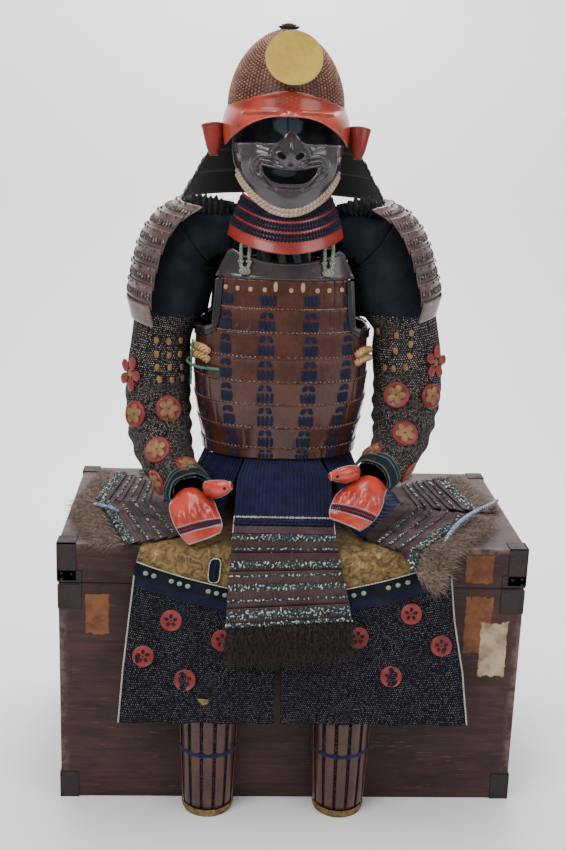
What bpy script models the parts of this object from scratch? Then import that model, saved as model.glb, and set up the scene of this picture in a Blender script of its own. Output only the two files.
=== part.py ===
"""Samurai armour on its armour chest.

Metres, +Z up, the front faces -Y, origin on the floor under the middle of the chest.
Left and right are the sides seen from the front: left is -X.
Every cloth or plate is a closed wall with an open hollow behind it. A piece that lies on another
is made from that piece's points moved out, or is slid on to it by seat().
"""
import math

import bmesh
import bpy
import numpy as np
from mathutils import Matrix, Vector
from mathutils.bvhtree import BVHTree

# Seats and walls
GAP = 0.0003                 # air left between two pieces that touch
CLOTH = 0.0020               # cloth wall
PLATE = 0.0025               # plate wall
LIP = 0.0018                 # how far a lame stands out at its free edge

# Chest
CHEST_W, CHEST_D, CHEST_H = 0.90, 0.48, 0.54
LID_H = 0.080
BOARD = 0.014
CHEST_ROUND = 0.003

# Armour axis and levels
AX = -0.028                  # x of the armour's middle
AY = 0.020                   # y of the stand's post
WAIST_Z, CHEST_ROW_Z = 0.680, 1.031
ARM_TIP_Z = 0.928
CROSSBAR_Z, CROSSBAR_R = 1.146, 0.014
HEAD_BASE_Z, HEAD_TOP_Z = 1.178, 1.4872

# Helmet
HELM_X = -0.0325
RIM_Z, BOWL_H = 1.345, 0.145
BOWL_A, BOWL_B = 0.1105, 0.125
BRIM_HALF = 0.115
DISC_R, DISC_T, DISC_TILT = 0.0525, 0.0025, math.radians(25)

LOOKS = {
    "wood": (0.075, 0.022, 0.020, 0.45, 0.0),
    "stand_wood": (0.110, 0.070, 0.045, 0.60, 0.0),
    "cloth_grey": (0.090, 0.125, 0.150, 0.90, 0.0),
    "russet": (0.150, 0.062, 0.038, 0.45, 0.3),
    "red": (0.420, 0.045, 0.022, 0.35, 0.0),
    "dark_iron": (0.050, 0.045, 0.048, 0.45, 0.8),
    "gold": (0.520, 0.380, 0.090, 0.40, 0.9),
    "mask_iron": (0.090, 0.062, 0.064, 0.40, 0.4),
    "lace_dark": (0.030, 0.030, 0.036, 0.85, 0.0),
    "scale": (0.165, 0.055, 0.035, 0.38, 0.0),
    "navy": (0.014, 0.018, 0.075, 0.90, 0.0),
    "indigo": (0.010, 0.016, 0.026, 0.95, 0.0),
    "mail": (0.030, 0.027, 0.030, 0.60, 0.5),
    "cord_beige": (0.430, 0.340, 0.250, 0.90, 0.0),
    "cord_green": (0.200, 0.200, 0.140, 0.90, 0.0),
    "cord_gold": (0.420, 0.280, 0.120, 0.90, 0.0),
    "tan": (0.240, 0.160, 0.070, 0.85, 0.0),
    "fur": (0.085, 0.048, 0.034, 0.95, 0.0),
}

for old in list(bpy.data.objects):
    bpy.data.objects.remove(old, do_unlink=True)

MADE = {}


def look(name, key):
    """A Principled material of one piece, from the table of looks."""
    mat = bpy.data.materials.new(name + "_look")
    mat.use_nodes = True
    r, g, b, rough, metal = LOOKS[key]
    shader = mat.node_tree.nodes["Principled BSDF"]
    shader.inputs["Base Color"].default_value = (r, g, b, 1.0)
    shader.inputs["Roughness"].default_value = rough
    shader.inputs["Metallic"].default_value = metal
    mat.diffuse_color = (r, g, b, 1.0)
    return mat


def keep(name, bm, key, sharp=35.0):
    """Turns a bmesh into a named object: normals outward, smooth faces, sharp edges marked."""
    bmesh.ops.recalc_face_normals(bm, faces=bm.faces[:])
    limit = math.radians(sharp)
    for face in bm.faces:
        face.smooth = True
    for edge in bm.edges:
        if len(edge.link_faces) == 2 and edge.calc_face_angle(0.0) > limit:
            edge.smooth = False
    mesh = bpy.data.meshes.new(name)
    bm.to_mesh(mesh)
    bm.free()
    mesh.materials.append(look(name, key))
    ob = bpy.data.objects.new(name, mesh)
    bpy.context.scene.collection.objects.link(ob)
    MADE[name] = ob
    return ob


def grid_normals(p, wrap):
    """Unit normals of a grid of points, one for each point."""
    du = np.roll(p, -1, 1) - np.roll(p, 1, 1) if wrap else np.gradient(p, axis=1)
    dv = np.gradient(p, axis=0)
    n = np.cross(du, dv)
    size = np.linalg.norm(n, axis=2, keepdims=True)
    return n / np.where(size < 1e-12, 1.0, size)


def shell(name, rows, wall, key, behind, wrap=False, lift=None, pole=False, square=False,
          sharp=35.0):
    """Closed wall over a grid of outer points (rows by columns).

    behind: a point, or a grid of points, on the hollow side. lift: metres the outer points stand
    out from the plain inside. wrap: columns close into a ring. pole: the last row is one point.
    square: the end columns are cut square to X, so that two halves can meet.
    """
    p = np.asarray(rows, float)
    n = grid_normals(p, wrap)
    if pole:
        n[-1] = n[-2].mean(axis=0) / np.linalg.norm(n[-2].mean(axis=0))
    away = p - np.asarray(behind, float)
    if np.sum(n * away) < 0:
        n = -n
    if square:
        n[:, [0, -1], 1] = 0.0
        n[:, [0, -1]] /= np.linalg.norm(n[:, [0, -1]], axis=2, keepdims=True)
    outer = p if lift is None else p + n * np.asarray(lift, float)[..., None]
    inner = p - n * wall
    nv, nu = p.shape[:2]
    bm = bmesh.new()
    sides = []
    for pts in (outer, inner):
        sides.append([[bm.verts.new(pts[j, i]) for i in range(nu)] for j in range(nv)])
    last = nu if wrap else nu - 1
    for k, grid in enumerate(sides):
        for j in range(nv - 1):
            for i in range(last):
                i2 = (i + 1) % nu
                quad = [grid[j][i], grid[j][i2], grid[j + 1][i2], grid[j + 1][i]]
                bm.faces.new(quad if k == 0 else quad[::-1])
    out, ins = sides
    rims = [0] if pole else [0, nv - 1]
    for j in rims:
        for i in range(last):
            i2 = (i + 1) % nu
            quad = [out[j][i], ins[j][i], ins[j][i2], out[j][i2]]
            bm.faces.new(quad if j == 0 else quad[::-1])
    if not wrap:
        for i in (0, nu - 1):
            for j in range(nv - 1):
                quad = [out[j][i], out[j + 1][i], ins[j + 1][i], ins[j][i]]
                bm.faces.new(quad if i == 0 else quad[::-1])
    if pole:
        bmesh.ops.remove_doubles(bm, verts=bm.verts[:], dist=1e-5)
    return keep(name, bm, key, sharp)


def mix(a, b, t):
    """The point t of the way from a to b."""
    return np.asarray(a, float) * (1 - t) + np.asarray(b, float) * t


def through(points, count):
    """Points evenly spaced on a smooth curve through the given points."""
    p = np.asarray(points, float)
    p = np.vstack([2 * p[0] - p[1], p, 2 * p[-1] - p[-2]])
    fine = []
    for k in range(1, len(p) - 2):
        for t in np.linspace(0, 1, 16, endpoint=(k == len(p) - 3)):
            a, b, c, d = p[k - 1:k + 3]
            fine.append(0.5 * (2 * b + (c - a) * t + (2 * a - 5 * b + 4 * c - d) * t ** 2
                               + (3 * b - a - 3 * c + d) * t ** 3))
    fine = np.array(fine)
    run = np.concatenate([[0], np.cumsum(np.linalg.norm(np.diff(fine[:, :3], axis=0), axis=1))])
    at = np.linspace(0, run[-1], count)
    return np.stack([np.interp(at, run, fine[:, k]) for k in range(fine.shape[1])], axis=1)


def tube_rows(points, rows, columns, across=(0, 1, 0)):
    """Rings on a curve; each point is x, y, z, half-width, half-depth (along `across`)."""
    path = through(points, rows)
    centre = path[:, :3]
    tangent = np.gradient(centre, axis=0)
    tangent /= np.linalg.norm(tangent, axis=1, keepdims=True)
    grid = []
    for c, t, size in zip(centre, tangent, path[:, 3:]):
        s = np.asarray(across, float) - t * np.dot(across, t)
        s /= np.linalg.norm(s)
        w = np.cross(t, s)
        turn = np.linspace(0, 2 * math.pi, columns, endpoint=False)
        grid.append([c + w * math.cos(a) * size[0] + s * math.sin(a) * size[1] for a in turn])
    return np.array(grid), centre


def lames(edges, high, low):
    """Rows and lifts of overlapping lames: each lower lame stands out over the one above."""
    at, lift = [], []
    for k in range(len(edges) - 1):
        top, end = edges[k], edges[k + 1]
        run = end - top
        at += [top + (run * 0.02 if k else 0.0), end - (run * 0.02 if k < len(edges) - 2 else 0.0)]
        lift += [high, low]
    return np.array(at), np.array(lift)


def rope(name, points, radius, key, count=28, sides=8):
    """A round cord on a smooth curve, with filled ends, as a mesh."""
    line = bpy.data.curves.new(name + "_line", "CURVE")
    line.dimensions = "3D"
    line.bevel_depth = radius
    line.bevel_resolution = sides // 4
    line.use_fill_caps = True
    spline = line.splines.new("POLY")
    pts = through(points, count)
    spline.points.add(len(pts) - 1)
    for target, p in zip(spline.points, pts):
        target.co = (*p[:3], 1.0)
    holder = bpy.data.objects.new(name + "_line", line)
    bpy.context.scene.collection.objects.link(holder)
    mesh = bpy.data.meshes.new_from_object(holder)
    bm = bmesh.new()
    bm.from_mesh(mesh)
    bpy.data.objects.remove(holder, do_unlink=True)
    bmesh.ops.remove_doubles(bm, verts=bm.verts[:], dist=1e-5)
    return keep(name, bm, key, 50.0)


def shape_of(ob):
    """The finished mesh of a piece, its cuts and joints made."""
    return ob.evaluated_get(bpy.context.evaluated_depsgraph_get()).to_mesh()


def tree_of(ob):
    """The surface of a piece, ready for rays."""
    bm = bmesh.new()
    bm.from_mesh(shape_of(ob))
    tree = BVHTree.FromBMesh(bm)
    bm.free()
    return tree


def samples(ob):
    """Corners and edge points of a piece."""
    mesh = shape_of(ob)
    pts = [v.co.copy() for v in mesh.vertices]
    for e in mesh.edges:
        a, b = (mesh.vertices[i].co for i in e.vertices)
        pts += [a.lerp(b, t) for t in (0.25, 0.5, 0.75)]
    return pts


def seat(name, towards, onto, gap=GAP, back=0.0, reach=0.25):
    """Slides a piece in a direction until it stands the seat gap off the pieces named.

    back: how far the piece may already have gone into them, to be drawn out again.
    """
    ob = MADE[name]
    d = Vector(towards).normalized()
    mine = tree_of(ob)
    best = reach
    for other in onto:
        theirs = tree_of(MADE[other])
        for p in samples(ob):
            hit = theirs.ray_cast(p - d * back, d, reach + back)
            if hit[0] is not None:
                best = min(best, hit[3] - back)
        for p in samples(MADE[other]):
            hit = mine.ray_cast(p + d * back, -d, reach + back)
            if hit[0] is not None:
                best = min(best, hit[3] - back)
    if best >= reach:
        raise ValueError(name + " meets nothing that way")
    ob.data.transform(Matrix.Translation(d * (best - gap)))
    return best - gap


def combine(piece, tool, operation="DIFFERENCE"):
    """Cuts a hidden tool shape out of a piece, or joins it on."""
    step = MADE[piece].modifiers.new(tool.name, "BOOLEAN")
    step.operation, step.solver, step.object = operation, "EXACT", tool
    tool.hide_render = True
    tool.display_type = "WIRE"


def use_tool(name, bm, piece, key="mask_iron", operation="DIFFERENCE"):
    """Keeps a bmesh as a hidden tool shape and combines it with a piece."""
    ob = keep(name, bm, key)
    MADE.pop(name)
    bpy.context.scene.collection.objects.unlink(ob)
    cutters().objects.link(ob)
    combine(piece, ob, operation)


def cutters():
    """The collection that keeps the cutters apart from the pieces."""
    group = bpy.data.collections.get("cutters")
    if group is None:
        group = bpy.data.collections.new("cutters")
        bpy.context.scene.collection.children.link(group)
    return group


def block(name, low, high, key, rounding=0.0, group=None):
    """A plain block between two corners, edges rounded."""
    bm = bmesh.new()
    bmesh.ops.create_cube(bm, size=1.0)
    lo, hi = np.array(low, float), np.array(high, float)
    for v in bm.verts:
        v.co = Vector(lo + (np.array(v.co) + 0.5) * (hi - lo))
    if rounding:
        bmesh.ops.bevel(bm, geom=bm.edges[:], offset=rounding, segments=2, profile=0.5,
                        affect="EDGES", material=-1)
    ob = keep(name, bm, key)
    if group is not None:
        bpy.context.scene.collection.objects.unlink(ob)
        group.objects.link(ob)
        MADE.pop(name)
    return ob


def turned(name, profile, centre, key, columns=24):
    """A solid of revolution about an upright axis; the profile is (radius, height) from its base."""
    bm = bmesh.new()
    pts = [(0.0, profile[0][1])] + list(profile) + [(0.0, profile[-1][1])]
    verts = [bm.verts.new((r, 0.0, z)) for r, z in pts]
    edges = [bm.edges.new((a, b)) for a, b in zip(verts, verts[1:])]
    bmesh.ops.spin(bm, geom=verts + edges, cent=(0, 0, 0), axis=(0, 0, 1), angle=2 * math.pi,
                   steps=columns, use_merge=True)
    bmesh.ops.remove_doubles(bm, verts=bm.verts[:], dist=1e-6)
    bmesh.ops.translate(bm, verts=bm.verts[:], vec=centre)
    return keep(name, bm, key)


def sgn_pow(w, n):
    """A power that keeps the sign of what it raises."""
    return np.sign(w) * np.abs(w) ** n


def fit(table, z, column):
    """A column of a small table, read at height z."""
    t = sorted(table)
    return float(np.interp(z, [row[0] for row in t], [row[column] for row in t]))


# The chest: an open box under a hollow cap
half_w, half_d = CHEST_W / 2, CHEST_D / 2
body_top = CHEST_H - LID_H - GAP / 2
lid_base = CHEST_H - LID_H + GAP / 2
block("chest_body", (-half_w, -half_d, 0), (half_w, half_d, body_top), "wood", CHEST_ROUND)
combine("chest_body", block("body_room", (-half_w + BOARD, -half_d + BOARD, BOARD),
                            (half_w - BOARD, half_d - BOARD, CHEST_H), "wood", 0, cutters()))
block("chest_lid", (-half_w, -half_d, lid_base), (half_w, half_d, CHEST_H), "wood", CHEST_ROUND)
combine("chest_lid", block("lid_room", (-half_w + BOARD, -half_d + BOARD, lid_base - 0.1),
                           (half_w - BOARD, half_d - BOARD, CHEST_H - BOARD), "wood", 0, cutters()))
lid_z = CHEST_H + GAP

# The stand inside the suit: turned foot and post with a crossbar, and a padded head form
turned("stand", [(0.075, lid_z), (0.080, lid_z + 0.004), (0.080, lid_z + 0.018),
                 (0.030, lid_z + 0.030), (0.018, lid_z + 0.050), (0.018, HEAD_BASE_Z - GAP)],
       (AX, AY, 0), "stand_wood", 20)
bar = bmesh.new()
bmesh.ops.create_cone(bar, cap_ends=True, segments=16, radius1=CROSSBAR_R, radius2=CROSSBAR_R,
                      depth=0.30, matrix=Matrix.Translation((AX, AY, CROSSBAR_Z))
                      @ Matrix.Rotation(math.pi / 2, 4, "Y"))
use_tool("crossbar", bar, "stand", "stand_wood", "UNION")

#        z      half-width half-depth  y of the middle
HEAD = [(1.1783, 0.050, 0.050, 0.010), (1.205, 0.078, 0.070, 0.006), (1.235, 0.100, 0.085, 0.002),
        (1.265, 0.1045, 0.093, 0.000), (1.295, 0.1035, 0.097, 0.000), (1.345, 0.094, 0.100, 0.000),
        (1.390, 0.086, 0.096, 0.000), (1.425, 0.074, 0.085, 0.000), (1.454, 0.055, 0.063, 0.000),
        (1.474, 0.034, 0.039, 0.000), (HEAD_TOP_Z, 0.0, 0.0, 0.000)]
HEAD_SQUARE = 3.2


def head_ring(z, count=20):
    """A ring of the head form at one level, squarer than an ellipse."""
    a, b, y = (fit(HEAD, z, k) for k in (1, 2, 3))
    turn = np.linspace(0, 2 * math.pi, count, endpoint=False)
    return np.stack([HELM_X + a * sgn_pow(np.sin(turn), 2 / HEAD_SQUARE),
                     y - b * sgn_pow(np.cos(turn), 2 / HEAD_SQUARE), np.full(count, z)], axis=1)


bm = bmesh.new()
rings = [[bm.verts.new(p) for p in head_ring(row[0])] for row in HEAD[:-1]]
top = bm.verts.new((HELM_X, 0.0, HEAD_TOP_Z))
bm.faces.new(rings[0][::-1])
for low, high in zip(rings, rings[1:]):
    for i in range(20):
        bm.faces.new((low[i], low[(i + 1) % 20], high[(i + 1) % 20], high[i]))
for i in range(20):
    bm.faces.new((rings[-1][i], rings[-1][(i + 1) % 20], top))
keep("head_form", bm, "cloth_grey")


# Helmet bowl, brim, crown ring, disc and ears
def bowl_point(turn, t, out=0.0):
    """A point on the bowl: turn from the front, t from rim (0) to crown (1)."""
    f = max(1.0 - t ** 2, 0.0) ** 0.56
    return np.array([HELM_X + (BOWL_A * f + out) * math.sin(turn),
                     -(BOWL_B * f + out) * math.cos(turn), RIM_Z + BOWL_H * t + out * t])


turns = np.linspace(0, 2 * math.pi, 24, endpoint=False)
levels = [0.0, 0.22, 0.44, 0.62, 0.77, 0.89, 0.965, 1.0]
bowl = [[bowl_point(a, t) for a in turns] for t in levels[:-1]]
bowl.append([np.array([HELM_X, 0, RIM_Z + BOWL_H])] * len(turns))
shell("helmet_bowl", bowl, PLATE, "russet", (HELM_X, 0, RIM_Z), wrap=True, pole=True)
seat("helmet_bowl", (0, 0, -1), ["head_form"], back=0.01)
turned("helmet_crown", [(0.0165, 1.4885), (0.019, 1.4905), (0.017, 1.4935), (0.011, 1.4955),
                        (0.008, 1.4990), (0.005, 1.5000)], (HELM_X + 0.001, 0, 0.01), "dark_iron", 20)
seat("helmet_crown", (0, 0, -1), ["helmet_bowl"])


def brim_rows(columns=19, count=6, out=0.0027):
    """The brim from its upper edge on the bowl, over the rim and out to its lower edge."""
    rows = []
    for v in np.linspace(0, 1, count):
        row = []
        for turn in np.radians(np.linspace(-86, 86, columns)):
            s = abs(math.sin(turn))
            z_top = 1.378 - 0.031 * s ** 1.6
            upper = bowl_point(turn, (z_top - RIM_Z) / BOWL_H, out)
            rim = bowl_point(turn, 0.0, out + 0.001)
            low = np.array([HELM_X + BRIM_HALF * 1.01 * math.sin(turn),
                            -0.050 - 0.115 * math.cos(turn), 1.333 - 0.057 * s ** 2.6])
            k = 0.30
            if v < k:
                p = mix(upper, rim, v / k)
            else:
                w = (v - k) / (1 - k)
                bulge = 0.007 * math.sin(math.pi * w)
                p = mix(rim, low, w) + np.array([math.sin(turn), -math.cos(turn), 0.35]) * bulge
            row.append(p)
        rows.append(row)
    return np.array(rows)


shell("helmet_brim", brim_rows(), 0.0018, "red", (HELM_X, 0.0, 1.36))
seat("helmet_brim", (0, 1, 0), ["helmet_bowl"], back=0.02)
block("crest_holder", (HELM_X - 0.003, -0.162, 1.384), (HELM_X + 0.015, -0.128, 1.398), "dark_iron",
      0.0015)
seat("crest_holder", (0, 1, 0), ["helmet_bowl", "helmet_brim"], back=0.03)
bm = bmesh.new()
bmesh.ops.create_cone(bm, cap_ends=True, segments=32, radius1=DISC_R, radius2=DISC_R, depth=DISC_T,
                      matrix=Matrix.Translation((-0.0265, -0.150, 1.436))
                      @ Matrix.Rotation(math.pi / 2 - DISC_TILT, 4, "X"))
bmesh.ops.bevel(bm, geom=[e for e in bm.edges if len(e.link_faces) == 2
                          and e.calc_face_angle(0.0) > 1.0],
                offset=0.0007, segments=1, profile=0.5, affect="EDGES", material=-1)
keep("crest_disc", bm, "gold")
seat("crest_disc", (0, 1, 0), ["crest_holder", "helmet_bowl"], back=0.03)


def ear(side):
    """A turned-back cup at the temple: narrow at its lower end, flaring up."""
    x = {-1: -0.166, 1: 0.102}[side]
    name = "ear_left" if side < 0 else "ear_right"
    path = [(x, -0.056, 1.256, 0.008, 0.006), (x + side * 0.001, -0.053, 1.274, 0.014, 0.012),
            (x + side * 0.002, -0.049, 1.294, 0.018, 0.016), (x + side * 0.004, -0.044, 1.312, 0.0205, 0.019)]
    rows, centre = tube_rows(path, 4, 12)
    shell(name, rows, 0.002, "red", centre[:, None, :], wrap=True)
    seat(name, (-side, 0, 0), ["helmet_brim", "helmet_bowl"], back=0.03)


ear(-1)
ear(1)


# Neck guard: four lames about the back, each lower one outside the one above
#        top z  low z  low a   low b   half turn (degrees)
NECK = [(1.344, 1.300, 0.1230, 0.1360, 96), (1.304, 1.258, 0.1470, 0.1560, 97),
        (1.262, 1.214, 0.1730, 0.1790, 98), (1.218, 1.168, 0.1990, 0.2020, 99)]
a0, b0 = 0.1080, 0.1220
for k, (z0, z1, a1, b1, half) in enumerate(NECK):
    turn = np.radians(np.linspace(-half, half, 19))
    rows = [np.stack([HELM_X + mix(a0, a1, t) * np.sin(turn), mix(b0, b1, t) * np.cos(turn),
                      np.full(19, mix(z0, z1, t))], axis=1) for t in (0.0, 1.0)]
    shell(f"neck_guard_{k + 1}", rows, 0.0020, "lace_dark", (HELM_X, 0, 1.25))
    if k < 3:
        z_next, _, a_next, b_next, _ = NECK[k + 1]
        t = (z0 - z_next) / (z0 - z1)
        slope = math.hypot(1.0, (a_next - a1) / (z_next - NECK[k + 1][1]))
        a0, b0 = (float(mix(s, e, t)) + 0.0020 * slope + GAP + 0.0001
                  for s, e in ((a0, a1), (b0, b1)))
seat("neck_guard_1", (0, 0, 1), ["helmet_bowl"], back=0.01)


# Mask: an iron half mask, its top edge under the eyes, open at the mouth and nostrils
MASK_A, MASK_B, MASK_Y = 0.1045, 0.100, -0.052


def mask_point(s, v):
    """A point of the mask: s from -1 (left edge) to 1, v from its top edge (0) to its chin (1)."""
    turn = s * math.pi / 2
    x = MASK_A * math.sin(turn)
    r = abs(x) / MASK_A
    z_top = 1.286 + 0.024 * math.exp(-(x / 0.016) ** 2) - 0.006 * r ** 6
    z_low = 1.169 + 0.071 * r ** 2.2
    z = z_top * (1 - v) + z_low * v
    deep = MASK_B * (1 - 0.13 * v ** 3)
    y = MASK_Y - deep * max(math.cos(turn), 0.0) ** 0.85
    nose = math.exp(-(x / 0.015) ** 2) * max(0.0, 1 - ((z - 1.275) / 0.034) ** 2) * 0.024
    lips = math.exp(-(x / 0.055) ** 4) * math.exp(-((z - 1.227) / 0.030) ** 2) * 0.008
    return np.array([HELM_X + 0.004 + x * (1 - 0.05 * v ** 2), y - nose - lips, z])


columns = np.linspace(-1, 1, 19)
mask = [[mask_point(s, v) for s in columns] for v in np.linspace(0, 1, 10)]
shell("mask", mask, PLATE, "mask_iron", (HELM_X, 0.0, 1.24))
bm = bmesh.new()
MOUTH_HALF, MOUTH_TOP, MOUTH_LOW = 0.049, 1.2370, 1.2145
outline = []
for t in np.linspace(-1, 1, 13):
    outline.append((t * MOUTH_HALF, MOUTH_TOP + 0.0075 * abs(t) ** 1.5))
for t in np.linspace(1, -1, 13):
    outline.append((t * MOUTH_HALF, MOUTH_LOW + 0.0235 * t ** 4))
bm.faces.new([bm.verts.new((HELM_X + 0.004 + x, -0.25, z)) for x, z in outline])
front = bmesh.ops.extrude_face_region(bm, geom=bm.faces[:])
bmesh.ops.translate(bm, verts=[g for g in front["geom"] if isinstance(g, bmesh.types.BMVert)],
                    vec=(0, 0.16, 0))
use_tool("mouth_cut", bm, "mask")
for side in (-1, 1):
    bm = bmesh.new()
    bmesh.ops.create_cone(bm, cap_ends=True, segments=10, radius1=0.0055, radius2=0.0055, depth=0.03,
                          matrix=Matrix.Translation((HELM_X + 0.004 + side * 0.0150, -0.163, 1.2640))
                          @ Matrix.Rotation(math.radians(70), 4, "X"))
    use_tool(f"nostril_cut_{side + 1}", bm, "mask")
mask_back = seat("mask", (0, 1, 0), ["head_form"], back=0.03)

# Chin cord and throat guard: four laced lames in a U under the jaw
CORD_R = 0.0075
jaw = [mask_point(k, 1.0) + np.array([0, mask_back + 0.003, -CORD_R - 0.002])
       for k in np.linspace(-0.86, 0.86, 9)]
rope("chin_cord", jaw, CORD_R, "cord_beige", 16)
seat("chin_cord", (0, 0, 1), ["mask"], back=0.02)
at, lift = lames([0.0, 0.28, 0.52, 0.76, 1.0], LIP, 0.0)
rows = []
for t in at:
    turn = np.radians(np.linspace(-84, 84, 15))
    a, b = mix(0.082, 0.112, t), mix(0.070, 0.105, t)
    rows.append(np.stack([AX - 0.001 + a * np.sin(turn), -0.045 - b * np.cos(turn),
                          mix(1.165, 1.089, t) + 0.024 * np.abs(np.sin(turn)) ** 2], axis=1))
shell("throat_guard", rows, 0.0022, "red", (AX, 0, 1.14), lift=np.repeat(lift[:, None], 15, 1))
seat("throat_guard", (0, -1, 0), ["mask", "chin_cord"], back=0.02)

# Cuirass: the sections of the torso from waist to chest, then its panels
#          z     half-width half-depth
TORSO = [(0.640, 0.150, 0.118), (0.678, 0.154, 0.120), (0.700, 0.156, 0.122), (0.742, 0.164, 0.126),
         (0.789, 0.171, 0.129), (0.834, 0.173, 0.130), (0.882, 0.172, 0.129), (0.930, 0.170, 0.127),
         (0.975, 0.164, 0.125), (1.031, 0.156, 0.121), (1.100, 0.140, 0.112)]
ROWS_Z = [1.031, 0.975, 0.930, 0.882, 0.834, 0.789, 0.742, 0.700, 0.678]
SQUARE = 2.5


def torso_point(turn, z, out=0.0, back=1.0):
    """A point of the torso; turn 0 is the front (or the back with back=-1), 90 degrees the side."""
    a, b = fit(TORSO, z, 1) + out, fit(TORSO, z, 2) + out
    return np.array([AX + a * sgn_pow(math.sin(turn), 2 / SQUARE),
                     -back * (GAP * 0.7 + b * abs(math.cos(turn)) ** (2 / SQUARE)), z])


def reach_turn(z, narrow):
    """How far round a panel reaches: to the side below the armhole, to the narrow width above it."""
    if z <= ARM_TIP_Z:
        return math.pi / 2
    part = min(1.0, (z - ARM_TIP_Z) / 0.012) ** 0.5
    wide = fit(TORSO, z, 1)
    half = wide * (1 - part) + (narrow - 0.008 * (z - ARM_TIP_Z) / 0.1) * part
    return math.asin(min(1.0, (half / wide) ** (SQUARE / 2)))


def panel(name, back, columns, edges, narrow, key):
    """One half of the cuirass, its rows of scales standing out at their upper edges."""
    total = edges[0] - edges[-1]
    at, lift = lames([(edges[0] - z) / total for z in edges], LIP, 0.0)
    rows = []
    for t in at:
        z = edges[0] - t * total
        far = reach_turn(z, narrow)
        rows.append([torso_point(s * far, z, 0.0, back) for s in np.linspace(-1, 1, columns)])
    shell(name, rows, 0.0025, key, np.array([[(AX, 0.0, p[2]) for p in row] for row in rows]),
          lift=np.repeat(lift[:, None], columns, 1), square=True)


panel("cuirass_front", 1.0, 17, ROWS_Z, 0.134, "scale")
panel("cuirass_back", -1.0, 11, [1.045] + ROWS_Z[1:], 0.138, "scale")


def neck_plate(name, back, low, dip, rise, narrow):
    """The iron plate above the rows: concave neckline, corners rising to the straps."""
    rows = []
    for v in np.linspace(0, 1, 4):
        row = []
        for s in np.linspace(-1, 1, 13):
            top = dip + (rise - dip) * abs(s) ** 1.6
            z = low + GAP + (top - low) * v
            wide = fit(TORSO, low, 1)
            half = narrow * (1 - 0.10 * v)
            far = math.asin(min(1.0, (half / wide) ** (SQUARE / 2)))
            p = torso_point(s * far, z, 0.002, back)
            p[2] = z
            row.append(p)
        rows.append(row)
    shell(name, rows, 0.0030, "mask_iron",
          np.array([[(AX, 0.0, p[2]) for p in row] for row in rows]))


neck_plate("chest_plate", 1.0, 1.0315, 1.064, 1.094, 0.132)
neck_plate("back_plate", -1.0, 1.0455, 1.100, 1.118, 0.136)
seat("chest_plate", (0, 0, -1), ["cuirass_front"], back=0.01)
seat("back_plate", (0, 0, -1), ["cuirass_back"], back=0.01)


def strap(side):
    """A stiff strap over the shoulder, lying on the crossbar."""
    name = "shoulder_strap_left" if side < 0 else "shoulder_strap_right"
    path = through([(-0.111, 1.094), (-0.102, 1.120), (-0.066, 1.152), (-0.010, 1.166),
                    (0.050, 1.166), (0.100, 1.148), (0.122, 1.112)], 11)
    mid = AX + side * 0.074
    rows = [[(mid + w - side * 0.006 * abs(y) / 0.12, y, z) for w in (-0.018, 0.0, 0.018)]
            for y, z in path]
    shell(name, rows, 0.004, "mask_iron", (mid, 0.0, 1.0))
    seat(name, (0, 0, -1), ["stand"], back=0.03)


strap(-1)
strap(1)


def loop(name, centre, half_x, half_z, y, radius, key):
    """A doubled cord hanging flat on the chest, closed above and below."""
    cx, cz = centre
    turn = np.linspace(0, 2 * math.pi, 13)[:-1]
    pts = [(cx + half_x * math.sin(a), y, cz + half_z * math.cos(a)) for a in turn[1:]]
    rope(name, pts, radius, key, 11)


for side, mark in ((-1, "left"), (1, "right")):
    loop(f"strap_cord_{mark}", (AX + side * 0.074 + (-0.001 if side > 0 else 0.003), 1.082), 0.0075,
         0.026, -0.155, 0.0032, "cord_green")
    seat(f"strap_cord_{mark}", (0, 1, 0), ["chest_plate", f"shoulder_strap_{mark}"], reach=0.12)
    pts = [tuple(torso_point(side * math.radians(w), z, 0.0115)) for w, z in
           ((50, 0.884), (58, 0.890), (68, 0.889), (78, 0.885))]
    rope(f"side_cord_{mark}", pts, 0.0062, "cord_gold", 10)
    seat(f"side_cord_{mark}", (-side, 0.4, 0), ["cuirass_front"], back=0.03)

# Collar: a cloth bib round the front of the neck, its ends against the crossbar
bib_y = AY - CROSSBAR_R - GAP - 0.0001
rows = [[(AX + mix(0.055, 0.050, v) * math.sin(w), bib_y - mix(0.104, 0.092, v) * math.cos(w),
          mix(1.050, 1.150, v)) for w in np.radians(np.linspace(-90, 90, 13))] for v in (0, 1)]
shell("collar", rows, 0.0025, "indigo", (AX, 0.0, 1.1), square=True)

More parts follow.
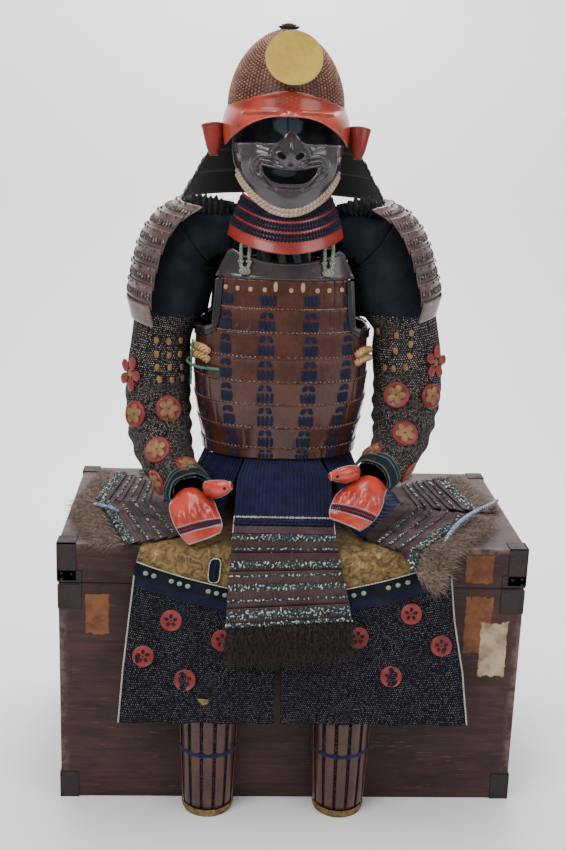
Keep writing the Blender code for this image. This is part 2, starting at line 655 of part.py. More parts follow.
# Shoulder cloth and sleeves: open tubes, the sleeve starting where the shoulder cloth ends
#        x       y       z      half-width half-depth
ARM = {-1: [(-0.131, 0.005, 1.109, 0.050, 0.068), (-0.165, 0.003, 1.110, 0.054, 0.073),
            (-0.205, 0.000, 1.096, 0.060, 0.075), (-0.236, 0.000, 1.062, 0.072, 0.074),
            (-0.246, 0.000, 1.000, 0.080, 0.072), (-0.266, 0.000, 0.915, 0.061, 0.062),
            (-0.272, 0.000, 0.850, 0.064, 0.066), (-0.274, -0.002, 0.785, 0.067, 0.068),
            (-0.268, -0.026, 0.722, 0.066, 0.066), (-0.254, -0.070, 0.676, 0.058, 0.060),
            (-0.232, -0.118, 0.648, 0.047, 0.050), (-0.205, -0.165, 0.632, 0.038, 0.042),
            (-0.197, -0.190, 0.629, 0.035, 0.040)],
       1: [(0.077, 0.005, 1.109, 0.050, 0.068), (0.108, 0.003, 1.110, 0.054, 0.073),
           (0.146, 0.000, 1.098, 0.060, 0.075), (0.176, 0.000, 1.066, 0.071, 0.074),
           (0.188, 0.000, 1.005, 0.078, 0.072), (0.216, 0.000, 0.938, 0.066, 0.064),
           (0.223, 0.000, 0.880, 0.071, 0.067), (0.230, -0.002, 0.820, 0.071, 0.068),
           (0.226, -0.020, 0.758, 0.068, 0.066), (0.214, -0.058, 0.708, 0.058, 0.060),
           (0.190, -0.105, 0.680, 0.047, 0.050), (0.160, -0.150, 0.664, 0.038, 0.042),
           (0.145, -0.174, 0.659, 0.034, 0.037)]}
ARM_ROWS, CLOTH_ROWS, ARM_COLUMNS = 17, 3, 14
for side, mark in ((-1, "left"), (1, "right")):
    rows, centre = tube_rows(ARM[side], ARM_ROWS, ARM_COLUMNS)
    middle = np.repeat(centre[:, None, :], ARM_COLUMNS, 1)
    shell(f"shoulder_cloth_{mark}", rows[:CLOTH_ROWS], CLOTH, "indigo", middle[:CLOTH_ROWS], wrap=True)
    drop = seat(f"shoulder_cloth_{mark}", (0, 0, -1), ["stand"], back=0.008)
    lower, inside = rows[CLOTH_ROWS - 1:].copy(), middle[CLOTH_ROWS - 1:]
    step = centre[CLOTH_ROWS] - centre[CLOTH_ROWS - 2]
    lower[0] += step / np.linalg.norm(step) * 2 * GAP
    lower[0, :, 2] -= drop
    lower[1, :, 2] -= drop / 2
    shell(f"sleeve_{mark}", lower, CLOTH, "mail", inside, wrap=True)
    seat(f"sleeve_{mark}", -step, [f"shoulder_cloth_{mark}"], back=0.002, reach=0.02)

# Shoulder guards: laced lames over the outside of the shoulder
CURL_FRONT, CURL_BACK = 0.050, 0.034
#       x of the middle, z
GUARD = {-1: [(-0.232, 1.166), (-0.268, 1.146), (-0.296, 1.112), (-0.313, 1.070), (-0.324, 1.022),
              (-0.330, 0.980), (-0.326, 0.938)],
         1: [(0.176, 1.170), (0.210, 1.154), (0.238, 1.124), (0.258, 1.084), (0.272, 1.040),
             (0.283, 1.000), (0.280, 0.958)]}
for side, mark in ((-1, "left"), (1, "right")):
    at, lift = lames([0.0, 0.15, 0.29, 0.43, 0.57, 0.70, 0.84, 1.0], 0.003, 0.0)
    path = through(GUARD[side], 200)
    rows = []
    for t in at:
        x, z = path[int(round(t * 199))]
        w = np.linspace(-1, 1, 9)
        rows.append(np.stack([x - side * np.where(w < 0, CURL_FRONT, CURL_BACK) * np.abs(w) ** 2.2, 0.108 * w, z - 0.006 * w ** 2], axis=1))
    shell(f"shoulder_guard_{mark}", rows, 0.0022, "russet", (AX, 0.0, 1.0),
          lift=np.repeat(lift[:, None], 9, 1))
    seat(f"shoulder_guard_{mark}", (-side, 0, 0), [f"sleeve_{mark}", f"shoulder_cloth_{mark}"],
         back=0.05)

# Thigh guard: two plain upper panels on the lid and over its front, two mail panels below them
THIGH_PATH = [(-0.100, 0.5428), (-0.200, 0.5428), (-0.236, 0.5438), (-0.250, 0.5425), (-0.2595, 0.5355),
              (-0.263, 0.524), (-0.264, 0.500), (-0.266, 0.460), (-0.271, 0.415), (-0.284, 0.350),
              (-0.304, 0.280), (-0.332, 0.215)]
BEND_Z = 0.524
thigh = through(THIGH_PATH, 240)
#               s      left edge  right edge: outer edges along the drop of the cloth
THIGH_OUT = [(0.00, -0.235, 0.235), (0.25, -0.285, 0.282), (0.40, -0.303, 0.300), (0.60, -0.314, 0.312),
             (0.80, -0.324, 0.330), (1.00, -0.330, 0.338)]


def thigh_s(z):
    """How far along the cloth's drop a level is."""
    return float(np.interp(-z, -thigh[80:, 1], np.linspace(80 / 239, 1, 160)))


def thigh_point(s, k, side):
    """k from 0 at the slit in the middle to 1 at the outer edge."""
    y, z = thigh[int(round(s * 239))]
    edge = float(np.interp(s, [r[0] for r in THIGH_OUT], [r[1 if side < 0 else 2] for r in THIGH_OUT]))
    x = mix(AX + side * (0.004 + 0.006 * max(0.0, s - 0.5)), edge, k)
    fold = 0.004 * max(0.0, s - 0.35) * math.sin(7 * math.pi * k + 0.6) if 0 < k < 1 else 0.0
    return np.array([x, y - fold, z])


for side, mark in ((-1, "left"), (1, "right")):
    ks = np.linspace(0, 1, 9)
    low = {-1: lambda k: 0.452 + 0.063 * k ** 1.5, 1: lambda k: 0.450 + 0.075 * k ** 1.6}[side]
    flat = [float(np.interp(-y, -thigh[:, 0], np.linspace(0, 1, 240)))
            for y in (-0.1, -0.2, -0.236, -0.246, -0.254, -0.2595)]
    turn_s = thigh_s(BEND_Z)
    upper = [[thigh_point(s, k, side) for k in ks] for s in flat]
    upper += [[thigh_point(mix(turn_s, thigh_s(low(k)), v), k, side) for k in ks] for v in (0, 0.5, 1)]
    shell(f"thigh_panel_{mark}", upper, CLOTH, "tan", (0, 0.0, 0.40))
    lower = [[thigh_point(mix(thigh_s(low(k)) + 0.0030, 1.0, v), k, side) for k in ks]
             for v in np.linspace(0, 1, 7)]
    shell(f"thigh_mail_{mark}", lower, CLOTH, "mail", (0, 0.0, 0.40))

# Tassets: each a curtain of lacing from the waist over lames and a band of fur
# name: waist corners, corners where the lames start, where they end, where the fur ends
TASSETS = {
    "centre": [(-0.110, -0.128, 0.677), (0.071, -0.130, 0.677), (-0.120, -0.252, 0.570), (0.075, -0.252, 0.570),
               (-0.130, -0.298, 0.400), (0.110, -0.298, 0.418), (-0.122, -0.312, 0.335), (0.106, -0.312, 0.340)],
    "front_left": [(-0.176, -0.075, 0.676), (-0.118, -0.118, 0.676), (-0.255, -0.030, 0.556), (-0.190, -0.200, 0.556),
                   (-0.392, -0.015, 0.556), (-0.318, -0.262, 0.556), (-0.440, -0.040, 0.556), (-0.380, -0.235, 0.556)],
    "front_right": [(0.078, -0.118, 0.676), (0.124, -0.075, 0.676), (0.135, -0.215, 0.556), (0.225, -0.030, 0.556),
                    (0.222, -0.292, 0.512), (0.366, -0.077, 0.556), (0.270, -0.312, 0.485), (0.420, -0.110, 0.556)],
    "side_left": [(-0.180, 0.045, 0.676), (-0.180, -0.060, 0.676), (-0.262, 0.110, 0.556), (-0.262, -0.020, 0.556),
                  (-0.372, 0.190, 0.556), (-0.402, 0.000, 0.556), (-0.405, 0.205, 0.556), (-0.436, 0.000, 0.556)],
    "side_right": [(0.124, -0.060, 0.676), (0.124, 0.045, 0.676), (0.236, -0.020, 0.556), (0.226, 0.110, 0.556),
                   (0.392, -0.030, 0.556), (0.352, 0.190, 0.556), (0.436, -0.035, 0.556), (0.390, 0.205, 0.556)],
    "back_left": [(-0.040, 0.122, 0.676), (-0.150, 0.095, 0.676), (-0.050, 0.176, 0.556), (-0.210, 0.140, 0.556),
                  (-0.050, 0.215, 0.556), (-0.330, 0.208, 0.556), (-0.050, 0.236, 0.556), (-0.345, 0.232, 0.556)],
    "back_right": [(0.092, 0.095, 0.676), (-0.018, 0.122, 0.676), (0.160, 0.140, 0.556), (-0.006, 0.176, 0.556),
                   (0.290, 0.208, 0.556), (-0.006, 0.215, 0.556), (0.305, 0.232, 0.556), (-0.006, 0.236, 0.556)],
}


def inside_waist(row):
    """Brings a row of points just inside the lower edge of the cuirass."""
    p = row.copy()
    a, b = fit(TORSO, WAIST_Z, 1) - 0.006, fit(TORSO, WAIST_Z, 2) - 0.006
    size = (np.abs((p[:, 0] - AX) / a) ** SQUARE + np.abs(p[:, 1] / b) ** SQUARE) ** (1 / SQUARE)
    p[:, 0], p[:, 1], p[:, 2] = AX + (p[:, 0] - AX) / size, p[:, 1] / size, WAIST_Z + 0.004
    return p


REST_Z, EDGE_Y, EDGE_FALL = 0.5520, -0.272, 1.6      # what the tassets rest on, and where it falls


def span(corners, a, b, t, columns, lift_z=0.0, crowd=1.0):
    """A row of points between two levels of a tasset's corners, kept above what it rests on."""
    p, q = (mix(corners[2 * a + e], corners[2 * b + e], t) for e in (0, 1))
    row = np.array([mix(p, q, u) for u in np.linspace(0, 1, columns) ** crowd])
    row[:, 2] += lift_z
    if abs(row[:, 0] - AX).min() > 0.1 or row[:, 1].max() > 0:
        row[:, 2] = np.maximum(row[:, 2], REST_Z - np.maximum(0.0, EDGE_Y - row[:, 1]) * EDGE_FALL)
    return row


LAMES = [0.0, 0.21, 0.41, 0.61, 0.81, 1.0]
for mark, corners in TASSETS.items():
    corners = [np.array(c, float) for c in corners]
    front = mark == "centre"
    cols = 9 if mark.startswith(("centre", "front")) else 6
    drop = 0.012 if front else 0.040
    crowd = 1.7 if mark == "front_right" else 1.0
    lace = [span(corners, 0, 1, t, cols, -drop * math.sin(math.pi * t), crowd) for t in np.linspace(0, 1, 4)]
    lace[0] = inside_waist(lace[0])
    lace.insert(1, lace[0] - np.array([0.0, 0.0, 0.010]))
    at, lift = lames(LAMES, 0.003, 0.0)
    plates = [span(corners, 1, 2, t, cols, 0.0, crowd) for t in at]
    under = (AX, 0.05, 0.42) if front else np.mean(corners[:6], axis=0) - np.array([0, 0, 0.3])
    if front:
        lace.append(span(corners, 1, 2, 0.025, cols))
        shell("tasset_centre_lacing", lace, 0.0035, "navy", under)
        plates[0] = span(corners, 1, 2, 0.028, cols)
        shell("tasset_centre", plates, 0.003, "scale", under, lift=np.repeat(lift[:, None], cols, 1))
        moved = seat("tasset_centre", (0, 1, 0), ["thigh_panel_left", "thigh_panel_right",
                                                  "thigh_mail_left", "thigh_mail_right"], back=0.01)
        shift = (0, moved, 0)
        MADE["tasset_centre_lacing"].data.transform(Matrix.Translation(shift))
    else:
        lifts = np.array([0.0] * (len(lace) - 1) + list(lift))
        shell(f"tasset_{mark}", lace[:-1] + plates, 0.003, "scale", under,
              lift=np.repeat(lifts[:, None], cols, 1))
        moved = seat(f"tasset_{mark}", (0, 0, -1), ["chest_lid", "thigh_panel_left",
                                                    "thigh_panel_right"], back=0.015)
        shift = (0, 0, -moved)
    if not mark.startswith("back"):
        fur = [span(corners, 2, 3, t, cols, 0.0, crowd) for t in (0.03 if mark == "front_right" else 0.014, 0.5, 1.0)]
        shell(f"fur_{mark}", fur, 0.002, "fur", under)
        MADE[f"fur_{mark}"].data.transform(Matrix.Translation(shift))

# Hand guards: a shell over the back of each hand with four knuckles, and a shell over the thumb
#        wrist to finger end: x, y, z, half-width
HAND = {-1: [(-0.2015, -0.205, 0.6345, 0.034), (-0.198, -0.225, 0.6250, 0.042), (-0.193, -0.243, 0.6100, 0.043),
             (-0.185, -0.256, 0.5925, 0.042), (-0.177, -0.263, 0.5760, 0.038), (-0.172, -0.266, 0.5620, 0.033)],
        1: [(0.1400, -0.190, 0.6585, 0.038), (0.129, -0.212, 0.6500, 0.041), (0.120, -0.232, 0.6360, 0.045),
            (0.110, -0.247, 0.6200, 0.044), (0.100, -0.256, 0.6050, 0.039), (0.092, -0.261, 0.5930, 0.033)]}
HAND_SLANT = 0.36            # how far the finger end turns towards the middle of the suit
WRIST_DROOP = 0.015          # how far the wrist end wraps down at its sides
THUMB = {-1: [(-0.170, -0.222, 0.645, 0.017, 0.010), (-0.155, -0.236, 0.652, 0.018, 0.012),
              (-0.137, -0.246, 0.660, 0.013, 0.010), (-0.124, -0.250, 0.664, 0.006, 0.005)],
         1: [(0.116, -0.205, 0.677, 0.015, 0.010), (0.100, -0.220, 0.681, 0.017, 0.012),
             (0.080, -0.230, 0.682, 0.013, 0.010), (0.062, -0.236, 0.680, 0.006, 0.005)]}
for side, mark in ((-1, "left"), (1, "right")):
    path = through(HAND[side], 8)
    tangent = np.gradient(path[:, :3], axis=0)
    rows = []
    for j, (c, t) in enumerate(zip(path, tangent)):
        out = np.cross(t, (1, 0, 0))
        out /= np.linalg.norm(out)
        if out[1] > 0:
            out = -out
        v = j / 7
        row = []
        for u in np.linspace(-1, 1, 13):
            knuckle = 0.006 * math.exp(-((v - 0.42) / 0.14) ** 2) * abs(math.sin(2 * math.pi * u)) ** 0.7
            arch = c[3] * 0.55 * (math.sqrt(max(0.0, 1 - 0.86 * u * u)) - 0.37)
            slant = -side * mix(0.06, HAND_SLANT, v) * c[3] * u - WRIST_DROOP * u * u * (1 - v) ** 2
            row.append(c[:3] + np.array([c[3] * u, 0, slant]) + out * (arch + knuckle))
        rows.append(row)
    rows = np.array(rows)
    shell(f"hand_guard_{mark}", rows, PLATE, "red", rows.mean(axis=1)[:, None, :] + (0, 0.10, -0.05))
    seat(f"hand_guard_{mark}", (0, 1, 0), [f"thigh_panel_{mark}", f"tasset_front_{mark}", "chest_lid",
                                           f"fur_front_{mark}", f"sleeve_{mark}"], back=0.02)
    rows, centre = tube_rows(THUMB[side], 5, 10)
    shift = (-side * 0.03, 0, 0)
    shell(f"thumb_guard_{mark}", rows + shift, 0.0015, "red", centre[:, None, :] + shift, wrap=True)
    seat(f"thumb_guard_{mark}", (side, 0, 0), [f"hand_guard_{mark}"], reach=0.06)

# Greaves: half tubes standing on the floor before the chest
for side, mark in ((-1, "left"), (1, "right")):
    rows = []
    for v in np.linspace(0, 1, 5):
        z = 0.0005 + 0.262 * v
        a, b = mix(0.046, 0.060, v ** 0.7), mix(0.052, 0.062, math.sin(math.pi * v) * 0.6)
        rows.append([(AX + side * 0.130 + a * math.sin(w), -0.252 - b * math.cos(w),
                      z) for w in np.radians(np.linspace(-90, 90, 11))])
    shell(f"greave_{mark}", rows, PLATE, "russet", (AX + side * 0.130, -0.252, 0.13))
    seat(f"greave_{mark}", (0, -1, 0), [f"thigh_mail_{mark}"])

print("triangles", sum(len(p.vertices) - 2 for ob in MADE.values() for p in shape_of(ob).polygons),
      "pieces", len(MADE))
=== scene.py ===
"""Looks of a samurai armour seated on its armour chest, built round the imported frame.

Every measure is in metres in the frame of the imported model: +Z up, the armour faces -Y.
Left is the side at the left of a front view (-X).
"""
from __future__ import annotations

import logging
import math
from dataclasses import dataclass
from enum import Enum
from typing import Callable, Optional, Sequence, Union

import bmesh
import bpy
import numpy as np
from mathutils import Matrix, Vector


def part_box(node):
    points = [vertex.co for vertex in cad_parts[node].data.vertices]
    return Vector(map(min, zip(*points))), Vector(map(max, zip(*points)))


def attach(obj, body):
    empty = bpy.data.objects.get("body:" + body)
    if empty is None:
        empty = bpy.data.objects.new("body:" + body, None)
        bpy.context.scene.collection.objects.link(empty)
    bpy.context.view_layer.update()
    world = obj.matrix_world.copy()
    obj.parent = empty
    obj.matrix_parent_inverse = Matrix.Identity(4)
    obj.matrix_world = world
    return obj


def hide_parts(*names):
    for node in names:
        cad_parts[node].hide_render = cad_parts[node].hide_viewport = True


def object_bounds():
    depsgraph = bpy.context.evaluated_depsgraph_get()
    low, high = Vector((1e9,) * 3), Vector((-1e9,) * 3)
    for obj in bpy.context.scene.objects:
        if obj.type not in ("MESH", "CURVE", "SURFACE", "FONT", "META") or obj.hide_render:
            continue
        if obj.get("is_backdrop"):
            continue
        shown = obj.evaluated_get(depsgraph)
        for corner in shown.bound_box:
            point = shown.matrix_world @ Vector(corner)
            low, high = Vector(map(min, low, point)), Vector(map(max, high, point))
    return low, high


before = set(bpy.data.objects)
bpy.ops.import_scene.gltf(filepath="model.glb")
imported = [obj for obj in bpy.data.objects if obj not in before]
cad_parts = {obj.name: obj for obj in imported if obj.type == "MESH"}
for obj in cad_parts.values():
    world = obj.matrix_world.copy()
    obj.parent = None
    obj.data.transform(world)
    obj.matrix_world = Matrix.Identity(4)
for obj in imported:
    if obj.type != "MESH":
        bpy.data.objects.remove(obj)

logging.basicConfig(level=logging.INFO, format="%(levelname)s %(message)s")
LOG = logging.getLogger("armour")

Array = np.ndarray
Number = Union[int, float]
TAU = 2 * math.pi


class Side(Enum):
    """The two sides of the armour in a front view."""

    LEFT = -1
    RIGHT = 1

    @property
    def mark(self) -> str:
        """The word that ends a piece's name."""
        return self.name.lower()


# Shader building

class Sock:
    """A shader value. Arithmetic on it adds Math nodes to its tree."""

    def __init__(self, tree: bpy.types.NodeTree, socket: bpy.types.NodeSocket) -> None:
        self.tree, self.socket = tree, socket

    def math(self, kind: str, *others: Union["Sock", Number], clamp: bool = False) -> "Sock":
        """Adds one Math node.

        Args:
            kind: the node's operation.
            others: the second and third values.
            clamp: keeps the result from 0 to 1.

        Returns:
            The node's value.
        """
        node = self.tree.nodes.new("ShaderNodeMath")
        node.operation, node.use_clamp = kind, clamp
        for slot, value in zip(node.inputs, (self, *others)):
            if isinstance(value, Sock):
                self.tree.links.new(value.socket, slot)
            else:
                slot.default_value = float(value)
        return Sock(self.tree, node.outputs[0])

    def __add__(self, other): return self.math("ADD", other)
    def __radd__(self, other): return self.math("ADD", other)
    def __sub__(self, other): return self.math("SUBTRACT", other)
    def __rsub__(self, other): return (self * -1.0) + other
    def __mul__(self, other): return self.math("MULTIPLY", other)
    def __rmul__(self, other): return self.math("MULTIPLY", other)
    def __truediv__(self, other): return self.math("DIVIDE", other)
    def __pow__(self, other): return self.math("POWER", other)
    def sin(self): return self.math("SINE")
    def fract(self): return self.math("FRACT")
    def floor(self): return self.math("FLOOR")
    def abs(self): return self.math("ABSOLUTE")
    def min(self, other): return self.math("MINIMUM", other)
    def max(self, other): return self.math("MAXIMUM", other)

    def ramp(self, low: float, high: float, start: float = 0.0, end: float = 1.0) -> "Sock":
        """A smooth step: start at low, end at high."""
        node = self.tree.nodes.new("ShaderNodeMapRange")
        node.interpolation_type = "SMOOTHSTEP"
        self.tree.links.new(self.socket, node.inputs["Value"])
        for key, value in zip(("From Min", "From Max", "To Min", "To Max"), (low, high, start, end)):
            node.inputs[key].default_value = value
        return Sock(self.tree, node.outputs["Result"])


Colour = tuple[float, float, float]


class Shader:
    """Builds one procedural material round a Principled shader."""

    def __init__(self, name: str) -> None:
        self.material = bpy.data.materials.new(name)
        self.material.use_nodes = True
        self.tree = self.material.node_tree
        self.surface = self.tree.nodes["Principled BSDF"]
        self._place: Optional[bpy.types.NodeSocket] = None
        self._uv: Optional[bpy.types.NodeSocket] = None

    def node(self, kind: str, inputs: dict, **settings) -> bpy.types.Node:
        """Adds a node, sets its settings, and fills or links its inputs by name."""
        node = self.tree.nodes.new(kind)
        for key, value in settings.items():
            setattr(node, key, value)
        for key, value in inputs.items():
            slot = node.inputs[key]
            if isinstance(value, Sock):
                self.tree.links.new(value.socket, slot)
            elif isinstance(value, bpy.types.NodeSocket):
                self.tree.links.new(value, slot)
            else:
                slot.default_value = value
        return node

    def place(self, stretch: Colour = (1, 1, 1), turn: Colour = (0, 0, 0)) -> Sock:
        """Object coordinates, stretched and turned."""
        if self._place is None:
            self._place = self.node("ShaderNodeTexCoord", {}).outputs["Object"]
        if stretch == (1, 1, 1) and turn == (0, 0, 0):
            return Sock(self.tree, self._place)
        node = self.node("ShaderNodeMapping", {"Vector": self._place, "Scale": stretch, "Rotation": turn})
        return Sock(self.tree, node.outputs[0])

    def axes(self, uv: bool = False) -> tuple[Sock, Sock, Sock]:
        """Object coordinates as three values, or the piece's own UV."""
        source = self.node("ShaderNodeTexCoord", {}).outputs["UV"] if uv else self.place().socket
        node = self.node("ShaderNodeSeparateXYZ", {"Vector": source})
        return tuple(Sock(self.tree, s) for s in node.outputs)

    def noise(self, scale: float, detail: float = 3.0, rough: float = 0.5,
              place: Optional[Sock] = None, warp: float = 0.0) -> Sock:
        """Cloudy noise from 0 to 1."""
        node = self.node("ShaderNodeTexNoise", {"Vector": place or self.place(), "Scale": scale,
                                                "Detail": detail, "Roughness": rough,
                                                "Distortion": warp})
        return Sock(self.tree, node.outputs["Fac"])

    def cells(self, scale: float, place: Optional[Sock] = None, feature: str = "F1") -> Sock:
        """Distance in a field of cells."""
        node = self.node("ShaderNodeTexVoronoi", {"Vector": place or self.place(), "Scale": scale},
                         feature=feature)
        return Sock(self.tree, node.outputs["Distance"])

    def blend(self, part: Union[Sock, float], a: Union[Sock, Colour], b: Union[Sock, Colour]) -> Sock:
        """A colour part of the way from a to b."""
        def full(c): return c if isinstance(c, Sock) else (*c, 1.0)
        node = self.tree.nodes.new("ShaderNodeMix")
        node.data_type = "RGBA"
        for key, value in ((0, part), (6, full(a)), (7, full(b))):
            if isinstance(value, Sock):
                self.tree.links.new(value.socket, node.inputs[key])
            else:
                node.inputs[key].default_value = value
        return Sock(self.tree, node.outputs[2])

    def bump(self, height: Sock, depth: float, strength: float = 1.0,
             under: Optional[Sock] = None) -> Sock:
        """A normal from a height of depth metres, laid over another."""
        inputs = {"Height": height, "Distance": depth, "Strength": strength}
        if under is not None:
            inputs["Normal"] = under
        return Sock(self.tree, self.node("ShaderNodeBump", inputs).outputs["Normal"])

    def done(self, colour: Union[Sock, Colour], rough: Union[Sock, float],
             metal: Union[Sock, float] = 0.0, coat: Union[Sock, float] = 0.0,
             normal: Optional[Sock] = None, sheen: float = 0.0, shine: float = 0.12) -> bpy.types.Material:
        """Feeds the Principled shader and returns the material."""
        feeds = {"Base Color": colour, "Roughness": rough, "Metallic": metal, "Coat Weight": coat}
        if normal is not None:
            feeds["Normal"] = normal
        for key, value in feeds.items():
            slot = self.surface.inputs[key]
            if isinstance(value, Sock):
                self.tree.links.new(value.socket, slot)
            elif key == "Base Color":
                slot.default_value = (*value, 1.0)
            else:
                slot.default_value = float(value)
        self.surface.inputs["Coat Roughness"].default_value = 0.16
        self.surface.inputs["Specular IOR Level"].default_value = shine
        self.surface.inputs["Sheen Weight"].default_value = sheen
        return self.material


@dataclass(frozen=True)
class Lacquer:
    """Lacquer over iron: mottled, rubbed through in places, softly glossy."""

    name: str
    colour: Colour
    worn: Colour
    rough: float = 0.34
    coat: float = 0.4
    wear: float = 0.6
    grain: float = 55.0
    dents: float = 0.0006

    def build(self) -> bpy.types.Material:
        """Makes the material."""
        s = Shader(self.name)
        cloud = s.noise(self.grain * 0.35, 4, 0.6)
        rub = s.noise(self.grain * 1.6, 5, 0.65).ramp(0.56, 0.74) * s.noise(self.grain * 0.25).ramp(0.42, 0.62)
        dark = tuple(c * 0.55 for c in self.colour)
        tone = s.blend(cloud.ramp(0.30, 0.72), dark, self.colour)
        tone = s.blend(rub * self.wear, tone, self.worn)
        fine = s.noise(self.grain * 9, 3)
        rough = cloud * 0.16 + rub * 0.25 + fine * 0.10 + (self.rough - 0.13)
        wide = s.bump(cloud, self.dents, 0.8)
        return s.done(tone, rough, 0.0, self.coat, s.bump(fine, 0.00012, 0.7, wide), shine=0.25)


@dataclass(frozen=True)
class Iron:
    """Bare or russet iron: patchy brown and grey, pitted."""

    name: str
    colour: Colour
    rust: Colour
    metal: float = 0.55
    rough: float = 0.5
    pits: float = 260.0

    def build(self) -> bpy.types.Material:
        """Makes the material."""
        s = Shader(self.name)
        patch = s.noise(38, 5, 0.65).ramp(0.38, 0.66)
        pit = s.cells(self.pits).ramp(0.05, 0.45)
        tone = s.blend(patch, self.colour, self.rust)
        tone = s.blend(pit * 0.8, tuple(c * 0.45 for c in self.colour), tone)
        rough = patch * 0.18 + s.noise(220, 3) * 0.14 + (self.rough - 0.14)
        metal = (patch * -0.5 + 1.0) * self.metal
        return s.done(tone, rough, metal, 0.0, s.bump(pit, 0.00022, 0.6, s.bump(patch, 0.0004, 0.5)), shine=0.3)


@dataclass(frozen=True)
class Weave:
    """Woven cloth: crossing threads, faded in patches."""

    name: str
    colour: Colour
    faded: Colour
    threads: float = 900.0
    rough: float = 0.88
    crumple: float = 0.0016

    def build(self) -> bpy.types.Material:
        """Makes the material."""
        s = Shader(self.name)
        x, y, z = s.axes()
        across, along = (x + y * 0.7) * self.threads, (z + y * 0.4) * self.threads
        weave = (across.sin() * along.sin()) * 0.5 + 0.5
        fade = s.noise(26, 5, 0.6).ramp(0.35, 0.72)
        slub = s.noise(140, 3)
        tone = s.blend(fade, self.colour, self.faded)
        tone = s.blend(weave * 0.5, tone, tuple(c * 0.55 for c in self.colour))
        folds = s.bump(s.noise(42, 4, 0.55, warp=0.8), self.crumple, 0.9)
        return s.done(tone, slub * 0.1 + (self.rough - 0.05), 0.0, 0.0, s.bump(weave, 0.0002, 0.8, folds),
                      sheen=0.06)


@dataclass(frozen=True)
class Mail:
    """Cloth under rows of small iron rings."""

    name: str
    cloth: Colour
    ring: Colour
    pitch: float = 0.0044

    def build(self) -> bpy.types.Material:
        """Makes the material. Rings are rows of small hoops on the piece's own UV, in metres."""
        s = Shader(self.name)
        u, v, _ = s.axes(uv=True)
        row = (v / self.pitch).floor()
        shift = (row * 0.5).fract()
        cell_u = ((u / self.pitch) + shift).fract() - 0.5
        cell_v = (v / self.pitch).fract() - 0.5
        span = (cell_u * cell_u + cell_v * cell_v) ** 0.5
        hoop = (span - 0.16).abs().ramp(0.05, 0.20, 1.0, 0.0)
        patch = s.noise(34, 4, 0.6)
        shine = hoop * s.noise(260, 2).ramp(0.42, 0.62) * (patch.ramp(0.3, 0.7) * 0.5 + 0.5)
        tone = s.blend(patch.ramp(0.4, 0.7), self.cloth, tuple(c * 0.6 for c in self.cloth))
        tone = s.blend(shine, tone, self.ring)
        normal = s.bump(hoop, 0.0009, 0.9, s.bump(s.noise(30, 3), 0.003, 0.8))
        return s.done(tone, hoop * -0.3 + 0.85, shine * 0.35, 0.0, normal)


@dataclass(frozen=True)
class Braid:
    """Braided silk or cord: slanting strands on the piece's own UV, in metres."""

    name: str
    colour: Colour
    second: Colour
    strand: float = 0.0022
    fleck: Optional[Colour] = None
    rough: float = 0.8

    def build(self) -> bpy.types.Material:
        """Makes the material."""
        s = Shader(self.name)
        u, v, _ = s.axes(uv=True)
        step = 1.0 / self.strand
        slant = ((u * step + (v * step).abs()) * TAU * 0.5).sin() * 0.5 + 0.5
        fade = s.noise(60, 4, 0.6).ramp(0.3, 0.75)
        tone = s.blend(fade, self.colour, self.second)
        tone = s.blend(slant.ramp(0.0, 0.5, 0.75, 0.0), tone, tuple(c * 0.25 for c in self.colour))
        if self.fleck is not None:
            spot = s.noise(210, 2, 0.5).ramp(0.54, 0.62)
            tone = s.blend(spot, tone, self.fleck)
        return s.done(tone, s.noise(200, 2) * 0.15 + (self.rough - 0.08), 0.0, 0.0,
                      s.bump(slant, 0.0005, 0.9), sheen=0.08)


@dataclass(frozen=True)
class Timber:
    """Lacquered boards: streaked along X, scraped at edges and corners."""

    name: str
    colour: Colour
    streak: Colour
    scrape: Colour
    rough: float = 0.42
    edges: Optional[tuple[float, float, float, float]] = None

    def build(self) -> bpy.types.Material:
        """Makes the material. edges: half-width, half-depth, height and reach of the worn edges."""
        s = Shader(self.name)
        long = s.noise(9, 6, 0.62, s.place((1.0, 6.0, 9.0)), 0.6)
        fine = s.noise(60, 4, 0.6, s.place((0.25, 3.0, 4.0)))
        patch = s.noise(5.5, 5, 0.6)
        tone = s.blend(long.ramp(0.32, 0.70), self.colour, self.streak)
        tone = s.blend(patch.ramp(0.42, 0.72) * 0.55, tone, tuple(c * 0.35 for c in self.colour))
        scratch = s.noise(210, 3, 0.55, s.place((0.12, 1.0, 1.6))).ramp(0.63, 0.72) * patch.ramp(0.35, 0.6)
        worn = scratch * 0.6
        if self.edges:
            x, y, z = s.axes()
            half_x, half_y, top, reach = self.edges
            near_x, near_y = x.abs().ramp(half_x - reach, half_x), y.abs().ramp(half_y - reach, half_y)
            near_z = z.ramp(top - reach, top)
            edge = (near_x * near_y).max(near_y * near_z).max(near_x * near_z)
            worn = worn.max(edge * s.noise(30, 5, 0.7).ramp(0.40, 0.62))
        tone = s.blend(worn, tone, self.scrape)
        rough = long * 0.15 + worn * 0.25 + fine * 0.12 + (self.rough - 0.12)
        normal = s.bump(fine, 0.0004, 0.6, s.bump(long, 0.0008, 0.5))
        return s.done(tone, rough, 0.0, 0.06, normal)


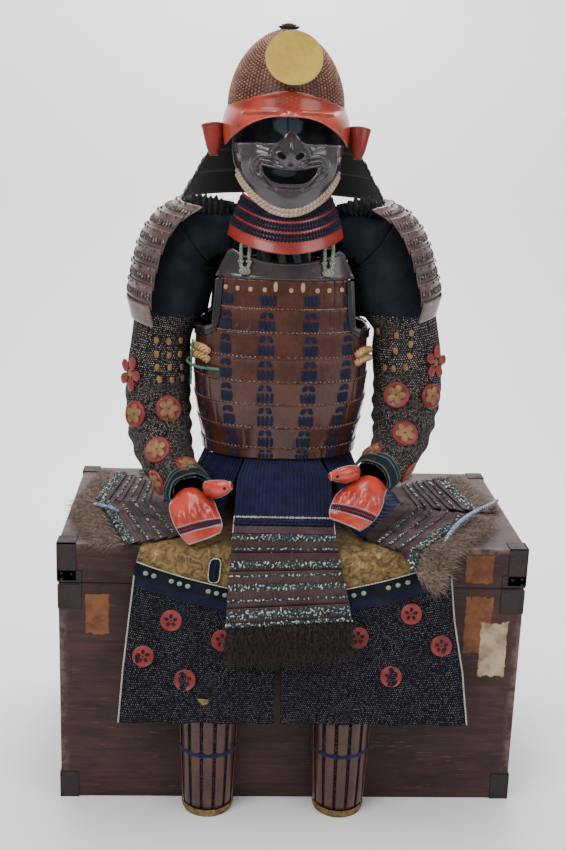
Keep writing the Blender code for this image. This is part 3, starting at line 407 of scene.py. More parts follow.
@dataclass(frozen=True)
class Crinkle:
    """Old gilt leather cloth: creased, darker in the sunken creases and lighter on the raised folds."""

    name: str
    colour: Colour
    bright: Colour
    dark: Colour

    def build(self) -> bpy.types.Material:
        """Makes the material."""
        s = Shader(self.name)
        crease = s.noise(55, 6, 0.68, warp=1.6)
        broad = s.noise(16, 4, 0.6, warp=0.7)
        fine = s.noise(330, 3, 0.6)
        # Darker where the crease relief is low, lighter where it is high and broad.
        tone = s.blend(crease.ramp(0.36, 0.58), self.dark, self.colour)
        tone = s.blend(crease.ramp(0.55, 0.70) * broad.ramp(0.35, 0.6), tone, self.bright)
        normal = s.bump(fine, 0.0003, 0.7, s.bump(crease, 0.0030, 0.9, s.bump(broad, 0.005, 0.6)))
        return s.done(tone, fine * 0.2 + 0.58, 0.0, 0.0, normal)


@dataclass(frozen=True)
class Hair:
    """Fur strands, darker and lighter by clumps."""

    name: str
    colour: Colour
    light: Colour

    def build(self) -> bpy.types.Material:
        """Makes the material."""
        s = Shader(self.name)
        clump = s.noise(160, 3, 0.6).ramp(0.35, 0.68)
        tone = s.blend(clump, self.colour, self.light)
        return s.done(tone, s.noise(90) * 0.2 + 0.55, 0.0, 0.0, s.bump(clump, 0.0003), sheen=0.05)


@dataclass(frozen=True)
class Paper:
    """What is left of old paper labels, blank and torn."""

    name: str
    colour: Colour
    stain: Colour

    def build(self) -> bpy.types.Material:
        """Makes the material, its edges torn by the piece's own UV."""
        s = Shader(self.name)
        u, v, _ = s.axes(uv=True)
        edge = (u * (u * -1.0 + 1.0) * 4.0).min(v * (v * -1.0 + 1.0) * 4.0)
        torn = (edge + (s.noise(70, 5, 0.7) - 0.5) * 0.75).ramp(0.10, 0.16)
        stain = s.noise(24, 5, 0.6).ramp(0.38, 0.66)
        tone = s.blend(stain, self.colour, self.stain)
        s.tree.links.new(torn.socket, s.surface.inputs["Alpha"])
        return s.done(tone, s.noise(120) * 0.2 + 0.7, 0.0, 0.0, s.bump(s.noise(90, 5), 0.0005))


# Finishes

RUSSET = Lacquer("russet_lacquer", (0.080, 0.030, 0.020), (0.18, 0.08, 0.05), rough=0.30, coat=0.3)
SCALE = Lacquer("scale_lacquer", (0.078, 0.025, 0.016), (0.150, 0.060, 0.038), rough=0.27, coat=0.38, wear=0.25)
RED = Lacquer("red_lacquer", (0.44, 0.056, 0.028), (0.52, 0.17, 0.11), rough=0.30, coat=0.45, wear=0.35)
HAND_RED = Lacquer("hand_lacquer", (0.56, 0.055, 0.030), (0.56, 0.16, 0.10), rough=0.28, coat=0.55, wear=0.15)
EAR_RED = Lacquer("ear_lacquer", (0.27, 0.030, 0.025), (0.40, 0.10, 0.08), rough=0.36, coat=0.2, wear=0.3)
THROAT_LACE = Braid("throat_lacing", (0.006, 0.006, 0.018), (0.015, 0.015, 0.038))
THROAT_RED = Lacquer("throat_lacquer", (0.34, 0.036, 0.030), (0.42, 0.11, 0.09), rough=0.32, coat=0.4, wear=0.3)
MASK_IRON = Lacquer("mask_iron", (0.048, 0.034, 0.037), (0.105, 0.078, 0.078), rough=0.24, coat=0.95,
                    wear=0.4, grain=26.0)
PLATE_IRON = Lacquer("plate_iron", (0.048, 0.032, 0.034), (0.12, 0.085, 0.080), rough=0.26, coat=0.5)
BLACK_IRON = Lacquer("black_iron", (0.018, 0.015, 0.017), (0.10, 0.085, 0.08), rough=0.20, coat=0.9, wear=0.3)
DARK_PLATE = Lacquer("dark_plate", (0.010, 0.008, 0.008), (0.045, 0.033, 0.030), rough=0.72, coat=0.0)
RIB = Lacquer("ribbed_plate", (0.078, 0.044, 0.040), (0.155, 0.10, 0.088), rough=0.42, coat=0.1)
# Shoulder guards: the pale greyish-pink worn colour, laid on at high wear, is partly rubbed lacquer and partly a
# painted highlight.
GUARD = Lacquer("guard_plate", (0.125, 0.075, 0.069), (0.36, 0.27, 0.25), rough=0.34, coat=0.35, wear=0.9)
DARK_IRON = Iron("dark_iron", (0.045, 0.042, 0.042), (0.08, 0.05, 0.035))
CHEST_IRON = Iron("chest_iron", (0.026, 0.021, 0.021), (0.042, 0.027, 0.022), metal=0.2, rough=0.6)
BOWL_IRON = Iron("bowl_iron", (0.060, 0.019, 0.013), (0.120, 0.036, 0.024), metal=0.2, rough=0.50)
STUD_IRON = Iron("stud_iron", (0.205, 0.095, 0.058), (0.36, 0.20, 0.125), metal=0.2, rough=0.42)
GILT = Iron("gilt", (0.49, 0.335, 0.048), (0.40, 0.275, 0.045), metal=0.0, rough=0.60, pits=420.0)
CHEST_WOOD = Timber("chest_wood", (0.036, 0.020, 0.019), (0.064, 0.031, 0.027), (0.145, 0.098, 0.082),
                    edges=(0.45, 0.24, 0.54, 0.022))
STAND_WOOD = Timber("stand_wood", (0.035, 0.022, 0.015), (0.06, 0.04, 0.025), (0.12, 0.08, 0.05), rough=0.6)
INDIGO = Weave("indigo_cloth", (0.007, 0.010, 0.014), (0.016, 0.024, 0.031))
BLACK_ROLL = Weave("black_roll", (0.005, 0.005, 0.006), (0.016, 0.016, 0.019), crumple=0.004)
MAIL = Mail("mail_cloth", (0.015, 0.013, 0.014), (0.56, 0.47, 0.41))
THIGH_MAIL = Mail("thigh_mail", (0.005, 0.006, 0.010), (0.185, 0.170, 0.180), pitch=0.0040)
NAVY = Braid("navy_lacing", (0.008, 0.009, 0.038), (0.018, 0.020, 0.078))
DARK_NAVY = Braid("dark_lacing", (0.009, 0.010, 0.032), (0.020, 0.022, 0.058))
GUARD_LACE = Braid("guard_lacing", (0.050, 0.040, 0.036), (0.120, 0.100, 0.085), fleck=(0.26, 0.20, 0.17))
MOTTLED = Braid("mottled_braid", (0.022, 0.032, 0.044), (0.052, 0.074, 0.080), strand=0.003,
                fleck=(0.42, 0.45, 0.38))
PALE_STITCH = Braid("pale_stitch", (0.42, 0.30, 0.32), (0.55, 0.45, 0.45))
TAN_TIE = Braid("tan_tie", (0.42, 0.26, 0.13), (0.55, 0.38, 0.22))
BEIGE = Braid("beige_cord", (0.38, 0.27, 0.20), (0.52, 0.40, 0.31), strand=0.004)
GREY_GREEN = Braid("grey_green_cord", (0.20, 0.21, 0.15), (0.34, 0.35, 0.26), strand=0.0035)
GREEN = Braid("green_cord", (0.055, 0.16, 0.105), (0.15, 0.27, 0.19), strand=0.003)
GOLD_CORD = Braid("gold_cord", (0.42, 0.23, 0.085), (0.60, 0.40, 0.19), strand=0.006)
PIPING = Braid("pale_piping", (0.36, 0.35, 0.31), (0.52, 0.51, 0.45), strand=0.003)
FUR = Hair("brown_fur", (0.105, 0.072, 0.055), (0.33, 0.245, 0.19))
DARK_FUR = Hair("dark_fur", (0.018, 0.012, 0.010), (0.055, 0.037, 0.030))
GOLD_CLOTH = Crinkle("gilt_cloth", (0.215, 0.140, 0.056), (0.42, 0.31, 0.14), (0.075, 0.048, 0.022))
ROSE_RED = Lacquer("roundel_red", (0.25, 0.030, 0.027), (0.38, 0.11, 0.09), rough=0.44, coat=0.15)
PETAL_GOLD = Iron("petal_gold", (0.29, 0.155, 0.062), (0.17, 0.080, 0.040), metal=0.1, rough=0.5)
LABEL_TAN = Paper("label_tan", (0.20, 0.085, 0.040), (0.10, 0.042, 0.024))
LABEL_PALE = Paper("label_pale", (0.42, 0.33, 0.22), (0.20, 0.13, 0.070))

_MADE: dict[str, bpy.types.Material] = {}


def material(finish) -> bpy.types.Material:
    """The material of a finish, made once."""
    if finish.name not in _MADE:
        _MADE[finish.name] = finish.build()
    return _MADE[finish.name]


# Building shapes

def mix(a, b, t):
    """The point t of the way from a to b."""
    return np.asarray(a, float) * (1 - t) + np.asarray(b, float) * t


def unit(v: Array) -> Array:
    """Rows of vectors, each made one long."""
    return v / np.linalg.norm(v, axis=1, keepdims=True)


def power(w, n: float):
    """A power that keeps the sign."""
    return np.sign(w) * np.abs(w) ** n


def table_at(table: Sequence[Sequence[float]], z, column: int):
    """A column of a small table, read at height z."""
    rows = sorted(table)
    return np.interp(z, [r[0] for r in rows], [r[column] for r in rows])


class Path:
    """A smooth curve through a few points, read by how far along it a place is."""

    def __init__(self, points: Sequence[Sequence[float]]) -> None:
        p = np.asarray(points, float)
        p = np.vstack([2 * p[0] - p[1], p, 2 * p[-1] - p[-2]])
        fine = []
        for k in range(1, len(p) - 2):
            a, b, c, d = p[k - 1:k + 3]
            for t in np.linspace(0, 1, 16, endpoint=(k == len(p) - 3)):
                fine.append(0.5 * (2 * b + (c - a) * t + (2 * a - 5 * b + 4 * c - d) * t ** 2
                                   + (3 * b - a - 3 * c + d) * t ** 3))
        self.fine = np.array(fine)
        step = np.linalg.norm(np.diff(self.fine[:, :3], axis=0), axis=1)
        self.run = np.concatenate([[0], np.cumsum(step)])

    @property
    def length(self) -> float:
        """The curve's length."""
        return float(self.run[-1])

    def at(self, t) -> Array:
        """Points at parts t, from 0 to 1, of the length."""
        far = np.atleast_1d(t) * self.run[-1]
        return np.stack([np.interp(far, self.run, self.fine[:, k]) for k in range(self.fine.shape[1])],
                        axis=1)

    def heading(self, t) -> Array:
        """Unit tangents at parts t of the length."""
        a, b = self.at(np.clip(np.atleast_1d(t) - 0.01, 0, 1)), self.at(np.clip(np.atleast_1d(t) + 0.01, 0, 1))
        d = (b - a)[:, :3]
        return d / np.maximum(np.linalg.norm(d, axis=1, keepdims=True), 1e-9)


def normals_of(p: Array, wrap: bool) -> Array:
    """Unit normals of a grid of points."""
    du = np.gradient(p, axis=1)
    if wrap:
        du[:, 0] = du[:, -1] = p[:, 1] - p[:, -2]
    n = np.cross(du, np.gradient(p, axis=0))
    size = np.linalg.norm(n, axis=2, keepdims=True)
    return n / np.where(size < 1e-12, 1.0, size)


Place = Callable[[Array, float], Array]
Lift = Callable[[Array, float], Array]


def lay_out(place: Place, cols: int, levels: Sequence[float], behind, wrap: bool = False,
            lift: Optional[Lift] = None) -> tuple[Array, Array]:
    """Points of a surface and its outward normals.

    Args:
        place: gives the points of a row from their u values and the row's v.
        cols: faces along a row.
        levels: v of every row.
        behind: a point on the hollow side, or a grid of them.
        wrap: whether a row closes into a ring.
        lift: metres the points stand out from the plain surface.

    Returns:
        The grid of points and the grid of normals.
    """
    u = np.linspace(0, 1, cols + 1)
    p = np.array([place(u, float(v)) for v in levels])
    n = normals_of(p, wrap)
    if np.sum(n * (p - np.asarray(behind, float))) < 0:
        n = -n
    if lift is not None:
        p = p + n * np.array([np.broadcast_to(lift(u, float(v)), u.shape) for v in levels])[..., None]
    return p, n


def mesh_from(bm: bmesh.types.BMesh) -> bpy.types.Mesh:
    """A mesh of what was shaped, which is then let go."""
    mesh = bpy.data.meshes.new("made")
    bm.to_mesh(mesh)
    bm.free()
    return mesh


def mesh_of_grid(p: Array, n: Array, wrap: bool = False, pole: bool = False) -> bpy.types.Mesh:
    """A mesh from a grid primitive whose points are placed, with a UV map in metres.

    Args:
        p: grid of points, rows by columns.
        n: grid of outward normals.
        wrap: whether the rows close.
        pole: whether the last row is one point.

    Returns:
        The mesh.
    """
    rows, cols = p.shape[0] - 1, p.shape[1] - 1
    bm = bmesh.new()
    bmesh.ops.create_grid(bm, x_segments=cols, y_segments=rows, size=0.5)
    along = np.linalg.norm(np.diff(p, axis=1), axis=2).sum(axis=1).mean()
    down = np.linalg.norm(np.diff(p, axis=0), axis=2).sum(axis=0).mean()
    uv = bm.loops.layers.uv.new("metres")
    spots = {}
    for vert in bm.verts:
        i, j = round((vert.co.x + 0.5) * cols), round((vert.co.y + 0.5) * rows)
        spots[vert] = (i, j)
    for face in bm.faces:
        face.smooth = True
        for loop in face.loops:
            i, j = spots[loop.vert]
            loop[uv].uv = (i / cols * along, j / rows * down)
    for vert, (i, j) in spots.items():
        vert.co = p[j, i]
    bm.normal_update()
    if sum(f.normal.dot(Vector(n[spots[f.verts[0]][1], spots[f.verts[0]][0]]))
           for f in list(bm.faces)[::7]) < 0:
        bmesh.ops.reverse_faces(bm, faces=bm.faces[:])
    if wrap or pole:
        bmesh.ops.remove_doubles(bm, verts=bm.verts[:], dist=2e-5)
    return mesh_from(bm)


def piece_of(name: str, mesh: bpy.types.Mesh, finish, slot: str, nodes: Sequence[str] = (),
             wall: float = 0.0, smooth: int = 0, sharp: float = 40.0) -> bpy.types.Object:
    """Links a mesh as a piece of the armour.

    Args:
        name: the piece's name.
        mesh: its mesh.
        finish: its finish, or several, by material index.
        slot: the record's material slot; not used.
        nodes: the CAD nodes that it stands for.
        wall: thickness of its wall, grown inwards.
        smooth: levels of subdivision.
        sharp: edges bent further than this many degrees stay sharp.

    Returns:
        The object.
    """
    mesh.name = name
    obj = bpy.data.objects.new(name, mesh)
    bpy.context.scene.collection.objects.link(obj)
    for one in (finish if isinstance(finish, (list, tuple)) else [finish]):
        mesh.materials.append(material(one))
    if wall:
        step = obj.modifiers.new("wall", "SOLIDIFY")
        step.thickness, step.offset = wall, -1.0
    if smooth:
        step = obj.modifiers.new("smooth", "SUBSURF")
        step.levels = step.render_levels = smooth
    mesh.shade_smooth()
    if sharp:
        mesh.set_sharp_from_angle(angle=math.radians(sharp))
    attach(obj, "root")
    if nodes:
        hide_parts(*nodes)
    LOG.info("%s: %d faces", name, len(mesh.polygons))
    return obj


def surface(name: str, place: Place, cols: int, levels, behind, finish, slot: str,
            nodes: Sequence[str] = (), wall: float = 0.0, wrap: bool = False, pole: bool = False,
            lift: Optional[Lift] = None, smooth: int = 0, shift=(0.0, 0.0, 0.0)) -> bpy.types.Object:
    """Makes a piece from one laid-out surface; see lay_out and piece_of for the arguments."""
    if isinstance(levels, int):
        levels = np.linspace(0, 1, levels + 1)
    p, n = lay_out(place, cols, levels, behind, wrap, lift)
    return piece_of(name, mesh_of_grid(p + np.asarray(shift), n, wrap, pole), finish, slot, nodes, wall,
                    smooth)


def joined(meshes: Sequence[bpy.types.Mesh]) -> bpy.types.Mesh:
    """One mesh of several, all of the first finish."""
    bm = bmesh.new()
    for mesh in meshes:
        bm.from_mesh(mesh)
    for face in bm.faces:
        face.material_index = 0
    return mesh_from(bm)


def turned(profile: Sequence[tuple[float, float]], steps: int = 40) -> bmesh.types.BMesh:
    """A shape turned about Z from a profile of radius and height."""
    bm = bmesh.new()
    verts = [bm.verts.new((r, 0.0, h)) for r, h in profile]
    edges = [bm.edges.new(pair) for pair in zip(verts, verts[1:])]
    bmesh.ops.spin(bm, geom=verts + edges, cent=(0, 0, 0), axis=(0, 0, 1), angle=TAU, steps=steps,
                   use_merge=True)
    bmesh.ops.remove_doubles(bm, verts=bm.verts[:], dist=1e-6)
    bmesh.ops.recalc_face_normals(bm, faces=bm.faces[:])
    return bm


class Template:
    """A small shape that is repeated many times in one mesh."""

    def __init__(self, bm: bmesh.types.BMesh) -> None:
        bmesh.ops.recalc_face_normals(bm, faces=bm.faces[:])
        bm.verts.index_update()
        self.points = np.array([v.co for v in bm.verts])
        self.faces = [[v.index for v in f.verts] for f in bm.faces]
        bm.free()

    @classmethod
    def cushion(cls, around: int = 8, rings: int = 6, square: float = 1.0) -> "Template":
        """A rounded pillow from -1 to 1 each way; square below 1 fills its corners."""
        bm = bmesh.new()
        bmesh.ops.create_uvsphere(bm, u_segments=around, v_segments=rings, radius=1.0)
        for vert in bm.verts:
            vert.co = Vector([math.copysign(abs(c) ** square, c) for c in vert.co])
        return cls(bm)

    @classmethod
    def dome(cls, around: int = 6) -> "Template":
        """A stud of radius 1 and height 1, open below."""
        bm = bmesh.new()
        bmesh.ops.create_uvsphere(bm, u_segments=around, v_segments=6, radius=1.0)
        below = [v for v in bm.verts if v.co.z < -0.1]
        bmesh.ops.delete(bm, geom=below, context="VERTS")
        return cls(bm)

    @classmethod
    def strand(cls, steps: int = 4) -> "Template":
        """A hair from z 0 to 1, three-sided and pointed."""
        bm = bmesh.new()
        bmesh.ops.create_cone(bm, cap_ends=True, segments=3, radius1=1.0, radius2=0.12, depth=1.0,
                              matrix=Matrix.Translation((0, 0, 0.5)))
        upright = [e for e in bm.edges if abs(e.verts[0].co.z - e.verts[1].co.z) > 0.5]
        bmesh.ops.subdivide_edges(bm, edges=upright, cuts=steps - 1)
        return cls(bm)

    def many(self, centres: Array, x_axes: Array, y_axes: Array, z_axes: Array,
             bend: Optional[Array] = None) -> bpy.types.Mesh:
        """Repeats the shape.

        Args:
            centres: n places.
            x_axes: n vectors that the shape's X becomes, and so on for y_axes and z_axes.
            bend: n vectors added in full at the shape's far end, growing with the square of z.

        Returns:
            One mesh, with a UV map in metres along the shape's X and Z.
        """
        q = self.points
        p = (centres[:, None, :] + q[None, :, 0:1] * x_axes[:, None, :] + q[None, :, 1:2] * y_axes[:, None, :]
             + q[None, :, 2:3] * z_axes[:, None, :])
        if bend is not None:
            p = p + (q[None, :, 2:3] ** 2) * bend[:, None, :]
        n, m = p.shape[:2]
        faces = [[i + k * m for i in f] for k in range(n) for f in self.faces]
        mesh = bpy.data.meshes.new("many")
        mesh.from_pydata(p.reshape(-1, 3).tolist(), [], faces)
        uv = mesh.uv_layers.new(name="metres")
        wide, tall = np.linalg.norm(x_axes, axis=1), np.linalg.norm(z_axes, axis=1)
        u = (q[None, :, 0] * wide[:, None] + np.arange(n)[:, None] * 0.013).reshape(-1)
        v = (q[None, :, 2] * tall[:, None]).reshape(-1)
        index = np.zeros(len(mesh.loops), dtype=np.int32)
        mesh.loops.foreach_get("vertex_index", index)
        uv.data.foreach_set("uv", np.stack([u[index], v[index]], axis=1).reshape(-1))
        flip = np.linalg.det(np.stack([x_axes[0], y_axes[0], z_axes[0]])) < 0
        if flip:
            mesh.flip_normals()
        return mesh


CUSHION = Template.cushion()
FULL_CUSHION = Template.cushion(10, 8, 0.75)
STUD = Template.dome()
STRAND = Template.strand()


def axes_at(place: Place, u, v: float, behind) -> tuple[Array, Array, Array, Array]:
    """Points of a surface with the unit directions across it, up it and out of it.

    Args:
        place: the surface.
        u: places along its row.
        v: the row.
        behind: a point on the hollow side.

    Returns:
        Points, across, up and out, one row each.
    """
    u = np.atleast_1d(np.asarray(u, float))
    e = 1e-3
    p = place(u, v)
    across = place(u + e, v) - place(u - e, v)
    up = place(u, v - e) - place(u, v + e)
    across = unit(across)
    out = np.cross(across, up)
    out = unit(out)
    sign = np.sign(np.sum(out * (p - np.asarray(behind, float)), axis=1, keepdims=True))
    out = out * np.where(sign == 0, 1, sign)
    up = np.cross(out, across)
    up *= np.where(np.sum(up * (place(u, v - e) - p), axis=1, keepdims=True) < 0, -1.0, 1.0)
    return p, across, up, out


def spaced(count: int) -> Array:
    """Middles of equal parts of a row."""
    return (np.arange(count) + 0.5) / count


def sewn(place: Place, u, v: float, behind, rise: float, wide: float, deep: float, tall: float,
         lean: float = 0.0, shift=(0, 0, 0)) -> bpy.types.Mesh:
    """Cushions sewn on a row of a surface.

    Args:
        place: the surface, with u, v and behind as for axes_at.
        rise: how far their middles are off the surface.
        wide: half their width.
        deep: their height above the middle.
        tall: half their length.
        lean: how far their ends slant up.
        shift: how far they move with the piece.

    Returns:
        Their mesh.
    """
    c, across, up, out = axes_at(place, u, v, behind)
    return CUSHION.many(c + shift + out * rise, across * wide + up * lean, out * deep, up * tall)


def petals(spot: Sequence[Array], first: float, far: float, wide: float, deep: float, tall: float,
           rise: float) -> bpy.types.Mesh:
    """Five cushions in a ring about a spot of a surface, pointing outwards.

    Args:
        spot: the point and its directions, from axes_at.
        first: turn of the first one, in radians.
        far: how far their middles are from the spot; wide, deep, tall and rise are as for sewn.

    Returns:
        Their mesh.
    """
    c, across, up, out = spot
    a = np.arange(5) / 5 * TAU + first
    ray = np.outer(np.sin(a), across[0]) + np.outer(np.cos(a), up[0])
    turn = np.outer(np.cos(a), across[0]) - np.outer(np.sin(a), up[0])
    high = np.tile(out, (5, 1))
    return FULL_CUSHION.many(c + ray * far + high * rise, turn * wide, high * deep, ray * tall)


def tube_surface(points: Sequence[Sequence[float]], across=(0.0, 1.0, 0.0)) -> tuple[Place, Path]:
    """A tube on a smooth curve; each point is x, y, z, half-width and half-depth (along `across`)."""
    path = Path(points)

    def place(u: Array, v: float) -> Array:
        c = path.at(v)[0]
        t = path.heading(v)[0]
        s = np.asarray(across, float) - t * np.dot(across, t)
        s /= np.linalg.norm(s)
        w = np.cross(t, s)
        a = u * TAU
        return c[:3] + np.outer(np.cos(a) * c[3], w) + np.outer(np.sin(a) * c[4], s)

    return place, path


def cord_mesh(points: Sequence[Sequence[float]], radius: float, steps: int, sides: int = 10,
              strands: int = 0, twist: float = 0.0, deep: float = 0.25, ends: float = 1.0) -> bpy.types.Mesh:
    """A round cord on a smooth curve, its strands twisted.

    Args:
        points: the curve's points.
        radius: the cord's radius.
        steps: faces along it.
        sides: faces round it.
        strands: twisted strands, or none.
        twist: turns along its whole length.
        deep: how deep the grooves between the strands are, as a part of the radius.
        ends: the radius at its ends, as a part of the radius.

    Returns:
        The mesh, closed at both ends.
    """
    path = Path([(*p[:3], radius, radius) for p in points])
    t = np.linspace(0, 1, steps + 1)
    centre, head = path.at(t)[:, :3], path.heading(t)
    side = np.cross(head[0], (0.3, 0.2, 0.9))
    sides_of = []
    for h in head:
        side = side - h * np.dot(side, h)
        side /= np.linalg.norm(side)
        sides_of.append(side.copy())
    side = np.array(sides_of)
    up = np.cross(head, side)
    a = np.linspace(0, TAU, sides + 1)
    size = np.full((len(t), len(a)), radius)
    if strands:
        size *= 1 - deep * np.abs(np.sin((a[None, :] + t[:, None] * twist * TAU) * strands / 2)) ** 3
    size *= (ends + (1 - ends) * np.minimum(1.0, np.sin(math.pi * t) * 6))[:, None]
    size[0] *= 0.02
    size[-1] *= 0.02
    p = (centre[:, None, :] + side[:, None, :] * (np.cos(a)[None, :] * size)[..., None]
         + up[:, None, :] * (np.sin(a)[None, :] * size)[..., None])
    n = p - centre[:, None, :]
    return mesh_of_grid(p, n, wrap=True)


def fur_mesh(roots: Array, along: Array, out: Array, length: float, seed: int, width: float = 0.0006,
             spread: float = 0.35, lie: float = 0.35) -> bpy.types.Mesh:
    """Hairs that grow from roots, lean along the hide and droop.

    Args:
        roots: where the hairs grow.
        along: unit vectors down the hide.
        out: unit vectors out of the hide.
        length: their usual length.
        seed: seed of the fixed random numbers.
        width: their thickness at the root.
        spread: how far they fan out sideways.
        lie: how far they stand off the hide.

    Returns:
        One mesh.
    """
    rng = np.random.default_rng(seed)
    n = len(roots)
    side = np.cross(along, out)
    clump = np.sin(roots @ np.array([310.0, 270.0, 190.0]))[:, None]
    lean = along + side * (rng.normal(0, spread, (n, 1)) + clump * 0.35) + out * np.abs(rng.normal(lie, 0.25, (n, 1)))
    lean = unit(lean)
    long = length * rng.uniform(0.55, 1.0, (n, 1))
    z = lean * long
    x = np.cross(z, out)
    x /= np.maximum(np.linalg.norm(x, axis=1, keepdims=True), 1e-9)
    y = np.cross(z, x)
    y /= np.maximum(np.linalg.norm(y, axis=1, keepdims=True), 1e-9)
    sag = -out * long * rng.uniform(0.1, 0.45, (n, 1)) + side * long * rng.normal(0, 0.18, (n, 1))
    return STRAND.many(roots, x * width * 1.3, y * width, z, sag)


# Levels of the solids that these pieces dress, in metres

GAP = 0.0003
AX, AY = -0.028, 0.020
HELM_X = -0.0325
RIM_Z, BOWL_H, BOWL_A, BOWL_B = 1.345, 0.145, 0.1105, 0.125
SQUARE = 2.5
ARM_TIP_Z, WAIST_Z = 0.928, 0.680
#         z     half-width half-depth
TORSO = [(0.640, 0.150, 0.118), (0.678, 0.154, 0.120), (0.700, 0.156, 0.122), (0.742, 0.164, 0.126),
         (0.789, 0.171, 0.129), (0.834, 0.173, 0.130), (0.882, 0.172, 0.129), (0.930, 0.170, 0.127),
         (0.975, 0.164, 0.125), (1.031, 0.156, 0.121), (1.100, 0.140, 0.112)]


def torso_row(turn, z, out: float = 0.0, back: float = 1.0) -> Array:
    """Points of the torso; turn 0 is the front (the back with back=-1), 90 degrees the side."""
    turn, z = np.broadcast_arrays(np.asarray(turn, float), np.asarray(z, float))
    a, b = table_at(TORSO, z, 1) + out, table_at(TORSO, z, 2) + out
    return np.stack([AX + a * power(np.sin(turn), 2 / SQUARE),
                     -back * (GAP * 0.7 + b * np.abs(np.cos(turn)) ** (2 / SQUARE)), z], axis=-1)


@dataclass
class Chest:
    """The armour chest: lacquered boards, corner irons, a hasp and scraps of labels."""

    half_w: float = 0.45
    half_d: float = 0.24
    height: float = 0.54
    seam: float = 0.46
    iron: float = 0.0016

    def plate(self, low, high) -> bpy.types.Mesh:
        """A thin iron plate between two corners, its edges rounded."""
        bm = bmesh.new()
        bmesh.ops.create_cube(bm, size=1.0)
        lo, hi = np.array(low, float), np.array(high, float)
        for vert in bm.verts:
            vert.co = Vector(lo + (np.array(vert.co) + 0.5) * (hi - lo))
        bmesh.ops.bevel(bm, geom=bm.edges[:], offset=0.0005, segments=2, profile=0.5, affect="EDGES",
                        material=-1)
        return mesh_from(bm)

    def irons(self) -> None:
        """Corner irons of lid and body, side hasps and their nails."""
        w, d, h, s, t = self.half_w, self.half_d, self.height, self.seam, self.iron
        plates: list[bpy.types.Mesh] = []
        nails: list[tuple[float, float, float, int]] = []
        for x in (-1, 1):
            for y in (-1, 1):
                for low, high in ((s + 0.006, h + t), (0.0, 0.055)):
                    plates.append(self.plate((x * w - 0.0005, y * (d + t) - y * 0.038, low),
                                             (x * (w + t), y * (d + t), high)))
                    plates.append(self.plate((x * (w + t) - x * 0.036, y * d - 0.0005 * y, low),
                                             (x * (w + t), y * (d + t), high)))
                plates.append(self.plate((x * (w + t) - x * 0.036, y * (d + t) - y * 0.038, h - 0.0004),
                                         (x * (w + t), y * (d + t), h + t)))
                for z in (h - 0.012, s + 0.018, 0.012, 0.044):
                    nails += [(x * (w - 0.026), y * (d + t), z, 1), (x * (w + t), y * (d - 0.028), z, 0)]
            for y in (-1, 1):
                mid = x * (w - 0.022)
                for low, high in ((s + 0.002, s + 0.026), (s - 0.052, s - 0.003)):
                    plates.append(self.plate((mid - 0.023, y * d - 0.0004 * y, low),
                                             (mid + 0.0225, y * (d + t), high)))
                    nails += [(mid + e, y * (d + t), z, 1) for e in (-0.015, 0.015)
                              for z in (low + 0.006, high - 0.006)]
            for z, tall in ((s + 0.040, 0.022), (s - 0.070, 0.012)):
                plates.append(self.plate((x * w, -0.055, z - tall), (x * (w + t), 0.055, z)))
        for y in (-1, 1):
            plates.append(self.plate((-0.030, y * d, s - 0.040), (0.030, y * (d + t), s + 0.052)))
        piece_of("chest_irons", joined(plates), CHEST_IRON, "dark_iron")
        c = np.array([n[:3] for n in nails])
        kinds = np.array([n[3] for n in nails])
        out = np.where(kinds[:, None] == 1, np.stack([0 * c[:, 0], np.sign(c[:, 1]), 0 * c[:, 0]], 1),
                       np.stack([np.sign(c[:, 0]), 0 * c[:, 0], 0 * c[:, 0]], 1))
        up = np.tile((0.0, 0.0, 1.0), (len(c), 1))
        piece_of("chest_nails", STUD.many(c, np.cross(up, out) * 0.0026, up * 0.0026, out * 0.0013),
                 CHEST_IRON, "dark_iron")

    def labels(self) -> None:
        """Blank scraps of old paper on the front."""
        y = -self.half_d
        for name, finish, x0, x1, z0, z1 in (
                ("label_left", LABEL_TAN, -0.400, -0.352, 0.352, 0.440),
                ("label_right_upper", LABEL_TAN, 0.330, 0.388, 0.468, 0.530),
                ("label_right_lower", LABEL_TAN, 0.335, 0.392, 0.318, 0.446),
                ("label_right_pale", LABEL_PALE, 0.368, 0.425, 0.270, 0.392)):
            deep = 0.0008 if finish is LABEL_PALE else 0.0004

            def place(u: Array, v: float) -> Array:
                wave = 0.00025 * np.sin(u * 9 + v * 7 + x0 * 40)
                return np.stack([x0 + (x1 - x0) * u, y - deep - 0.0003 - wave * 0.5,
                                 np.full_like(u, z1 + (z0 - z1) * v)], axis=1)
            p, n = lay_out(place, 14, np.linspace(0, 1, 19), (0, 0, 0.3))
            mesh = mesh_of_grid(p, n)
            for loop in mesh.uv_layers[0].data:
                loop.uv = (loop.uv[0] / abs(x1 - x0), loop.uv[1] / abs(z1 - z0))
            piece_of(name, mesh, finish, "chest_wood", sharp=0)

    def build(self) -> None:
        """Dresses the chest's nodes and adds its fittings."""
        for node in ("chest_body", "chest_lid"):
            dress(node, CHEST_WOOD)
        self.irons()
        self.labels()


def dress(node: str, finish) -> None:
    """Gives a carried-over node a finish."""
    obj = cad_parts[node]
    obj.data.materials.clear()
    obj.data.materials.append(material(finish))
    LOG.info("%s: finish %s", node, finish.name)


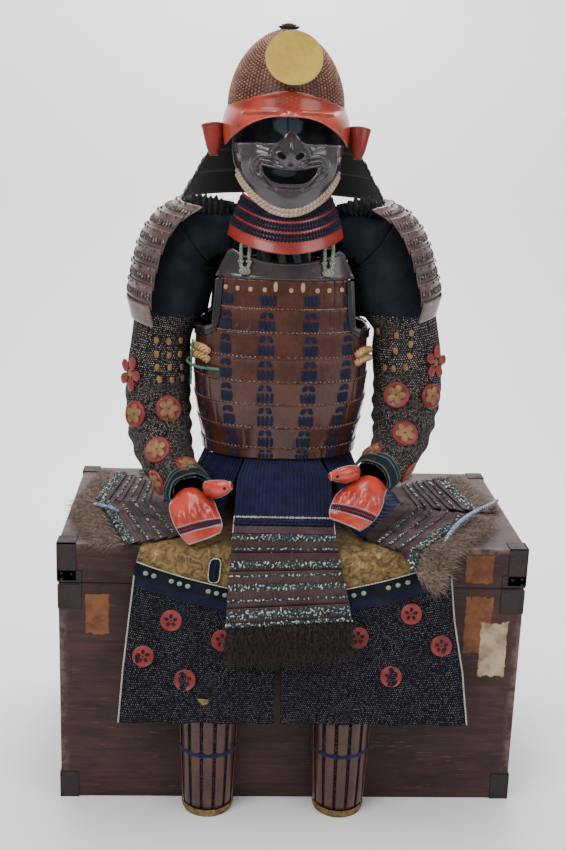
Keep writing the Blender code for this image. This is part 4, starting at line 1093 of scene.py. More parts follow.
@dataclass
class HeadForm:
    """The padded head inside the helmet, wrapped in dark cloth."""

    square: float = 3.2
    table: tuple = ((1.1783, 0.050, 0.050, 0.010), (1.205, 0.078, 0.070, 0.006), (1.235, 0.100, 0.085, 0.002),
                    (1.265, 0.1045, 0.093, 0.000), (1.295, 0.1035, 0.097, 0.000), (1.345, 0.094, 0.100, 0.000),
                    (1.390, 0.086, 0.096, 0.000), (1.425, 0.074, 0.085, 0.000), (1.454, 0.055, 0.063, 0.000),
                    (1.474, 0.034, 0.039, 0.000), (1.4866, 0.0020, 0.0020, 0.000))

    def build(self) -> None:
        """Makes the form as one closed pad, rippled all round; the steel-blue patch at its brow is a painted highlight
        in its cloth.
        """
        def place(u: Array, v: float) -> Array:
            z = 1.1783 + 0.3083 * v
            a, b, y = (table_at(self.table, z, k) for k in (1, 2, 3))
            t = u * TAU
            fold = 0.0012 * np.sin(t * 9 + z * 40) * np.sin(math.pi * v)
            return np.stack([HELM_X + np.maximum(a - 0.0015 + fold, 0.0002) * power(np.sin(t), 2 / self.square),
                             y - np.maximum(b - 0.0015 + fold, 0.0002) * power(np.cos(t), 2 / self.square),
                             np.full_like(u, z)], axis=1)
        levels = np.concatenate([np.linspace(0, 0.93, 34), [0.955, 0.975, 0.99, 1.0]])
        p, n = lay_out(place, 56, levels, (HELM_X, 0, 1.33), True)
        p[0], p[-1] = p[0].mean(axis=0), p[-1].mean(axis=0)
        p[0, :, 2] = 1.1786
        pad = piece_of("head_pad", mesh_of_grid(p, n, True, True), HEAD_CLOTH, "grey_cloth", ["head_form"],
                       sharp=0)


@dataclass(frozen=True)
class HeadClothWithPaintedHighlight:
    """Dark head cloth with a painted steel-blue highlight at the brow and a smaller painted highlight lower down, on
    the front only.
    """

    name: str = "head_cloth"

    def build(self) -> bpy.types.Material:
        """Makes the material."""
        s = Shader(self.name)
        x, y, z = s.axes()
        # spot: a painted steel-blue highlight round the brow, weaker in the middle, only on the front of the form
        along, level = (x - HELM_X) / 0.030, (z - 1.316) / 0.021
        spot = ((along * along + level * level) ** 0.5 + (s.noise(60, 3) - 0.5) * 0.5).ramp(0.75, 1.0, 1.0, 0.0)
        spot = spot * y.ramp(-0.02, -0.05) * (along.abs().ramp(0.03, 0.09) * 0.7 + 0.3)
        # lower: a second painted highlight, lower down, also only on the front
        low, deep = (x - HELM_X + 0.003) / 0.026, (z - 1.229) / 0.010
        lower = ((low * low + deep * deep) ** 0.5 + (s.noise(75, 3) - 0.5) * 0.9).ramp(0.6, 1.0, 0.8, 0.0)
        spot = spot.max(lower * y.ramp(-0.02, -0.05))
        weave = ((x * 1500.0).sin() * (z * 1500.0).sin()) * 0.5 + 0.5
        tone = s.blend(s.noise(40, 4).ramp(0.35, 0.7), (0.008, 0.010, 0.013), (0.022, 0.027, 0.032))
        # The painted highlights are laid over the dark cloth in steel blue.
        tone = s.blend(spot, tone, (0.115, 0.170, 0.215))
        fold = s.noise(50, 4, 0.6, warp=1.0)
        return s.done(tone, weave * 0.1 + 0.8, 0.0, 0.0, s.bump(weave, 0.0002, 0.6, s.bump(fold, 0.003, 0.8)),
                      sheen=0.2)


HEAD_CLOTH = HeadClothWithPaintedHighlight()


@dataclass
class Helmet:
    """Studded bowl, masked brim with brows, gold disc, crown ring, temple cups and neck guard."""

    columns: int = 88
    rings: int = 30
    disc_r: float = 0.0525
    disc_tilt: float = 25.0
    neck: tuple = ((1.344, 1.300, 0.1230, 0.1360, 96), (1.304, 1.258, 0.1470, 0.1560, 97),
                   (1.262, 1.214, 0.1730, 0.1790, 98), (1.218, 1.168, 0.1990, 0.2020, 99))

    @staticmethod
    def bowl_row(turn, t, out: float = 0.0) -> Array:
        """Points on the bowl: turn from the front, t from rim (0) to crown (1)."""
        turn, t = np.broadcast_arrays(np.asarray(turn, float), np.asarray(t, float))
        f = np.maximum(1.0 - np.clip(t, 0, 1) ** 2, 0.0) ** 0.56
        return np.stack([HELM_X + (BOWL_A * f + out) * np.sin(turn), -(BOWL_B * f + out) * np.cos(turn),
                         RIM_Z + BOWL_H * t + out * t], axis=-1)

    def bowl(self) -> None:
        """The bowl of narrow plates and its studs, in rows that step half a stud from plate to plate."""
        def place(u: Array, v: float) -> Array:
            return self.bowl_row(u * TAU, 1 - (1 - v) ** 1.5)
        p, n = lay_out(place, 176, np.linspace(0, 0.985, 40), (HELM_X, 0, RIM_Z), True,
                       lambda u, v: 0.0004 * np.abs(np.cos(u * math.pi * self.columns)) - 0.0004)
        p[-1] = p[-1].mean(axis=0)
        piece_of("bowl_shell", mesh_of_grid(p, n, True, True), BOWL_IRON, "russet_iron", ["helmet_bowl"],
                 wall=0.0022)
        arc = np.linspace(0, 1, 400)
        run = np.concatenate([[0], np.cumsum(np.linalg.norm(np.diff(self.bowl_row(0.5, arc), axis=0), axis=1))])
        spots, outs, sizes = [], [], []
        for k in range(self.rings * 2):
            t = float(np.interp((k / 2 + 0.5) / self.rings * run[-1] * 0.955, run, arc))
            f = max(1 - t ** 2, 0.0) ** 0.56
            turns = (np.arange(k % 2, self.columns, 2 if f > 0.42 else 4) + 0.5) / self.columns * TAU
            low, high = self.bowl_row(turns, t), self.bowl_row(turns, min(t + 0.01, 1.0))
            out = np.cross(self.bowl_row(turns + 0.01, t) - self.bowl_row(turns - 0.01, t), high - low)
            out = unit(out)
            out *= np.sign(np.sum(out * (low - np.array([HELM_X, 0, RIM_Z])), axis=1, keepdims=True))
            spots.append(low - out * 0.0003)
            outs.append(out)
            sizes.append(np.full(len(turns), 0.0018 + 0.0009 * min(1.0, f * (1 if f > 0.42 else 2))))
        c, out, size = np.vstack(spots), np.vstack(outs), np.concatenate(sizes)[:, None]
        x = np.cross(out, (0.0, 0.0, 1.0))
        x = unit(x)
        piece_of("bowl_studs", STUD.many(c, x * size, np.cross(out, x) * size, out * (size * 0.95)),
                 STUD_IRON, "russet_iron", sharp=0)

    def crown(self) -> None:
        """The crown ring: a ruff of small petals about a beaded hole."""
        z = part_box("helmet_crown")[0].z
        x = HELM_X + 0.001
        parts = []
        for count, radius, size, lift in ((14, 0.0165, 0.0052, 0.0028), (10, 0.0105, 0.0045, 0.0062)):
            a = np.arange(count) / count * TAU
            out = np.stack([np.sin(a), -np.cos(a), 0.35 + 0 * a], axis=1)
            out = unit(out)
            side = np.stack([np.cos(a), np.sin(a), 0 * a], axis=1)
            c = np.stack([x + radius * np.sin(a), -radius * np.cos(a), z + lift + 0 * a], axis=1)
            parts.append(FULL_CUSHION.many(c, side * size * 0.8, np.cross(out, side) * 0.0014, out * size))
        bm = turned([(0.0, 0.0), (0.0175, 0.0), (0.0185, 0.0018), (0.015, 0.0042), (0.009, 0.0062),
                     (0.0075, 0.0098), (0.0045, 0.0104), (0.0040, 0.0060), (0.0, 0.0060)], 32)
        bmesh.ops.translate(bm, verts=bm.verts[:], vec=(x, 0, z))
        piece_of("crown_ring", joined([mesh_from(bm), *parts]), DARK_IRON, "dark_iron", ["helmet_crown"])

    def brim_row(self, u: Array, v: float, out: float = 0.0027) -> Array:
        """The brim from its upper edge on the bowl (v 0) over the rim to its lower edge (v 1)."""
        turn = np.radians(mix(-86, 86, u))
        s = np.abs(np.sin(turn))
        z_top = 1.378 - 0.031 * s ** 1.6
        upper = self.bowl_row(turn, (z_top - RIM_Z) / BOWL_H, out)
        rim = self.bowl_row(turn, 0.0, out + 0.001)
        low = np.stack([HELM_X + 0.115 * 1.01 * np.sin(turn), -0.050 - 0.115 * np.cos(turn),
                        1.333 - 0.057 * s ** 2.6], axis=1)
        k = 0.30
        if v < k:
            return mix(upper, rim, v / k)
        w = (v - k) / (1 - k)
        push = np.stack([np.sin(turn), -np.cos(turn), np.full_like(turn, 0.35)], axis=1)
        return mix(rim, low, w) + push * (0.007 * math.sin(math.pi * w))

    def brim_relief(self, u: Array, v: float) -> Array:
        """Raised brows, the creases between them and the beads along both edges."""
        x = np.abs((u - 0.5) * 172 / 90)
        lift = 0.0016 * math.exp(-((v - 0.035) / 0.030) ** 2) + 0.0014 * math.exp(-((v - 0.975) / 0.028) ** 2)
        d = v - (0.76 - 0.24 * np.clip((x - 0.105) / 0.37, 0, 1) ** 1.2)
        span = np.clip((x - 0.085) / 0.04, 0, 1) * np.clip((0.50 - x) / 0.05, 0, 1)
        brow = np.where(d < 0, np.exp(-(d / 0.115) ** 2), np.exp(-(d / 0.040) ** 4)) * span ** 0.6
        edge = np.exp(-((d - 0.075) / 0.028) ** 2) * span
        crease = 0
        for place, slope in ((0.022, 0.06), (0.062, 0.12)):
            crease = crease + np.exp(-((x - place - slope * (0.78 - v)) / 0.012) ** 2) * math.exp(
                -((v - 0.62) / 0.16) ** 2)
        boss = np.exp(-(x / 0.03) ** 2) * math.exp(-((v - 0.56) / 0.13) ** 2)
        return lift + 0.0046 * brow - 0.0012 * edge - 0.0022 * crease + 0.0018 * boss

    def brim(self) -> None:
        """The red brim with its embossed brows."""
        surface("brim_plate", self.brim_row, 150, 46, (HELM_X, 0.0, 1.36), RED, "red_lacquer",
                ["helmet_brim"], wall=0.0018, lift=self.brim_relief, shift=(0, 0.00058, 0))

    def disc(self) -> None:
        """The gold disc on its holder."""
        low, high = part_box("crest_disc")
        centre = (low + high) / 2
        bm = turned([(0.0, -0.0011), (self.disc_r - 0.001, -0.0011), (self.disc_r, -0.0004),
                     (self.disc_r, 0.0006), (self.disc_r - 0.0008, 0.0013), (self.disc_r - 0.0024, 0.0010),
                     (0.0, 0.0012)], 72)
        bmesh.ops.transform(bm, verts=bm.verts[:], matrix=Matrix.Translation(centre) @ Matrix.Rotation(
            math.pi / 2 - math.radians(self.disc_tilt), 4, "X"))
        piece_of("gold_disc", mesh_from(bm), GILT, "gilt", ["crest_disc"], sharp=30)
        dress("crest_holder", DARK_IRON)

    def cups(self) -> None:
        """The temple cups, narrow below and flaring up and out."""
        for side in Side:
            s = side.value
            x, moved = {-1: (-0.166, -0.00296), 1: (0.102, 0.00197)}[s]
            tube, line = tube_surface([(x, -0.056, 1.256, 0.008, 0.006), (x + s * 0.001, -0.053, 1.274, 0.014, 0.012),
                                       (x + s * 0.002, -0.049, 1.294, 0.018, 0.016),
                                       (x + s * 0.004, -0.044, 1.312, 0.0205, 0.019)])
            surface(f"temple_cup_{side.mark}", tube, 40, 18, line.at(0.5)[0][:3], EAR_RED, "red_lacquer",
                    [f"ear_{side.mark}"], wall=0.002, wrap=True, shift=(moved, 0, 0),
                    lift=lambda u, v: 0.0010 * math.exp(-((v - 0.98) / 0.03) ** 2) + 0 * u)

    def neck_guard(self) -> None:
        """Four laced lames about the back of the neck."""
        a0, b0 = 0.1080, 0.1220
        for k, (z0, z1, a1, b1, half) in enumerate(self.neck):
            up = 0.00045 if k == 0 else 0.0

            def place(u: Array, v: float, a0=a0, b0=b0, a1=a1, b1=b1, z0=z0, z1=z1, half=half) -> Array:
                t = np.radians(mix(-half, half, u))
                return np.stack([HELM_X + mix(a0, a1, v) * np.sin(t), mix(b0, b1, v) * np.cos(t),
                                 np.full_like(u, mix(z0, z1, v))], axis=1)
            ribs = int(170 + 30 * k)
            surface(f"neck_lame_{k + 1}", place, ribs * 2, 8, (HELM_X, 0, 1.25), DARK_PLATE,
                    "dark_laced_iron", [f"neck_guard_{k + 1}"], wall=0.0020, shift=(0, 0, up),
                    lift=lambda u, v, ribs=ribs: 0.0003 * np.cos(u * TAU * ribs / 2) - 0.0003)
            rows = []
            for v, tall, wide in ((0.40, 0.0072, 0.0034), (0.66, 0.0072, 0.0034), (0.88, 0.0032, 0.0030)):
                count = int((a1 + b1) * 1.62 / wide / 2)
                u = (np.arange(count) + 0.5) / count
                c, across, upward, out = axes_at(place, u, v, (HELM_X, 0, 1.25))
                tilt = np.where(np.arange(count) % 2 == 0, 0.35, -0.15)[:, None]
                rows.append(CUSHION.many(c + out * 0.0008 + (0, 0, up), across * wide, out * 0.0024,
                                         (upward + across * tilt) * tall))
            piece_of(f"neck_lacing_{k + 1}", joined(rows), GUARD_LACE, "dark_laced_iron", sharp=0)
            if k < 3:
                z_next, low_next, a_next, *_ = self.neck[k + 1]
                t = (z0 - z_next) / (z0 - z1)
                slope = math.hypot(1.0, (a_next - a1) / (z_next - low_next))
                a0, b0 = (float(mix(s, e, t)) + 0.0020 * slope + GAP + 0.0001
                          for s, e in ((a0, a1), (b0, b1)))

    def build(self) -> None:
        """Makes the whole helmet."""
        self.bowl()
        self.crown()
        self.brim()
        self.disc()
        self.cups()
        self.neck_guard()


@dataclass
class Face:
    """The half mask, its chin cord and the laced throat guard."""

    a: float = 0.1045
    b: float = 0.100
    y: float = -0.052
    back: float = -0.00216
    mouth_half: float = 0.049

    def mask_row(self, u: Array, v: float) -> Array:
        """Points of the mask: u across it, v from its top edge to its chin."""
        turn = (u * 2 - 1) * math.pi / 2
        x = self.a * np.sin(turn)
        r = np.abs(x) / self.a
        z_top = self.top_edge(x)
        z_low = 1.169 + 0.071 * r ** 2.2
        z = z_top * (1 - v) + z_low * v
        deep = self.b * (1 - 0.13 * v ** 3)
        y = self.y - deep * np.maximum(np.cos(turn), 0.0) ** 0.85
        nose = np.exp(-(x / 0.015) ** 2) * np.maximum(0.0, 1 - ((z - 1.275) / 0.034) ** 2) * 0.024
        lips = np.exp(-(x / 0.055) ** 4) * np.exp(-((z - 1.227) / 0.030) ** 2) * 0.008
        return np.stack([HELM_X + 0.004 + x * (1 - 0.05 * v ** 2), y - nose - lips + self.back, z], axis=1)

    def relief(self, p: Array) -> Array:
        """Sculpted depth at the mask's points: nostrils' wings, cheek folds, lips and chin."""
        x, z = p[..., 0] - HELM_X - 0.004, p[..., 2]
        s = np.abs(x)

        def ridge(d, wide: float):
            return np.exp(-(d / wide) ** 2)

        def step(w, low: float, high: float):
            return np.clip((w - low) / (high - low), 0, 1)

        wing = ridge(np.hypot(s - 0.0225, (z - 1.267) * 0.95), 0.0105) * 0.0085
        bridge = ridge(s, 0.006) * step(z, 1.262, 1.280) * 0.0020
        groove = ridge(np.hypot(s - 0.0225, z - 1.267) - 0.0135, 0.0026) * step(s, 0.016, 0.026) * -0.0030
        cheek = ridge(np.hypot((s - 0.064) / 1.15, z - 1.258), 0.018) * 0.0050
        edge = self.mouth_edge(s, z)
        near = step(s, 0.018, 0.036)
        fold = ridge(edge - 0.0036, 0.0028) * (0.0034 + 0.0016 * near)
        fold = fold + ridge(edge - 0.0115, 0.0036) * near * 0.0040
        fold = fold + ridge(edge - 0.0195, 0.0032) * near * step(z, 1.222, 1.240) * 0.0030
        fold = fold - (ridge(edge - 0.0076, 0.0017) + ridge(edge - 0.0156, 0.0015)) * near * 0.0020
        curl = ridge(np.hypot(s - 0.054, (z - 1.284) * 1.3) - 0.0085, 0.0020) * step(z, 1.278, 1.284) * 0.0018
        curl = curl + ridge(z - 1.2765 - 0.30 * (s - 0.054), 0.0017) * ridge(s - 0.052, 0.014) * 0.0016
        chin = ridge(np.hypot(x / 1.7, z - 1.186), 0.015) * 0.0055
        crease = ridge(z - 1.2015 - 3.6 * x ** 2, 0.0028) * ridge(x, 0.034) * -0.0028
        jaw = ridge(s - 0.086, 0.0035) * ridge(z - 1.250, 0.020) * 0.0020
        brow = ridge(s, 0.0016) * ridge(z - 1.294, 0.014) * 0.0016
        top = ridge(z - self.top_edge(x) + 0.0012, 0.0016) * 0.0012
        return wing + bridge + groove + cheek + fold + curl + chin + crease + jaw + brow + top

    def top_edge(self, x):
        """Height of the mask's upper edge."""
        r = np.abs(x) / self.a
        return 1.286 + 0.024 * np.exp(-(x / 0.016) ** 2) - 0.006 * r ** 6

    def mouth_edge(self, s, z):
        """Roughly how far a point is outside the mouth's opening."""
        t = np.minimum(s / self.mouth_half, 1.0)
        up, low = 1.2370 + 0.0075 * t ** 1.5, 1.2145 + 0.0235 * t ** 4
        mid, half = (up + low) / 2, np.maximum((up - low) / 2, 0.0)
        d = np.abs(z - mid) - half
        return np.where(s > self.mouth_half, np.hypot(s - self.mouth_half, d), np.maximum(d, -0.01))

    def mask(self) -> None:
        """The mask, cut open at the mouth and the nostrils."""
        p, n = lay_out(self.mask_row, 190, np.linspace(0, 1, 111), (HELM_X, 0.0, 1.24))
        p = p + n * self.relief(p)[..., None]
        mesh = mesh_of_grid(p, n)
        bm = bmesh.new()
        bm.from_mesh(mesh)
        gone = []
        for face in bm.faces:
            c = face.calc_center_median()
            s, z = abs(c.x - HELM_X - 0.004), c.z
            inside = s < self.mouth_half and float(self.mouth_edge(np.float64(s), np.float64(z))) < -0.0003
            a, b = s - 0.0172, z - 1.2650
            nostril = ((a * 0.77 + b * 0.64) / 0.0082) ** 2 + ((b * 0.77 - a * 0.64) / 0.0046) ** 2 < 1
            if inside or nostril:
                gone.append(face)
        bmesh.ops.delete(bm, geom=gone, context="FACES")
        rim = [v for v in bm.verts if v.is_boundary and abs(v.co.x - HELM_X - 0.004) < 0.06
               and 1.205 < v.co.z < 1.275]
        for _ in range(3):
            bmesh.ops.smooth_vert(bm, verts=rim, factor=0.5, use_axis_x=True, use_axis_y=True, use_axis_z=True)
        bm.to_mesh(mesh)
        bm.free()
        obj = piece_of("mask_face", mesh, MASK_IRON, "mask_iron", ["mask"], wall=0.0028, sharp=60)
        obj.modifiers["wall"].use_rim = True

    def hooks(self) -> None:
        """The two small cord hooks on the cheeks and the pegs under the chin."""
        for side in Side:
            s = side.value
            x = HELM_X + 0.004 + s * 0.085
            y = self.y - 0.052
            pts = [(x, y + 0.012, 1.236), (x, y - 0.004, 1.234), (x, y - 0.009, 1.239), (x, y - 0.009, 1.247),
                   (x + s * 0.001, y - 0.006, 1.251)]
            piece_of(f"cheek_hook_{side.mark}", cord_mesh(pts, 0.0017, 18, 8), MASK_IRON, "mask_iron", sharp=0)

    def cord(self) -> None:
        """The thick doubled cord under the chin: two strands side by side, their ends tucked up."""
        radius = 0.0075
        u = (np.linspace(-0.86, 0.86, 9) + 1) / 2
        jaw = self.mask_row(u, 1.0) + (0, 0.003, -radius - 0.002 + 0.00139)
        path, t = Path(jaw), np.linspace(0, 1, 40)
        line = path.at(t)
        strands = []
        for turn in (-1.0, 1.0):
            wave = turn * (0.0041 + 0.0007 * np.sin(t * 19 + turn))
            pts = line + np.stack([0 * t, -0.0012 - 0.0008 * np.cos(t * 23 * turn), wave], axis=1)
            strands.append(cord_mesh(pts, 0.0047, 120, 14, strands=6, twist=2.0, deep=0.10, ends=0.85))
        obj = piece_of("chin_cord_strands", joined(strands), BEIGE, "beige_cord", ["chin_cord"], sharp=0)
        path.length

    def throat(self) -> None:
        """Four laced lames in a U under the jaw, each with a red edge; the last is plain red."""
        levels = [0.0, 0.28, 0.52, 0.76, 1.0]

        def place(u: Array, t: float) -> Array:
            w = np.radians(mix(-84, 84, u))
            a, b = mix(0.082, 0.112, t), mix(0.070, 0.105, t)
            return np.stack([AX - 0.001 + a * np.sin(w), -0.045 - 0.01159 - b * np.cos(w),
                             mix(1.165, 1.089, t) + 0.024 * np.sin(w) ** 2], axis=1)
        behind = (AX, 0, 1.14)
        plates, lacing = [], []
        for k in range(4):
            t0, t1 = levels[k], levels[k + 1]

            def strip(u: Array, v: float, t0=t0, t1=t1) -> Array:
                return place(u, t0 + (t1 - t0 + 0.03) * v)
            p, n = lay_out(strip, 60, np.linspace(0, 1, 13), behind, lift=lambda u, v: np.full_like(
                u, 0.0030 * (1 - v) + 0.0008 * math.exp(-((v - 0.04) / 0.05) ** 2)))
            plates.append(mesh_of_grid(p, n))
            if k == 3:
                continue
            for low, high in ((0.20, 0.58), (0.58, 0.96)):
                tall = (t1 - t0) * 0.078 * (high - low) * 0.60
                lacing.append(sewn(strip, spaced(46), (low + high) / 2, behind, 0.0034, 0.0034, 0.0016, tall,
                                   0.0012))
        piece_of("throat_plates", joined(plates), THROAT_RED, "red_lacquer", ["throat_guard"], wall=0.0016)
        piece_of("throat_lacing", joined(lacing), THROAT_LACE, "navy_lacing", sharp=0)

    def build(self) -> None:
        """Makes the mask and what hangs from it."""
        self.mask()
        self.hooks()
        self.cord()
        self.throat()


#        upper edge of the front half; upper edge and half width between the armholes of each half
FRONT_TOP = 1.031
HALVES = {1.0: (FRONT_TOP, 0.134), -1.0: (1.045, 0.138)}


@dataclass
class Cuirass:
    """Rows of lacquered scales, their lacing, the iron plates above them, straps and cords."""

    rows: tuple = (1.031, 0.975, 0.930, 0.882, 0.834, 0.789, 0.742, 0.700, 0.678)
    scale: float = 0.0250
    stand_out: float = 0.0020
    #      turn in degrees at the top row and at the waist of each laced column
    columns: tuple = ((-38.5, -31.0), (-8.0, -7.3), (13.7, 11.5), (46.5, 35.0), (-62.5, -58.5), (66.0, 56.0))

    @staticmethod
    def reach(z: float, narrow: float) -> float:
        """How far round a panel reaches: to the side below the armhole, narrower above it."""
        if z <= ARM_TIP_Z:
            return math.pi / 2
        part = min(1.0, (z - ARM_TIP_Z) / 0.012) ** 0.5
        wide = float(table_at(TORSO, z, 1))
        half = wide * (1 - part) + (narrow - 0.008 * (z - ARM_TIP_Z) / 0.1) * part
        return math.asin(min(1.0, (half / wide) ** (SQUARE / 2)))

    def row_place(self, top: float, low: float, narrow: float, back: float) -> Place:
        """One row's plain surface, reaching a little under the row below it."""
        def place(u: Array, v: float) -> Array:
            z = top + (low - top) * v
            far = self.reach(z, narrow)
            return torso_row((u * 2 - 1) * far, np.full_like(u, z), 0.0, back)
        return place

    def panel(self, name: str, back: float, node: str) -> None:
        """One half of the cuirass.

        Args:
            name: the piece's name.
            back: 1 for the front half, -1 for the back.
            node: the CAD node it stands for.
        """
        top, narrow = HALVES[back]
        levels = (top, *self.rows[1:])
        meshes = []
        for k in range(8):
            z0, z1 = levels[k], levels[k + 1]
            last = k == 7
            under = 0.0 if last else 0.004
            far = self.reach(z0 - 0.001, narrow)
            half = float(table_at(TORSO, (z0 + z1) / 2, 1)) * math.sin(min(far, 1.2)) * 1.12
            count = max(8, int(round(half * 2 / self.scale)))
            phase = 0.5 * (k % 2)

            def lift(u: Array, v: float, count=count, phase=phase, z0=z0, z1=z1, last=last) -> Array:
                part = (u * count + phase) % 1.0
                joint = np.exp(-(np.minimum(part, 1 - part) / 0.045) ** 2)
                step = 0.0005 * (part - 0.5)
                down = 0.0 if last else 1.0
                body = self.stand_out * (1 - v * down) + 0.0005 * math.exp(-((v - 0.07) / 0.05) ** 2)
                return body + 0.0005 * np.sin(math.pi * part) ** 0.6 + step - 0.0006 * joint

            base = self.row_place(z0, z1 - under, narrow, back)

            def place(u: Array, v: float, base=base, count=count, phase=phase, z0=z0) -> Array:
                p = base(u, v)
                part = (u * count * 2 + phase) % 1.0
                crown = 0.0022 * (1 - np.abs(2 * part - 1) ** 2.2) - 0.0012
                p[:, 2] += crown * max(0.0, 1 - v * 7) * (0 if z0 == top else 1)
                return p
            cols = count * 12
            p, n = lay_out(place, cols, np.array([0, 0.03, 0.07, 0.12, 0.2, 0.35, 0.55, 0.75, 0.9, 1.0]),
                           (AX, 0, (z0 + z1) / 2), lift=lift)
            n[:, [0, -1], 1] = 0
            meshes.append(mesh_of_grid(p, n))
        piece_of(name, joined(meshes), SCALE, "brown_lacquer", [node], wall=0.0018, sharp=50)

    @staticmethod
    def around(side: float) -> Place:
        """The plain surface of one half: its turn across, and the drop from the front's upper edge."""
        return lambda u, v: torso_row(u, np.full_like(u, FRONT_TOP - v), 0.0, side)

    def lacing(self) -> None:
        """Navy braids in columns: two short ovals and four long braids on every row."""
        rows = []
        for side in (1.0, -1.0):
            for top_turn, low_turn in self.columns:
                for k in range(8):
                    z0, z1 = self.rows[k], self.rows[k + 1]
                    far = abs(top_turn) > 60
                    if far and z0 > 0.90:
                        continue
                    for v, tall, wide, spots in ((0.24, 0.0062, 0.0054, (-0.0056, 0.0056)),
                                                 (0.69, 0.0105, 0.0036, (-0.0096, -0.0032, 0.0032, 0.0096))):
                        if k == 0 and v < 0.5:
                            continue
                        z = z0 + (z1 - z0) * v
                        t = np.radians(mix(top_turn, low_turn, (self.rows[0] - z) / 0.353))
                        turns = t + np.array(spots) * (0.6 if far else 1.0) / 0.155
                        c, across, up, out = axes_at(self.around(side), turns, FRONT_TOP - z, (AX, 0, z))
                        lean = np.sign(np.array(spots))[:, None] * (-0.35 if v < 0.5 else 0.05)
                        rise = self.stand_out * (1 - v) + (0.0018 if k == 0 else 0.0012)
                        rows.append(FULL_CUSHION.many(c + out * rise, across * wide * (0.6 if far else 1.0),
                                                      out * 0.0022,
                                                      (up + across * lean) * tall * min(1.0, (z0 - z1) / 0.046)))
        piece_of("cuirass_lacing", joined(rows), DARK_NAVY, "navy_lacing", sharp=0)

    def ties(self) -> None:
        """Tan ties along the top row and dark stitches along the row edges."""
        turns = np.radians(np.array([-47, -40.5, -29.5, -19.5, -10, -4, 2, 8, 17.5, 26.5, 38, 47]))
        c, across, up, out = axes_at(self.around(1.0), turns, 0.018, (AX, 0, 1.02))
        high = np.isin(np.arange(len(turns)), (5, 7))[:, None]
        ties = FULL_CUSHION.many(c + out * 0.0026 + up * np.where(high, 0.006, 0.0), across * 0.0042,
                                 out * 0.0022, up * np.where(high, 0.0095, 0.0046))
        piece_of("top_ties", ties, TAN_TIE, "beige_cord", sharp=0)
        stitches = []
        for k in range(1, 8):
            for side in (1.0, -1.0):
                z = self.rows[k] + 0.0010
                far = self.reach(z, 0.134) * 0.985
                count = 58
                u = (spaced(count) * 2 - 1) * far
                c, across, up, out = axes_at(self.around(side), u, FRONT_TOP - z, (AX, 0, z))
                lean = np.where(np.arange(count) % 2 == 0, 0.8, -0.8)[:, None]
                stitches.append(CUSHION.many(c + out * 0.0024 + up * 0.0010, across * 0.0021 + up * 0.0013 * lean,
                                             out * 0.0008, up * 0.0010))
        piece_of("row_stitches", joined(stitches), EDGE_STITCH, "brown_lacquer", sharp=0)

    def plates(self) -> None:
        """The chest and back plates with their rolled rims, and the armhole rims."""
        for name, node, back, low, dip, rise, narrow, drop in (
                ("breast_iron", "chest_plate", 1.0, 1.0315, 1.064, 1.094, 0.132, 0.00004),
                ("back_iron", "back_plate", -1.0, 1.0455, 1.100, 1.118, 0.136, 0.00015)):
            def place(u: Array, v: float, back=back, low=low, dip=dip, rise=rise, narrow=narrow,
                      drop=drop) -> Array:
                s = u * 2 - 1
                v = 1 - v
                top = dip + (rise - dip) * np.abs(s) ** 1.6
                corner = 0.017 * np.clip((np.abs(s) - 0.80) / 0.20, 0, 1) ** 2.5
                z = low + GAP + (top - corner - low) * v
                wide = float(table_at(TORSO, low, 1))
                far = math.asin(min(1.0, (narrow * (1 - 0.10 * v) / wide) ** (SQUARE / 2)))
                p = torso_row(s * far, z, 0.002, back)
                p[:, 2] = z + drop
                return p

            def rim(u: Array, v: float) -> Array:
                s = np.abs(u * 2 - 1)
                band = math.exp(-((v - 0.055) / 0.050) ** 2) * 0.0026
                sides = np.exp(-((s - 0.975) / 0.020) ** 2) * 0.0026
                foot = math.exp(-((v - 0.90) / 0.035) ** 2) * 0.0010
                return np.maximum(band, sides) + foot
            surface(name, place, 110, 30, (AX, 0, 1.06), PLATE_IRON, "mask_iron", [node], wall=0.0030, lift=rim)
        for side in Side:
            for back in (1.0, -1.0):
                self.armhole(side, back)

    def armhole(self, side: Side, back: float) -> None:
        """A smooth black plate with a raised rim along one armhole, from the strap to the armpit."""
        top, narrow = HALVES[back]
        zs = np.concatenate([np.linspace(top - 0.002, ARM_TIP_Z + 0.012, 12),
                             ARM_TIP_Z + np.array([0.006, 0.0025, 0.0008, -0.0005])])
        turns = np.array([self.reach(float(z), narrow) - 0.004 for z in zs[:-1]] + [math.radians(80)])
        low = np.clip((ARM_TIP_Z + 0.035 - zs) / 0.035, 0, 1)
        steps = np.linspace(0, 1, len(zs))

        def place(u: Array, v: float) -> Array:
            turn, z, w = (float(np.interp(v, steps, a)) for a in (turns, zs, low))
            return torso_row(side.value * (turn - 0.115 * (1 - 0.75 * w) * u), z - 0.017 * w * u, 0.0066, back)
        mark = f"{'front' if back > 0 else 'back'}_{side.mark}"
        surface(f"armhole_iron_{mark}", place, 12, 60, (AX, 0, 0.98), BLACK_IRON, "mask_iron", wall=0.0012,
                lift=lambda u, v: 0.0016 * np.exp(-((u - 0.10) / 0.13) ** 2) - 0.0008 * u)
        rim = [torso_row(side.value * t, z, 0.0070, back) for t, z in zip(turns, zs)]
        piece_of(f"armhole_rim_{mark}", cord_mesh(rim, 0.0020, 90, 8), PLATE_IRON, "mask_iron", sharp=0)

    def straps(self) -> None:
        """Iron shoulder straps, the doubled cords tied to them, and the side cords."""
        for side in Side:
            s = side.value
            path = Path([(-0.111, 1.094, 0), (-0.102, 1.120, 0), (-0.066, 1.152, 0), (-0.010, 1.166, 0),
                         (0.050, 1.166, 0), (0.100, 1.148, 0), (0.122, 1.112, 0)])
            mid = AX + s * 0.074

